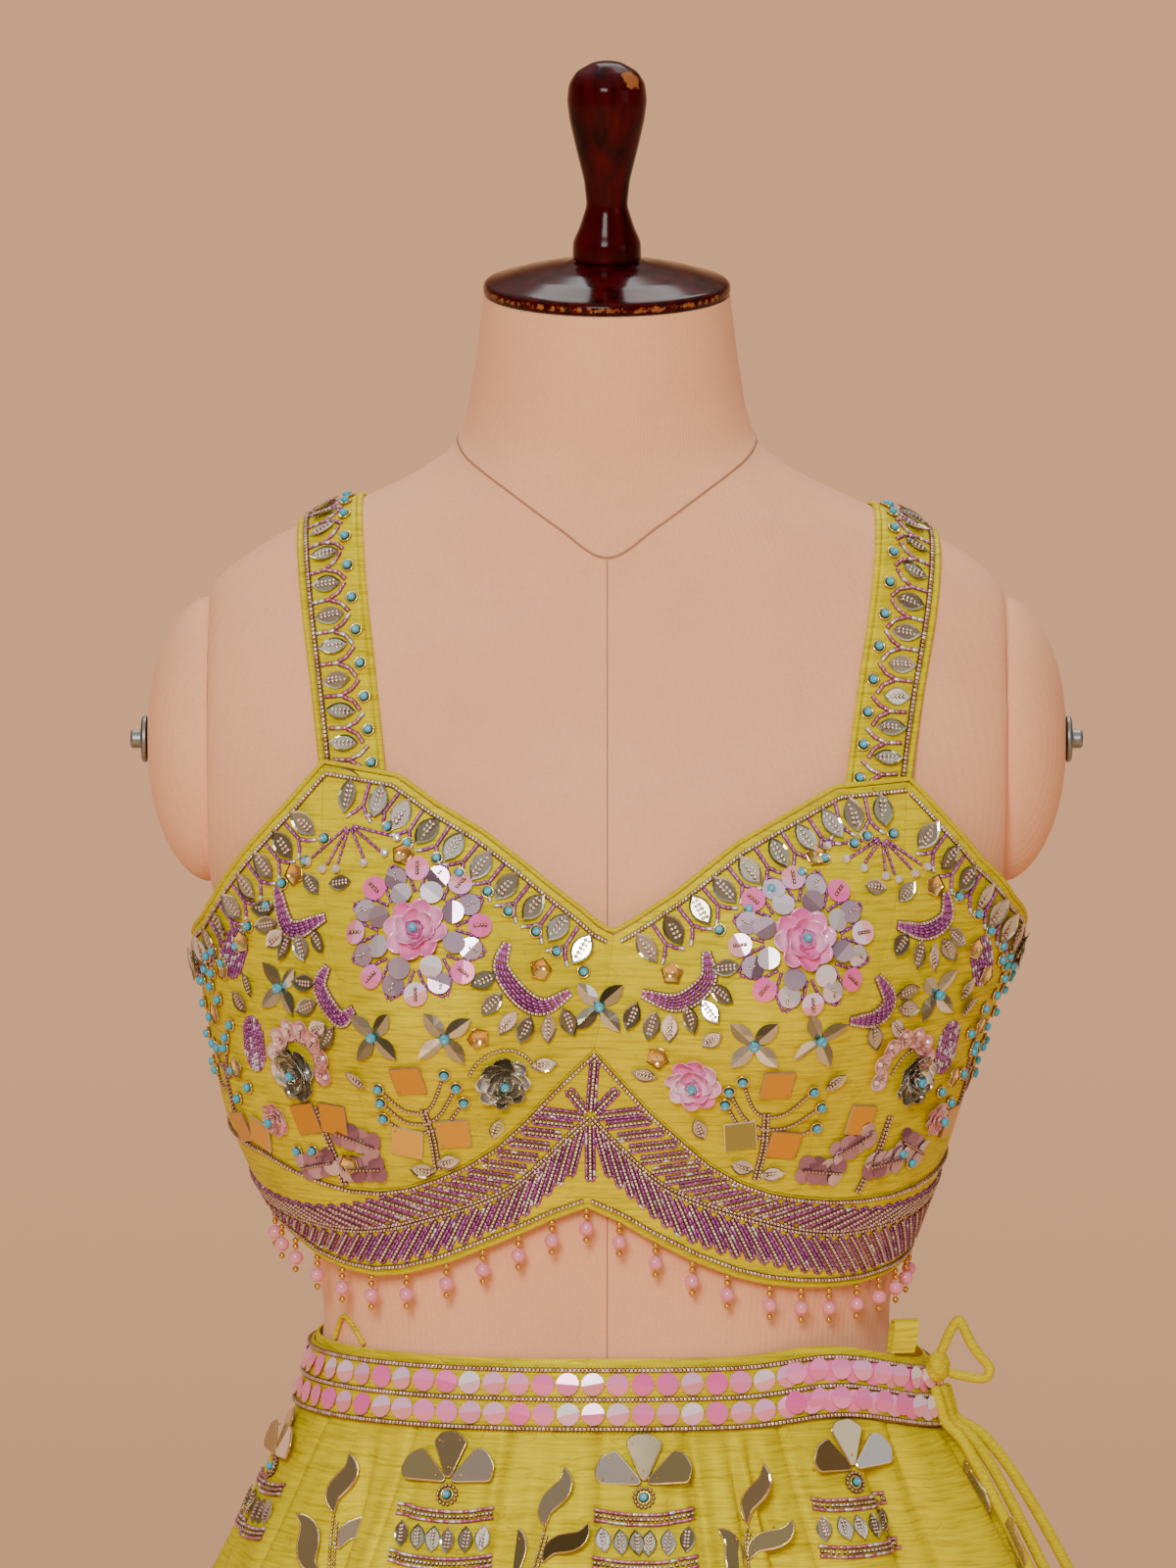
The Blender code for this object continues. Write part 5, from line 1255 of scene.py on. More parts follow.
def build_waist():
    """The waistband, the belt over it, and the hanger's loop of tape behind them."""
    low, high = -BELT_HALF, BELT_HALF
    waist_ring("waistband_cloth", "skirt_waistband", "silk",
               (low + 0.0002, low + 0.001, 0, high, high + 0.0022, high + 0.0030), 0.0001, 0.0015)
    waist_ring("belt_cloth", "belt", "belt",
               (low + 0.0006, low + 0.0016, -0.004, 0.004, high - 0.001, high), 0.0020, BELT_FACE)
    stops = [(-73.5, 0.0010), (-71.5, 0.0080), (-69.5, 0.0115), (-67.0, 0.0085), (-63.5, 0.0010)]
    degrees, climb = smooth_line(stops, 8).T
    turn = np.radians(degrees)
    path = waist_point(turn, belt_middle(turn) + high + 0.0038 + climb, 0.0010)
    tube_piece("hanger_tape", path, 0.0010, "raw_silk", ["skirt_hanger_loop"], sides=8)


def tail_path(tail):
    """A hanging cord's centre line: over the belt, then down the skirt, standing off it by an arch."""
    clear = TAIL_RADIUS + 0.0006
    turn = np.full(3, math.radians(tail.top_angle))
    on_belt = waist_point(turn, belt_middle(turn) + (0.0030, -0.0040, -0.0110), BELT_FACE + clear)
    down = np.linspace(0.008, tail.length / 1.06, int(tail.length / 0.013))
    turn = np.radians(tail.top_angle + (tail.low_angle - tail.top_angle) * (down / down[-1]) ** 0.7)
    arch = tail.stand * np.sin(np.clip(down / 0.20, 0, 1) * math.pi) ** 0.8
    lift = clear + 0.0030 * bump(down, 0, 0.030) + arch
    return np.concatenate([on_belt, lifted(lambda a, b: skirt_surface(a, -b), turn, -down, lift)])


def build_tie():
    """The knot is an ellipsoid with slanting troughs where the cord wraps; loops and tails are round."""
    turn = math.radians(78)
    place = waist_point(turn, belt_middle(turn) + BELT_HALF - 0.0010, BELT_FACE + GAP + 0.0049)
    out = outward(turn)
    across, up = np.meshgrid(np.linspace(0, 2 * math.pi, 48, endpoint=False),
                             np.linspace(-1, 1, 28) * math.pi / 2)
    wrap = 1 - 0.10 * np.abs(np.cos(1.5 * (across + 1.3 * up))) ** 6 * np.cos(up)
    ball = np.stack([np.cos(up) * np.cos(across) * 0.0054, np.cos(up) * np.sin(across) * 0.0074,
                     np.sin(up) * 0.0068], axis=-1) * wrap[..., None]
    axes = np.array([out, (math.cos(turn), math.sin(turn), 0), UPWARD])
    round_piece("tie_knot_cloth", ball @ axes + place, "silk_cord", ["tie_knot"])
    loop = smooth_line(CORD_LOOP, 6)
    path = place + out * loop[:, :1] + UPWARD * loop[:, 1:]
    tube_piece("tie_loop_cord_cloth", path, 0.0021, "silk_cord", ["tie_loop_cord"], sides=10)
    turn = math.radians(71)
    foot = waist_point(turn, belt_middle(turn) + BELT_HALF + 0.0046, 0.0022)
    away, side = np.array([0.30, -0.95, 0]), np.array([0.95, 0.30, 0])
    loop = smooth_line(RIBBON_LOOP, 6)
    path = foot + away * loop[:, :1] + (side * 0.15 + UPWARD) * loop[:, 1:]
    half = 0.0005 * unit(np.cross(np.gradient(path, axis=0), side))[:, None]
    middle = path[:, None] + np.linspace(-0.0055, 0.0055, 7)[None, :, None] * side
    sheet_piece("tie_ribbon_cloth", middle - half, middle + half, "silk", ["tie_loop_ribbon"])
    for tail in TAILS:
        path = smooth_line(tail_path(tail), 3)
        cord = tube_piece(tail.name + "_cloth", path, TAIL_RADIUS, "silk_cord", [tail.name])
        path[0]

# Places on the choli: degrees and heights, and for roses their radius in mm.
BIG_FLOWERS = [
    (-38.6, 1.2427), (38.6, 1.2388),
]
DARK_ROSES = [
    (-20.5, 1.1802, 13), (-58, 1.1796, 13), (62.1, 1.176, 13),
]
PINK_ROSES = [
    (21.3, 1.1794, 12.8), (-63.5, 1.158, 8.5), (70, 1.1565, 8.5),
]
SPRAYS = [
    [(-51.3, 1.2839), (-55.9, 1.2681), (-53.9, 1.266), (-51.8, 1.2663), (-48.3, 1.2691), (-45.3, 1.2734),
     (-43.9, 1.2786)],
    [(51.7, 1.2787), (43.3, 1.2753), (45.9, 1.271), (48.6, 1.2669), (51.4, 1.2636), (53.4, 1.2621),
     (55.6, 1.2635), (57.5, 1.2662)],
]
# Each crescent's line, and the tips of the leaves round it.
CRESCENTS = [
    ([(-60.6, 1.2575), (-58.4, 1.2401), (-53, 1.2461)],
     [(-62.4, 1.2477), (-62, 1.2412), (-60.6, 1.2359), (-59, 1.2322), (-56.5, 1.2328), (-53.8, 1.2363)]),
    ([(-52.4, 1.2262), (-53.5, 1.2166), (-50.3, 1.2051), (-47.9, 1.2095)],
     [(-56, 1.2183), (-55.6, 1.2086), (-53.7, 1.2005), (-51.9, 1.1964)]),
    ([(-21.9, 1.2379), (-22.6, 1.2273), (-17.9, 1.2153), (-13, 1.2113), (-7.7, 1.2171)],
     [(-26, 1.2227), (-24.1, 1.2134), (-20.6, 1.2058), (-16.7, 1.2022), (-12.1, 1.2023), (-7.4, 1.2049)]),
    ([(20.9, 1.2343), (21.4, 1.222), (15.9, 1.2131), (8, 1.2163)],
     [(6.7, 1.2069), (11.1, 1.2034), (14.9, 1.2029), (19.3, 1.2065), (22.6, 1.21), (24.7, 1.2174),
      (25.1, 1.2278)]),
    ([(60.6, 1.2551), (60.9, 1.244), (57.8, 1.2394), (53.4, 1.2428)],
     [(54, 1.2346), (57, 1.2298), (59.5, 1.2284), (62, 1.231), (62.9, 1.2357)]),
    ([(51.1, 1.2224), (53.7, 1.212), (52.3, 1.205), (47.8, 1.2046)],
     [(56.3, 1.2153), (57.1, 1.2077), (55.9, 1.1998), (52.6, 1.197)]),
]
HALF_FLOWERS = [
    (-57.4, 1.185), (59.2, 1.182),
]
MIRROR_FLOWERS = [
    (-60.2, 1.215), (-44.5, 1.1987), (-32.2, 1.1994), (-1.1, 1.2108), (31.9, 1.1965), (43.3, 1.1976),
    (62, 1.212),
]
GOLD_BLOSSOMS = [
    (-14.9, 1.2267), (-26, 1.1996), (-42.2, 1.2724), (-57.8, 1.2629), (14.3, 1.2251), (13.2, 1.1903),
    (41, 1.272), (58.6, 1.258), (-66.4, 1.233), (66.8, 1.23), (-50.9, 1.142), (-71, 1.22), (-75.5, 1.2),
    (-71, 1.178), (70.8, 1.218), (75, 1.195), (71.5, 1.174),
]
# Degrees, height and heading in degrees, and for squares their tone.
SINGLE_MARQUISES = [
    (-55.4, 1.2593, 130), (-51.1, 1.2604, 10), (49.8, 1.2591, 170), (54.6, 1.2562, 45), (23.9, 1.1986, 35),
    (-11.9, 1.1873, 8), (-21.7, 1.1603, 75), (10.6, 1.183, 165), (23.4, 1.1599, 110), (-37.4, 1.1406, 170),
    (-31.8, 1.1449, 20), (32.7, 1.1422, 160), (38.9, 1.1391, 10), (-66, 1.215, 110), (-68.2, 1.207, 130),
    (67.5, 1.213, 70), (69.4, 1.205, 50), (-47.6, 1.18, 135), (47.5, 1.179, 45),
]
SQUARES = [
    (-38.5, 1.1807, 8, 0.25), (-39.4, 1.1527, -10, 0.75), (-30.3, 1.1572, 5, 0.45), (37.3, 1.179, -4, 0.3),
    (31.9, 1.1563, 6, 1), (40.4, 1.1517, -6, 0.2), (-52.3, 1.1611, -3, 0.2), (-57.4, 1.16, 12, 0.15),
    (-74, 1.1514, 10, 0.2), (-68.6, 1.15, -20, 0.5), (53.7, 1.1603, -8, 0.35), (76, 1.153, 4, 0.3),
]
# A stem's foot and top, and its tips.
STEMS = [
    ([(-34.5, 1.1404), (-35.9, 1.168)],
     [(-43.8, 1.1764), (-43.5, 1.1703), (-43.2, 1.1633), (-32, 1.1836), (-29.7, 1.1779), (-28.2, 1.1713)]),
    ([(35.9, 1.1359), (36.3, 1.1662)],
     [(30.8, 1.1806), (28.5, 1.1762), (28.1, 1.1704), (44, 1.1751), (46, 1.1677), (45.9, 1.1585)]),
    ([(-53.6, 1.1313), (-55.7, 1.1659)], []), ([(56.5, 1.1273), (59.5, 1.1605)], []),
    ([(-76, 1.15), (-77, 1.178)], [(-80, 1.185), (-74.5, 1.185), (-81.5, 1.173), (-73, 1.176)]),
    ([(78, 1.148), (79, 1.176)], [(82, 1.183), (76.5, 1.183), (83.5, 1.171), (75, 1.174)]),
]
MAUVE_CLUSTERS = [
    (-57.6, 1.14, 15), (-48.8, 1.153, -20), (-49, 1.14, 5), (48.3, 1.139, -8), (53.5, 1.15, 30),
    (60.6, 1.14, 6), (66.1, 1.145, -25),
]
BUGLE_BLOBS = [
    (-68.5, 1.228, 60), (69.5, 1.224, 120), (-66.5, 1.19, 85), (68, 1.188, 95),
]
SIDE_DOTS = [
    (-73.4, 1.2269), (-77, 1.218), (-80.5, 1.212), (-74, 1.206), (-81.5, 1.202), (-86.5, 1.215),
    (-71.5, 1.196), (-84, 1.188), (-57.6, 1.146), (-60.9, 1.145), (-89, 1.174), (74.4, 1.223), (78, 1.214),
    (81.5, 1.208), (75, 1.202), (82.5, 1.198), (87.5, 1.211), (73, 1.192), (85, 1.185), (64, 1.143),
    (67, 1.138), (89, 1.17), (-75.5, 1.224), (-78.5, 1.223), (-76, 1.211), (-78.5, 1.197), (-73.5, 1.19),
    (-77.5, 1.184), (-69, 1.17), (-72.5, 1.164), (76.5, 1.22), (79.5, 1.219), (77.5, 1.207), (79, 1.193),
    (76.5, 1.186), (80.5, 1.178), (69.5, 1.168), (73.5, 1.162),
]
BAND_SPINE = [
    (0, 1.1638), (4.3, 1.1566), (15, 1.1379), (24, 1.1284), (37.3, 1.1194), (47.7, 1.1134), (58.1, 1.1114),
    (72, 1.115), (84, 1.1205), (94, 1.124),
]
BAND_CENTRE = -0.8
STAR_RAYS = [
    (-0.8, 1.1907), (-6.6, 1.1766), (5.3, 1.1765), (-13.2, 1.1666), (11.5, 1.1665),
]


# Beadwork. A motif is laid out flat in mm: each kind of bead has rows as places gives them.


def beaded_marquise(tone, size=1.0):
    """A pointed sequin held by pairs of slanting seeds along its middle."""
    x = np.linspace(-3.0, 3.0, 5)
    pairs = [places(x, side * 0.62, side * 1.0, 0.0017, size=0.92, tone=0.8) for side in (-1, 1)]
    cup = places(0, 0, lift=0.0005, pitch=0.16 * math.sin(tone * 91 + 1), roll=0.30 * math.sin(tone * 57),
                 tone=tone)
    return moved({"marquise": cup, "seed": np.concatenate(pairs)}, 0, 0, scale=size)


def turquoise_dot(size):
    return {"gold_cup": places(0, 0, size=size * 1.06, tone=0.85),
            "turquoise": places(0, 0, lift=0.0006, size=size * 0.95)}


def mirror_flower(seed):
    """Four creased mirror petals round a turquoise bead."""
    angle = np.arange(4) * math.pi / 2
    petals = places(6.0 * np.cos(angle), 6.0 * np.sin(angle), angle, 0.0004, 0.14,
                    spread(seed + 1, 4, -0.25, 0.25), size=0.98, tone=spread(seed, 4, 0.15, 1.0))
    return {"mirror_petal": petals, "turquoise": places(0, 0, lift=0.0010, size=0.95)}


def ruffled_rose(kind, radius, seed, low, high):
    """Petals in three rings that overlap and stand up more towards the middle, round a turquoise bead."""
    rows = []
    for count, out, pitch, size, lift in ((8, 0.58, 0.30, 0.88, 0.8), (6, 0.36, 0.60, 0.80, 2.0),
                                          (4, 0.17, 0.95, 0.58, 3.0)):
        angle = np.arange(count) * 2 * math.pi / count + seed + lift
        away = spread(seed + count, count) - 0.5
        tone = low + (high - low) * (0.5 + 0.5 * np.sin(angle * 2 + 1)) + away * 0.25
        rows.append(places(radius * out * np.cos(angle), radius * out * np.sin(angle), angle, lift * MM,
                           pitch + away * 0.2, away * 0.5, size=size * radius / 14.5,
                           tone=np.clip(tone, 0, 1)))
    return {kind: np.concatenate(rows), "turquoise": places(0, 0, lift=0.0048, size=0.95)}


def big_flower(seed):
    """A ruffled rose in a wheel of eight double sequins edged with bugles, eight pink ones between them."""
    parts = [ruffled_rose("petal", 14.5, seed, 0.25, 0.75)]
    edges = [flat_line([(15.5, 5.6 * side), (22.0, 5.7 * side), (26.5, 4.2 * side), (30.8, 0.3 * side)], 2.9,
                       tone=tone, lift=0.0003) for side, tone in ((1, 0.45), (-1, 0.3))]
    dots = places([25.5, 26.5, 23.6], [0.3, -0.3, 0.1], 0.2, 0.0020, size=0.8, tone=0.9)
    for i in range(8):
        tone = spread(seed * 9 + i, 4)
        pair = places([16.8, 24.2], 0, [0.4 + tone[0], 0.2 + tone[1]], [0.0016, 0.0008],
                      (tone[:2] - 0.5) * 0.35,
                      (tone[2:] - 0.5) * 0.5, size=0.98, tone=[0.15 + 0.8 * tone[2], tone[3]])
        spoke = {"silver_round": pair, "bugle": np.concatenate(edges), "seed": dots}
        disc = places(26.6, 0, 1.3 + tone[1], 0.0009, 0.0, (tone[0] - 0.5) * 0.4, size=1.04, tone=tone[2])
        between = {"pink_round": disc, "seed": places([24.4, 25.9, 27.4, 28.9], 0, 0, 0.0021, tone=0.3)}
        parts += [spun(spoke, math.radians(27 + 45 * i)), spun(between, math.radians(4.5 + 45 * i))]
    return merge(*parts)


def bugle_bar(length, seed):
    """A row of seeds between two rows of bugles, rounded at its end; a few bugles near it are silvery."""
    middle = flat_line([(0.5, 0), (max(length - 1.2, 1.8), 0)], 1.65, lift=0.0009, size=1.12)
    sides = []
    for side in (-1, 1):
        line = flat_line([(1.0, side * 1.55), (length - 2.0, side * 1.6), (length - 0.3, side * 0.6)], 2.9,
                         lift=0.0003)
        first, count = seed + 2 + side, len(line)
        line[:, TONE] = np.where(spread(first, count) > 0.94, 0.92, spread(first + 1, count, 0.0, 0.6))
        sides.append(line)
    return {"seed": shaded(middle, seed, 0.55, 1.0), "bugle": np.concatenate(sides)}


def fan_pot(seed):
    """Three mirror fans over a small rosette, and a basket: two beaded bars, upright marquises between."""
    tone = spread(seed, 12)
    headings = np.radians([157, 93, 28])
    pitch, roll = 0.02 + tone[:3] * 0.10, np.where(tone[3:6] > 0.5, 0.08, -0.12) + 0.05 * tone[3:6]
    # Each fan's tone is a painted reflection: a bright, a middling and a darker fan in each pot.
    flash = np.array([0.55, 0.90, 0.35])[np.argsort(tone[6:9])] + 0.10 * tone[:3]
    parts = [{"fan": places(0, 5.4, headings, 0.0010, pitch, roll, size=0.98, tone=flash),
              "fan_wire": places(0, 5.4, headings, 0.0008, pitch, roll, size=0.98)}]
    studs = {"stud": places([6.0, 17.5, 17.5], [0, -4.6, 4.6], lift=0.0018)}
    parts += [moved(studs, 0, 5.4, turn) for turn in headings]
    ring = np.arange(14) * 2 * math.pi / 14
    eye = places(4.1 * np.cos(ring), 4.1 * np.sin(ring), ring + math.pi / 2, 0.0008, size=1.15, tone=0.4)
    parts += [{"seed": eye}, turquoise_dot(0.95)]
    for kind, y, half in (("pink_bugle", -7.2, 21), ("seed", -9.3, 21), ("pink_bugle", -11.4, 21),
                          ("pink_bugle", -27.4, 22), ("seed", -29.5, 22), ("pink_bugle", -31.6, 22)):
        bow = [(x, y + 2.6 * (x / half) ** 2) for x in np.linspace(-half, half, 15)]
        line = flat_line(bow, 1.8 if kind == "seed" else 2.6, lift=0.0005, size=1.2)
        parts.append({kind: shaded(line, seed + int(-y * 10), 0.3, 0.97)})
    for i, x in enumerate(np.linspace(-17.5, 17.5, 6)):
        leaf = beaded_marquise(0.25 + 0.7 * tone[i], 1.02)
        parts.append(moved(leaf, x, -19.4 + 2.4 * (x / 21) ** 2, math.pi / 2 - x * 0.006))
    return merge(*parts)


def leaf_spray(seed):
    """Three S-shaped mirror leaves on a beaded stem."""
    tone = spread(seed, 8)
    parts = []
    leaves = (0.3, 1.0, 80, 1.0), (-5.0, -25.0, 112, 1.06), (2.2, -14.0, 46, 0.95)
    for i, (x, y, degrees, size) in enumerate(leaves):
        leaf = {"leaf": places(0, 0, lift=0.0006, pitch=tone[i] * 0.07, roll=(tone[i + 3] - 0.5) * 0.2,
                               tone=0.2 + 0.75 * tone[i]),
                "leaf_wire": places(0, 0, lift=0.0005, pitch=tone[i] * 0.07),
                "stud": places([5, 20], [1.5, -1.5], lift=0.0003)}
        parts.append(moved(leaf, x, y, math.radians(degrees), size))
    stems = ([(-0.2, 0.5), (-1.2, -12), (-2.0, -24), (-3.4, -38)],
             [(1.2, -2.5), (0.4, -14), (-0.6, -26), (-2.4, -38)],
             [(-1.8, -22), (-3.2, -24.5), (-5.0, -25.0)], [(-0.4, -11), (0.8, -13), (2.2, -14.0)])
    rows = np.concatenate([flat_line(stem, 1.7, lift=0.0003) for stem in stems])
    return merge(*parts, {"seed": shaded(rows, seed + 5, 0.2, 0.8)},
                 moved(beaded_marquise(0.5), -9.0, -38, math.radians(150)),
                 moved(beaded_marquise(0.7), 3.0, -37, math.radians(35)))


def heading_to(start, end):
    """The way and the distance on the choli from one place to another."""
    along, up, _ = directions(choli_surface, *start)
    step = choli_surface(*end) - choli_surface(*start)
    return math.atan2(step @ up, step @ along), float(np.linalg.norm(step))


def edge_line(edge, low, high, count, away):
    """A line beside one of the choli's edges, between two angles in degrees."""
    degrees = np.linspace(low, high, count)
    return beside(choli_surface, np.stack([np.radians(degrees), edge(degrees)], axis=1), away)


def lay_edge_beads(work):
    """Lines of seeds inside the choli's top edge and along the band's edges."""
    for low, high in ((-94, -57.4), (-56.4, 0.3), (1.5, 56.4), (57.6, 94)):
        line = edge_line(top_edge, low, high, 90, -0.0036)
        rows = threaded(choli_surface, line, 0.00158, lift=0.0005, size=1.15, width=1.25)
        work.lay("seed", shaded(rows, int(low + 200), 0.35, 0.95))
    for edge, low, high, away in ((band_edge, -94, -1.4, -0.0016), (band_edge, -0.6, 94, -0.0016),
                                  (hem_edge, -94, -2.6, 0.0016), (hem_edge, -1.6, 94, 0.0016)):
        line = edge_line(edge, low, high, 120, away)
        rows = threaded(choli_surface, line, SEED_PITCH, lift=0.0005, size=1.15, width=1.2)
        work.lay("seed", shaded(rows, int(low + 300), 0.4, 0.9))
    for low, high in ((-178, -95.5), (95.5, 178)):
        line = edge_line(top_edge, low, high, 80, -0.0036)
        work.lay("seed", threaded(choli_surface, line, SEED_PITCH, lift=0.0005, size=1.12, tone=0.6))


def lay_border(work):
    """Beaded marquises square to the top edge, a forked line of bugles between each two, turquoise inside."""
    apart = 0.0131
    forks = ([(6.6, 6.6), (-3.2, 6.4)], [(-3.6, 6.0), (-6.6, 4.0), (-9.4, 0.8)],
             [(-3.6, 7.0), (-6.6, 9.2), (-9.4, 12.2)])
    fork = np.concatenate([flat_line(stops, 2.7, lift=0.0004, width=1.2) for stops in forks])
    for low, high, first in ((-92, -59.5, 1), (-54.5, -0.4, 40), (2.6, 54.5, 80), (59.5, 92, 120)):
        line = edge_line(top_edge, low, high, 90, -0.0112)
        rows = threaded(choli_surface, line, apart)
        tone = spread(first, len(rows))
        for i, (a, b, heading) in enumerate(rows[:, :3]):
            square = heading + math.pi / 2
            work.lay_motif(a, b, square + (tone[i] - 0.5) * 0.25, beaded_marquise(0.2 + 0.75 * tone[i], 1.32))
            if i:
                shaded(fork, first + i + 7, 0.15, 0.75)
                fork[fork[:, 0] < -7.4, TONE] = 0.93
                work.lay_motif(a, b, square, {"bugle": fork})
        dots = threaded(choli_surface, beside(choli_surface, line, -0.0098), apart)
        for i, (a, b) in enumerate(dots[:, :2]):
            a, b = chart(choli_surface, a, b, 0.0045 if i % 2 else 0.0030, 0.0)
            if i >= 2 and top_edge(math.degrees(a)) - b > 0.017:
                work.lay_motif(a, b, 0.0, turquoise_dot(0.92))


def lay_crescents(work):
    """A crescent of bugle rows between seed lines, tapered to its ends, beaded leaves round its outer side."""
    for path, leaves in CRESCENTS:
        line = smooth_line(in_radians(path), 12)
        swell = np.sin(math.pi * (0.06 + 0.88 * np.linspace(0, 1, len(line)))) ** 0.7
        for away in (3.6, 2.1, 0.7, -0.7, -2.1, -3.6):
            outer = abs(away) > 3
            kind, pitch, size, low = (("seed", SEED_PITCH, 1.3, 0.42) if outer
                                      else ("bugle", BUGLE_PITCH, 1.0, 0.0))
            row = beside(choli_surface, line, away * MM * swell)
            rows = threaded(choli_surface, row, pitch, lift=0.0004, size=size)
            work.lay(kind, shaded(rows, int(abs(path[0][0]) * 10 + away * 7 + 50), low, low + 0.5))
        for i, place in enumerate(in_radians(leaves)):
            reach = np.hypot((line[:, 0] - place[0]) * CHOLI_RADIUS, line[:, 1] - place[1])
            turn, _ = heading_to(line[np.argmin(reach)], place)
            work.lay_motif(*place, turn, beaded_marquise(0.15 + 0.2 * (i * 7 % 5), 1.12))


def lay_sprays(work):
    """Lines of bugles from one place, each ending in a faceted bead."""
    for stops in SPRAYS:
        foot, *ends = in_radians(stops)
        for i, end in enumerate(ends):
            turn, length = heading_to(foot, end)
            length, sway = length / MM - 1.5, 0.8 if i % 2 else -0.8
            line = flat_line([(1.5, 0), (length, sway)], 2.9, lift=0.0003)
            bead = places(length + 2.2, sway / 2, tone=0.85)
            work.lay_motif(*foot, turn, {"bugle": shaded(line, i + 400, 0.05, 0.6), "faceted": bead})


def lay_band(work):
    """A branch of bars on each side of a double spine, and a star of bars at the peak."""
    reach = np.arange(4, 30, 0.5)
    for side in (-1, 1):
        spine = in_radians([(BAND_CENTRE + side * degrees, height) for degrees, height in BAND_SPINE])
        spine[1:, 1] -= 0.0012 if side > 0 else 0.0
        line = smooth_line(spine)
        for away in (-0.0008, 0.0008):
            rows = threaded(choli_surface, beside(choli_surface, line, away), SEED_PITCH, lift=0.0004,
                            size=1.1)
            work.lay("seed", shaded(rows, int(away * 10000) + 60, 0.4, 0.9))
        for way, edge, pitch, first, margin in ((1, band_edge, 0.0070, 0.0055, 0.0030),
                                                (-1, hem_edge, 0.0064, 0.0035, 0.0034)):
            for i, row in enumerate(threaded(choli_surface, line, pitch, phase=first / pitch)):
                away = min(abs(math.degrees(row[0]) - BAND_CENTRE), 60)
                slope = 8 + 0.30 * max(away - 10, 0) if way > 0 else 0.45 * away - 76
                slant = math.radians(slope if side > 0 else 180 - slope)
                a, b = chart(choli_surface, *row[:2], reach * math.cos(slant) * MM,
                             reach * math.sin(slant) * MM)
                free = reach[way * (edge(np.degrees(a)) - b) > margin]
                if len(free) < 6 or abs(math.degrees(a[0])) > 93:
                    continue
                last = free[np.argmax(np.diff(np.append(free, 99)) > 0.6)]
                if abs(math.degrees(np.interp(last, reach, a))) <= 94.2:
                    bar = moved(bugle_bar(min(last, 25) - 2.2, i * 5 + 900), 2.2, 0)
                    work.lay_motif(*row[:2], slant, bar)
    centre = math.radians(BAND_CENTRE)
    for i, end in enumerate(in_radians(STAR_RAYS)):
        turn, length = heading_to((centre, BAND_SPINE[0][1]), end)
        work.lay_motif(centre, BAND_SPINE[0][1], turn, moved(bugle_bar(length / MM - 2.5, i + 700), 2.0, 0))
    work.lay_motif(centre, 1.1625, -math.pi / 2, moved(bugle_bar(26.0, 730), 1.5, 0))


def lay_flowers(work):
    """The two big flowers, the ruffled roses, and the mirror and gold flowers."""
    for i, (degrees, height) in enumerate(BIG_FLOWERS):
        work.lay_at(degrees, height, big_flower(i + 3))
    arc = np.radians(np.arange(20, 171, 10))
    ring = flat_line(14.2 * np.stack([np.cos(arc), np.sin(arc)], axis=1), 1.7, lift=0.0004, tone=0.8)
    for i, (degrees, height, radius) in enumerate(DARK_ROSES):
        work.lay_at(degrees, height,
                    merge(ruffled_rose("dark_petal", radius, i + 11, 0.05, 0.95), {"seed": ring}))
    for i, (degrees, height, radius) in enumerate(PINK_ROSES):
        kind = "petal" if radius > 10 else "salmon_petal"
        work.lay_at(degrees, height, ruffled_rose(kind, radius, i + 21, 0.35, 0.95))
    discs = [spun({"salmon_petal": places(13.6, 0, size=0.85, lift=0.0004, pitch=0.1, tone=0.3 + 0.08 * i),
                   "faceted": places(15.5, 0, size=0.62, lift=0.0012, tone=0.95),
                   "seed": places([11.6, 13.2], 0, size=0.9, lift=0.0022, tone=0.9)}, angle)
             for i, angle in enumerate(np.radians(np.linspace(-20, 200, 8)))]
    for degrees, height in HALF_FLOWERS:
        work.lay_at(degrees, height, merge(*discs))
    for i, (degrees, height) in enumerate(MIRROR_FLOWERS):
        work.lay_at(degrees, height, mirror_flower(i + 31), (40, 50, 38, 42, 45, 30, 52)[i], 1.15)
    for i, (degrees, height) in enumerate(GOLD_BLOSSOMS):
        blossom = {"gold_flower": places(0, 0, size=1.15, tone=0.62 + 0.03 * i),
                   "faceted": places(0, 0, lift=0.0005, size=0.55, tone=0.1)}
        work.lay_motif(math.radians(degrees), height, i * 0.7, blossom)


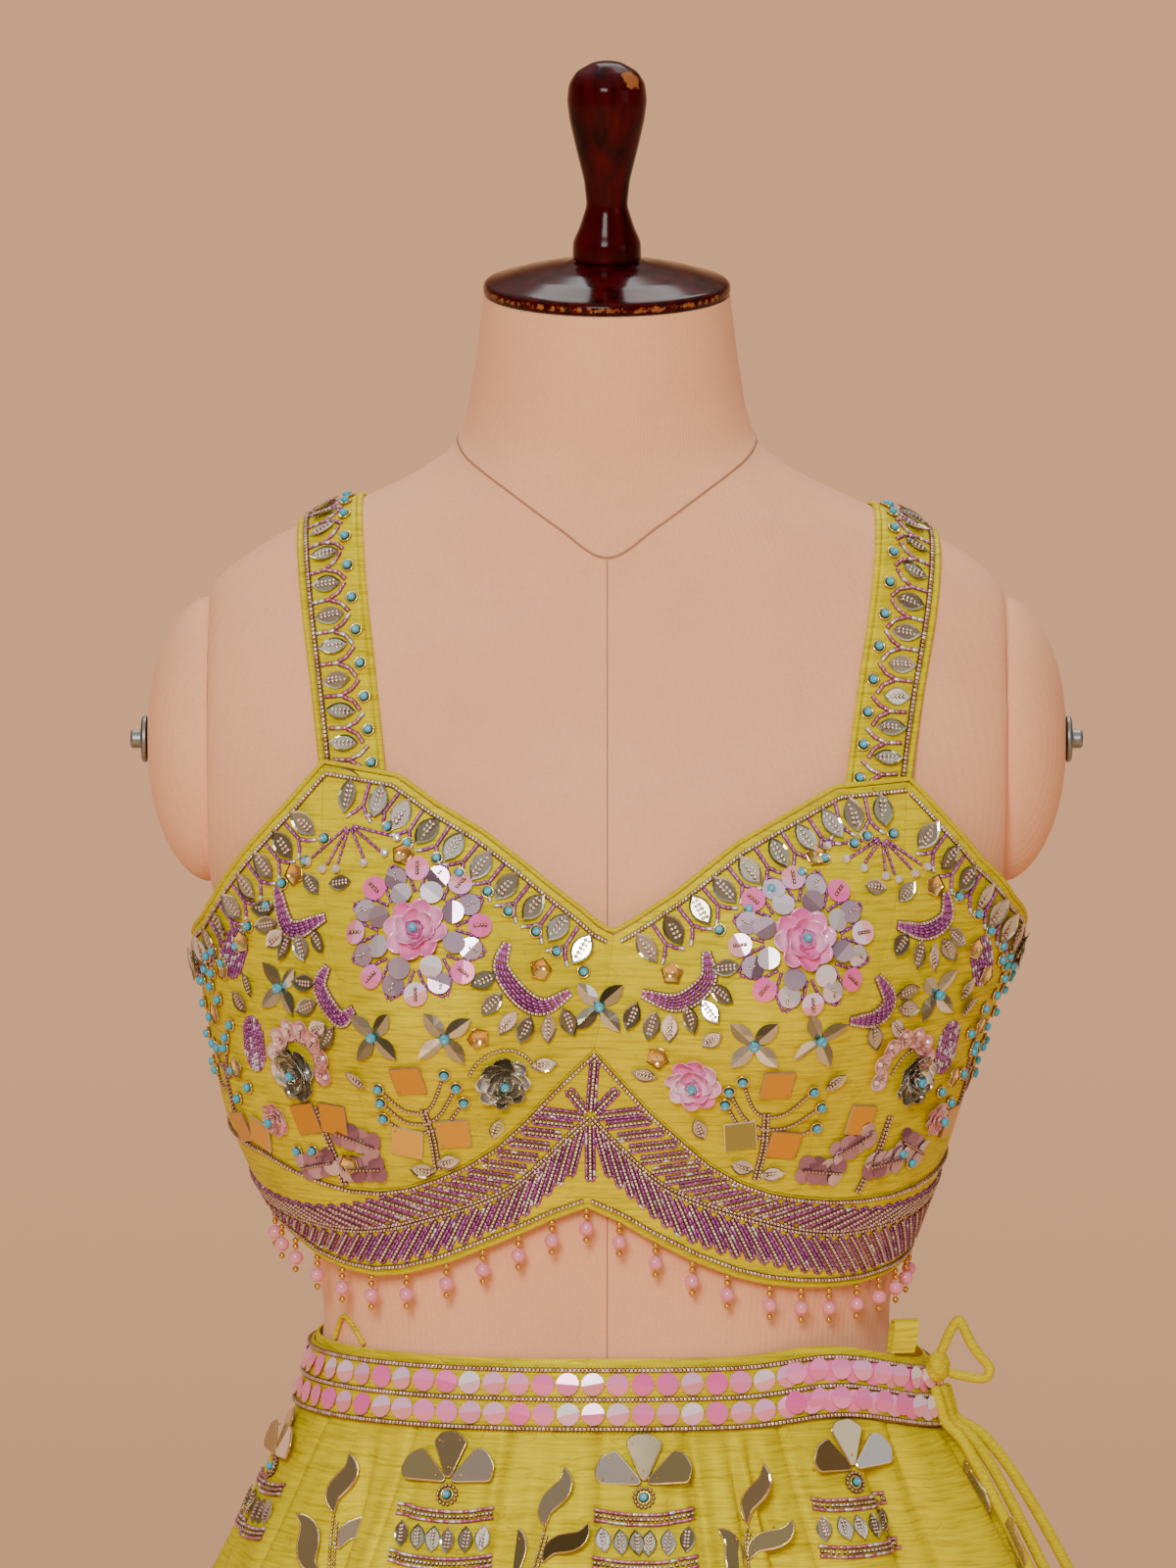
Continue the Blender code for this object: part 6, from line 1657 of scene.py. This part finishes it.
def lay_motifs(work):
    """Squares, stems with turquoise tips, marquises, overlapping mauve sequins, bugle blobs and dots."""
    for degrees, height, heading in SINGLE_MARQUISES:
        work.lay_at(degrees, height, beaded_marquise(0.2 + 0.7 * (abs(degrees) % 1)), heading)
    corners = places([-5.2, 5.2, 5.2, -5.2], [-5.2, -5.2, 5.2, 5.2], lift=0.0003, size=0.9)
    for i, (degrees, height, heading, tone) in enumerate(SQUARES):
        pitch, roll = spread(i + 50, 2, -0.07, 0.07)
        square = places(0, 0, lift=0.0004, pitch=pitch, roll=roll, tone=tone)
        work.lay_at(degrees, height, {"square": square, "stud": corners}, heading)
    for foot_top, tips in STEMS:
        foot, top = in_radians(foot_top)
        stem = smooth_line([foot, (foot + top) / 2 + (0.012, 0), top], 10)
        for away in (-0.0009, 0.0009):
            line = beside(choli_surface, stem, away)
            work.lay("seed", threaded(choli_surface, line, SEED_PITCH, lift=0.0004, tone=0.6, size=1.15))
        for i, tip in enumerate(in_radians(tips)):
            fork = foot + (top - foot) * (0.92, 0.75, 0.62)[i % 3]
            line = smooth_line([fork, (fork + tip) / 2 - (0, 0.0035), tip], 10)
            work.lay("seed", threaded(choli_surface, line, SEED_PITCH, lift=0.0004, tone=0.6, size=1.1))
            work.lay_motif(*tip, 0.0, turquoise_dot(0.95))
    for i, (degrees, height, heading) in enumerate(MAUVE_CLUSTERS):
        x, tone = np.arange(4) * 5.6 - 8.4, spread(i + 70, 8)
        discs = places(np.tile(x, 2) * 0.9, np.repeat([-2.6, 2.6], 4), 0.6 + tone,
                       np.tile([0.0006, 0.0010], 4),
                       (tone - 0.5) * 0.3, (tone - 0.5) * 0.5, size=0.80, tone=tone)
        dots = flat_line([(-9, 0), (9, 0)], 1.7, lift=0.0026, tone=0.4)
        work.lay_at(degrees, height, {"mauve_round": discs, "seed": dots}, heading)
    for i, (degrees, height, heading) in enumerate(BUGLE_BLOBS):
        y = np.arange(-4, 5) * 1.6
        half = 13.0 * np.sqrt(1 - (y / 7.6) ** 2)
        rows = np.concatenate([flat_line([(-x, y * 1.05), (x * 0.9, y)], 2.9, lift=0.0003)
                               for x, y in zip(half, y)])
        rows[:, TONE] = np.where(spread(i + 90, len(rows)) > 0.75, 0.92, spread(i + 91, len(rows), 0.0, 0.6))
        work.lay_at(degrees, height, {"bugle": rows}, heading)
    for degrees, height in SIDE_DOTS:
        work.lay_at(degrees, height, turquoise_dot(0.95))


def lay_straps(work):
    """Marquises across each strap, forked lines of bugles between, a line of seeds, and turquoise inside."""
    forks = ([(7.0, 7.3), (-1.1, 7.1)], [(-0.9, 7.6), (-4.8, 9.4), (-8.0, 13.2)],
             [(-0.9, 6.6), (-5.4, 4.4), (-8.2, 0.2)])
    for side, (face, _, _, reach) in zip((-1, 1), strap_faces()):
        upright = lambda x, top: np.stack([np.full(160, side * x), np.linspace(0.004, top, 160)], axis=1)
        seeds = threaded(face, upright(0.0095, reach - 0.004), 0.0018, lift=0.0006, size=1.3, width=1.35)
        work.lay("seed", shaded(seeds, 290 + side, 0.15, 0.75), face)
        middle = threaded(face, upright(0.0020, reach - 0.012), 0.0142)
        tone = spread(300 + side, len(middle))
        fork = np.concatenate([flat_line(np.multiply(stops, (side, 1)), 2.5, lift=0.0004, width=1.35)
                               for stops in forks])
        for i, (a, b) in enumerate(middle[:, :2]):
            leaf = beaded_marquise(0.3 + 0.55 * tone[i], 1.14)
            work.lay_motif(a, b, (tone[i] - 0.5) * 0.25, leaf, surface=face)
            fork[:, TONE] = np.where(spread(i, len(fork)) > 0.8, 0.92, spread(i + 1, len(fork), 0.3, 0.8))
            work.lay_motif(a, b, 0.0, {"pink_bugle": fork}, surface=face)
            a, b = chart(face, a, b, side * -0.0102, 0.0058)
            work.lay_motif(a, b, 0.0, turquoise_dot(0.92), surface=face)


def fringe_face(angle, height):
    """The upright face under the front hem."""
    angle, height = arrays(angle, height)
    points = choli_surface(angle, hem_edge(np.degrees(angle)))
    points[..., 2] = height
    return points


def lay_fringe(work):
    """Each drop hangs straight down: two small gold beads, a pink glass bead and one more gold bead."""
    for degrees in DROPS:
        a, b = math.radians(degrees), hem_edge(degrees) - 0.0022
        gold = places(a, [b - 0.0012, b - 0.0038, b - 0.0135], lift=-0.0006, size=1.25)
        work.lay("small", gold, fringe_face)
        work.lay("pearl", places(a, b - 0.0086, lift=-0.0006), fringe_face)


def lay_belt(work):
    """Three lines of seeds round the belt, a row of creased pink sequins between two, closer by the tie."""
    angle = np.linspace(-math.pi, math.pi, 720)
    level = lambda climb: np.stack([angle, np.full_like(angle, climb)], axis=1)
    for climb in (-0.0122, 0.0, 0.0122):
        rows = threaded(belt_face, level(climb), SEED_PITCH, lift=0.0006, size=1.18, width=1.3)
        work.lay("seed", shaded(rows, int(climb * 1e4) + 500, 0.35, 0.90), belt_face)
    for i, climb in enumerate((-0.0062, 0.0062)):
        rows = threaded(belt_face, level(climb), 0.0104, size=0.99)
        extra = (rows[np.abs(np.degrees(rows[:, 0]) - 62) < 22]
                 + places(0.030, 0.0012, 0, 0.0008, 0, 0, 0, 0, 0))
        rows = np.concatenate([rows, extra])
        count = len(rows)
        rows += places(0, 0, spread(510 + i, count, -0.3, 0.3), 0.0004, spread(530 + i, count, -0.125, 0.125),
                       spread(520 + i, count, -0.21, 0.21), 0, 0, 0)
        work.lay("pink_round", shaded(rows, 510 + i, 0, 1), belt_face)


def lay_skirt(work):
    """One row of motifs round the skirt: a fan pot on every other kali, a leaf spray on those between."""
    for i in range(KALIS):
        angle = math.radians(KALI_START + 360 / KALIS * (i + 0.5))
        climb, motif = (-0.0385, leaf_spray(i + 830)) if i % 2 else (-0.0262, fan_pot(i + 800))
        work.lay_motif(angle, climb, 0.0, motif, surface=skirt_face)


BEADS = {
    "seed": "lined_seed_glass", "bugle": "dyed_bugle_glass", "pink_bugle": "pink_bugle_glass",
    "turquoise": "turquoise_stone", "gold_cup": "gilt_brass", "gold_flower": "gilt_brass",
    "faceted": "silver_mauve", "marquise": "smoky_sequin", "mirror_petal": "smoky_sequin",
    "silver_round": "silver_mauve", "pink_round": "iridescent_pink", "mauve_round": "mauve_film",
    "petal": "pearl_pink", "salmon_petal": "salmon_pearl", "dark_petal": "pewter", "square": "amber_mirror",
    "fan": "acrylic_mirror", "fan_wire": "pale_gilt", "leaf": "acrylic_mirror", "leaf_wire": "pale_gilt",
    "stud": "gilt_brass", "small": "gilt_brass", "pearl": "pink_glass",
}
REPLACED = {
    "choli_petal": ["rosette_cup_left", "rosette_cup_right", "rosette_front_right"],
    "choli_dark_petal": ["rosette_front_left", "rosette_side_left", "rosette_side_right"],
    "fringe_pearl": ["choli_bead_fringe"],
}
FLAT_SHADED = ("square", "fan", "leaf", "faceted", "silver_round", "pink_round", "mauve_round",
               "mirror_petal", "marquise")


def build_beads(group, *layers):
    """Gather the layers' beads, then stamp one mesh for each kind."""
    work = Work()
    for lay in layers:
        lay(work)
    for kind in work.rows:
        work.stamp(kind, f"{group}_{kind}")


# The dress form, its stand, and the stage.


def cover_face(angle, height):
    """The form's cover: its tube, flat at the arm ends, and the neck's top leaning forward with its cap."""
    x, y, z = np.moveaxis(form_surface(angle, height), -1, 0)
    foot = 1.425
    share = np.clip((z - foot) / (NECK_TOP - foot), 0, 1)
    lean = (y - NECK_AXIS_Y) * math.tan(NECK_TILT) * share * share
    return np.stack([np.clip(x, -ARM_PLANE, ARM_PLANE), y, z + lean], axis=-1)


def build_torso():
    """The cover from the hips to the neck's top; its flat map is in metres, for the ribs."""
    columns, rows, round_neck = 224, 170, 0.75
    heights = np.linspace(FORM_LOW, NECK_TOP, rows)
    points = cover_face(*np.meshgrid(np.arange(columns) * 2 * math.pi / columns, heights))
    points[0, :, :2] *= 0.985
    flat = np.stack(np.meshgrid(np.arange(columns + 1) * round_neck / columns, heights),
                    axis=-1).reshape(-1, 2)
    uv = np.concatenate([flat[grid_faces(rows, columns + 1).ravel()], np.zeros((2 * columns, 2))])
    sets = [grid_faces(rows, columns, ring=True), flat_ends(rows, columns)]
    piece_from("form_cover_cloth", points, sets, "knit_cover", ["form_torso"], uv=uv, sharp=60)


def build_arm_cap(name, sign):
    """A bulging end: its rise falls off as one less a power of the share out to its oval rim."""
    sides, rim = 96, 0.0022
    rings = np.concatenate([[0.06], np.linspace(0.14, 0.9, 16), [0.94, 0.97, 0.99, 1.0, 1.0]])
    bulge = GAP + rim + (ARM_BULGE - rim) * (1 - rings**2.3) ** 0.62
    bulge[-1] = GAP
    around = np.arange(sides) * 2 * math.pi / sides
    across, up = np.sin(around), np.cos(around)
    front = np.stack(arrays((sign * (ARM_PLANE + bulge))[:, None],
                            ARM_Y + across * np.where(across < 0, 0.0395, 0.0500) * rings[:, None],
                            ARM_CENTRE + up * 0.0610 * rings[:, None]), axis=-1)
    points = np.concatenate([front.reshape(-1, 3),
                             [(sign * (ARM_PLANE + GAP + ARM_BULGE), ARM_Y, ARM_CENTRE)]])
    side = np.arange(sides)
    fan = np.stack([np.full(sides, len(points) - 1), (side + 1) % sides, side], axis=1)
    floor = ((len(rings) - 1) * sides + side)[None]
    sets = [faces[:, ::-sign] for faces in (grid_faces(len(rings), sides, ring=True), fan, floor)]
    uv = np.concatenate([points[faces.ravel()][:, 1:] for faces in sets])
    piece_from(f"arm_cap_cloth_{name}", points, sets, "knit_cover", [f"form_arm_cap_{name}"],
               uv=uv, sharp=60)


def build_seams():
    """The cover's seams as fine ridges: round the neck's foot, down the centre front and back."""
    half = [(21, 1.4060), (44, 1.4230), (62, 1.4330), (85, 1.4410), (120, 1.4460), (180, 1.4480)]
    corners = [(-degrees, height) for degrees, height in half[::-1]] + [(0, 1.3930)] + half
    collar = smooth_line(in_radians(corners), 20)[:-1]
    tube_piece("collar_seam", cover_face(*collar.T), 0.00055, "cover_thread", ring=True,
               sides=6)
    for name, degrees, high in (("front", 0, 1.392), ("back", 180, 1.447)):
        path = lifted(cover_face, math.radians(degrees), np.linspace(0.86, high, 160), -0.0001)
        tube_piece(f"{name}_seam", path, 0.0003, "cover_thread", sides=6)


def build_wood():
    """The neck cap and finial, turned in one tilt; the cap's rim and one spot of the finial are worn."""
    axis = np.array((0, -math.sin(NECK_TILT), math.cos(NECK_TILT)))
    seat = np.array((0, NECK_AXIS_Y, NECK_TOP))
    spot = seat + (0.0105, -0.026, 0.0905)

    def worn_rim(points):
        away = points - seat
        return 0.60 * bump(np.linalg.norm(away - (away @ axis)[:, None] * axis, axis=1), 0.0527, 0.0007)

    def chip(points):
        return 0.95 * bump(np.linalg.norm(points - spot, axis=1), 0, 0.0060)

    turned_piece("neck_cap_wood", "form_neck_cap", NECK_CAP_PROFILE, 0.0009, 2, "lacquered_wood", 96,
                 seat, NECK_TILT, wear=worn_rim)
    turned_piece("finial_wood", "form_finial", FINIAL_PROFILE, 0.0010, 3, "lacquered_wood", 72,
                 seat + axis * (NECK_CAP_TOP + GAP), NECK_TILT, wear=chip)


def build_stand():
    """The arm bolts, and the pole in its base."""
    for name, sign in (("left", -1), ("right", 1)):
        seat = (sign * (ARM_PLANE + ARM_BULGE + 2 * GAP), ARM_Y, ARM_CENTRE)
        turned_piece(f"arm_bolt_steel_{name}", f"form_arm_bolt_{name}", BOLT_PROFILE, 0.0003, 1, "dull_steel",
                     40, seat, tilt_y=sign * math.pi / 2)
    high, low = FORM_LOW - GAP, BASE_TOP + GAP
    pole = [(0, high), (POLE_RADIUS, high), (POLE_RADIUS, low), (0, low)]
    turned_piece("pole_steel", "stand_pole", pole, 0.004, 0, "black_paint", 48, (0, 0, 0))
    turned_piece("base_iron", "stand_base", BASE_PROFILE, 0.0016, 2, "black_paint", 96, (0, 0, 0))


def build_stage():
    """A pale floor and soft light from the front, and a camera at the photo's level and angle."""
    scene = bpy.context.scene
    stage = scene.lehenga_stage

    def placed(name, data, place=(0, 0, 0), turn=(0, 0, 0)):
        made = bpy.data.objects.new(name, data)
        made.location, made.rotation_euler = place, turn
        scene.collection.objects.link(made)
        return made

    mesh = bpy.data.meshes.new("floor")
    mesh.from_pydata([(-8, -8, 0), (8, -8, 0), (8, 4.2, 0), (-8, 4.2, 0)], [], [(0, 1, 2, 3)])
    mesh.materials.append(finish_from("pale_floor",
                                      lambda tree: {"Base Color": (*stage.floor, 1), "Roughness": 0.9}))
    floor = placed("floor", mesh)
    lights = []
    for name, place, size, share in (("key", (-0.6, -3.8, 2.9), 1.2, 1.0),
                                     ("fill", (3.0, -2.2, 1.7), 1.4, 0.05),
                                     ("rim", (0.2, 1.5, 4.0), 1.6, 0.30)):
        data = bpy.data.lights.new(name, "AREA")
        data.energy = stage.key_light * share
        data.size = size
        x, y, z = np.array((0, 0, 1.15)) - place
        lights.append(placed(name, data, place, (math.acos(-z / math.hypot(x, y, z)), 0, math.atan2(-x, y))))
    world = bpy.data.worlds.new("studio")
    world.use_nodes = True
    tree = world.node_tree
    background = tree.nodes["Background"].inputs
    place = add_node(tree, "ShaderNodeTexCoord").outputs["Generated"]
    way = add_node(tree, "ShaderNodeSeparateXYZ", {0: place}).outputs
    level = ranged(tree, way["Z"], low=-1.0)
    wall = ramp(tree, level, (0.18, "4A3020"), (0.44, stage.backdrop), (0.58, stage.backdrop),
                (0.70, "8C6A50"), (0.92, "FFFFFF"))
    room = ramp(tree, level, (0.30, "5A4028"), (0.47, "A88258"), (0.56, "846644"), (0.70, "705A40"),
                (0.92, "FFFFFF"))
    tree.links.new(mix(tree, ranged(tree, way["Y"], 0.85, 0.25), wall, room), background["Color"])
    background["Strength"].default_value = stage.backdrop_strength
    scene.world = world
    data = bpy.data.cameras.new("camera")
    data.lens = 150
    data.sensor_width = 36
    scene.camera = placed("camera", data, (-0.008, -2.7893, 1.5370), (math.radians(85), 0, 0))
    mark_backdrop(floor, scene.camera, *lights)


class LehengaCloth(bpy.types.PropertyGroup):
    """The cloth's colours and how fine its meshes are."""

    silk: colour_setting("Silk", "Colour of the silk", "DECA00")
    silk_dark: colour_setting("Silk, dark threads", "Colour of the dark threads", "B8A400")
    silk_light: colour_setting("Silk, light threads", "Colour of the light threads", "F2DE00")
    slub: length_setting("Slub", "Thickness of a thick weft thread", SILK_SLUB)
    skirt_columns: bpy.props.IntProperty(name="Skirt columns", description="Columns in each kali", min=12,
                                         default=30)
    skirt_rows: bpy.props.IntProperty(name="Skirt rows", description="Rows from waist to hem", min=12,
                                      default=72)


class LehengaForm(bpy.types.PropertyGroup):
    """The dress form's colours."""

    cover: colour_setting("Cover", "Colour of the knitted cover", "FFBE90")
    cover_dark: colour_setting("Cover, smudged", "Colour of the cover where it is handled", "F2AE84")
    lacquer: colour_setting("Lacquer", "Colour of the lacquered wood", "4C0305")


class LehengaStage(bpy.types.PropertyGroup):
    """The light and the floor."""

    key_light: bpy.props.FloatProperty(name="Key light", description="Watts of the main light", min=0,
                                       default=128)
    floor: colour_setting("Floor", "Colour of the floor", "FFCFA6")
    backdrop: colour_setting("Backdrop", "Colour of the room's light", "FFBF8F")
    backdrop_strength: bpy.props.FloatProperty(
        name="Backdrop strength", description="Strength of the room's light", min=0, default=0.84)


class LEHENGA_OT_form(bpy.types.Operator):
    """Build the form's knitted cover"""

    bl_idname = "lehenga.form"
    bl_label = "Form cover"

    def execute(self, context):
        build_torso()
        build_seams()
        build_arm_cap("left", -1)
        build_arm_cap("right", 1)
        return {"FINISHED"}


class LEHENGA_OT_wood(bpy.types.Operator):
    """Build the neck cap and finial"""

    bl_idname = "lehenga.wood"
    bl_label = "Neck cap and finial"

    def execute(self, context):
        build_wood()
        return {"FINISHED"}


class LEHENGA_OT_stand(bpy.types.Operator):
    """Build the bolts, pole and base"""

    bl_idname = "lehenga.stand"
    bl_label = "Bolts and stand"

    def execute(self, context):
        build_stand()
        return {"FINISHED"}


class LEHENGA_OT_skirt(bpy.types.Operator):
    """Build the skirt's cloth"""

    bl_idname = "lehenga.skirt"
    bl_label = "Skirt"

    def execute(self, context):
        build_skirt()
        return {"FINISHED"}


class LEHENGA_OT_waist(bpy.types.Operator):
    """Build the waistband, belt and hanger"""

    bl_idname = "lehenga.waist"
    bl_label = "Waistband and belt"

    def execute(self, context):
        build_waist()
        return {"FINISHED"}


class LEHENGA_OT_tie(bpy.types.Operator):
    """Build the knot, loops and hanging cords"""

    bl_idname = "lehenga.tie"
    bl_label = "Tie"

    def execute(self, context):
        build_tie()
        return {"FINISHED"}


class LEHENGA_OT_choli(bpy.types.Operator):
    """Build the choli's panels, piping and straps"""

    bl_idname = "lehenga.choli"
    bl_label = "Choli"

    def execute(self, context):
        build_choli()
        build_piping()
        build_straps()
        return {"FINISHED"}


class LEHENGA_OT_choli_beads(bpy.types.Operator):
    """Lay the beadwork of the choli's edges, border, band, flowers and motifs"""

    bl_idname = "lehenga.choli_beads"
    bl_label = "Choli beadwork"

    def execute(self, context):
        build_beads("choli", lay_edge_beads, lay_border, lay_crescents, lay_sprays, lay_band, lay_flowers,
                    lay_motifs)
        return {"FINISHED"}


class LEHENGA_OT_strap_beads(bpy.types.Operator):
    """Lay the straps' beadwork"""

    bl_idname = "lehenga.strap_beads"
    bl_label = "Strap beadwork"

    def execute(self, context):
        build_beads("strap", lay_straps)
        return {"FINISHED"}


class LEHENGA_OT_fringe(bpy.types.Operator):
    """Hang the fringe's drops"""

    bl_idname = "lehenga.fringe"
    bl_label = "Fringe"

    def execute(self, context):
        build_beads("fringe", lay_fringe)
        return {"FINISHED"}


class LEHENGA_OT_belt_beads(bpy.types.Operator):
    """Lay the belt's beads and sequins"""

    bl_idname = "lehenga.belt_beads"
    bl_label = "Belt beadwork"

    def execute(self, context):
        build_beads("belt", lay_belt)
        return {"FINISHED"}


class LEHENGA_OT_skirt_beads(bpy.types.Operator):
    """Lay the skirt's row of motifs"""

    bl_idname = "lehenga.skirt_beads"
    bl_label = "Skirt beadwork"

    def execute(self, context):
        build_beads("skirt", lay_skirt)
        return {"FINISHED"}


class LEHENGA_OT_stage(bpy.types.Operator):
    """Build the floor, lights and camera"""

    bl_idname = "lehenga.stage"
    bl_label = "Stage"

    def execute(self, context):
        build_stage()
        return {"FINISHED"}


STEPS = (LEHENGA_OT_form, LEHENGA_OT_wood, LEHENGA_OT_stand, LEHENGA_OT_skirt, LEHENGA_OT_waist,
         LEHENGA_OT_tie, LEHENGA_OT_choli, LEHENGA_OT_choli_beads, LEHENGA_OT_strap_beads, LEHENGA_OT_fringe,
         LEHENGA_OT_belt_beads, LEHENGA_OT_skirt_beads, LEHENGA_OT_stage)
SETTINGS = {"lehenga_cloth": LehengaCloth, "lehenga_form": LehengaForm, "lehenga_stage": LehengaStage}


class LEHENGA_PT_steps(bpy.types.Panel):
    """The set's settings and steps."""

    bl_label = "Lehenga set"
    bl_space_type = "VIEW_3D"
    bl_region_type = "UI"
    bl_category = "Lehenga"

    def draw(self, context):
        for name, group in SETTINGS.items():
            box = self.layout.box()
            for key in group.__annotations__:
                box.prop(getattr(context.scene, name), key)
        for step in STEPS:
            self.layout.operator(step.bl_idname)


def register():
    for kind in (*SETTINGS.values(), *STEPS, LEHENGA_PT_steps):
        bpy.utils.register_class(kind)
    for name, group in SETTINGS.items():
        setattr(bpy.types.Scene, name, bpy.props.PointerProperty(type=group))


def unregister():
    for name in SETTINGS:
        delattr(bpy.types.Scene, name)
    for kind in (LEHENGA_PT_steps, *reversed(STEPS), *reversed(SETTINGS.values())):
        bpy.utils.unregister_class(kind)


def visual_box():
    """The low and high corners of every piece of the set."""
    corners = []
    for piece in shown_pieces():
        points = np.empty(len(piece.data.vertices) * 3, np.float32)
        piece.data.vertices.foreach_get("co", points)
        points = points.reshape(-1, 3)
        corners += [points.min(axis=0), points.max(axis=0)]
    return [float(x) for x in np.min(corners, axis=0)], [float(x) for x in np.max(corners, axis=0)]


def main():
    register()
    for step in STEPS:
        getattr(bpy.ops.lehenga, step.bl_idname.split(".")[1])()
    low, high = visual_box()


if __name__ == "__main__":
    main()
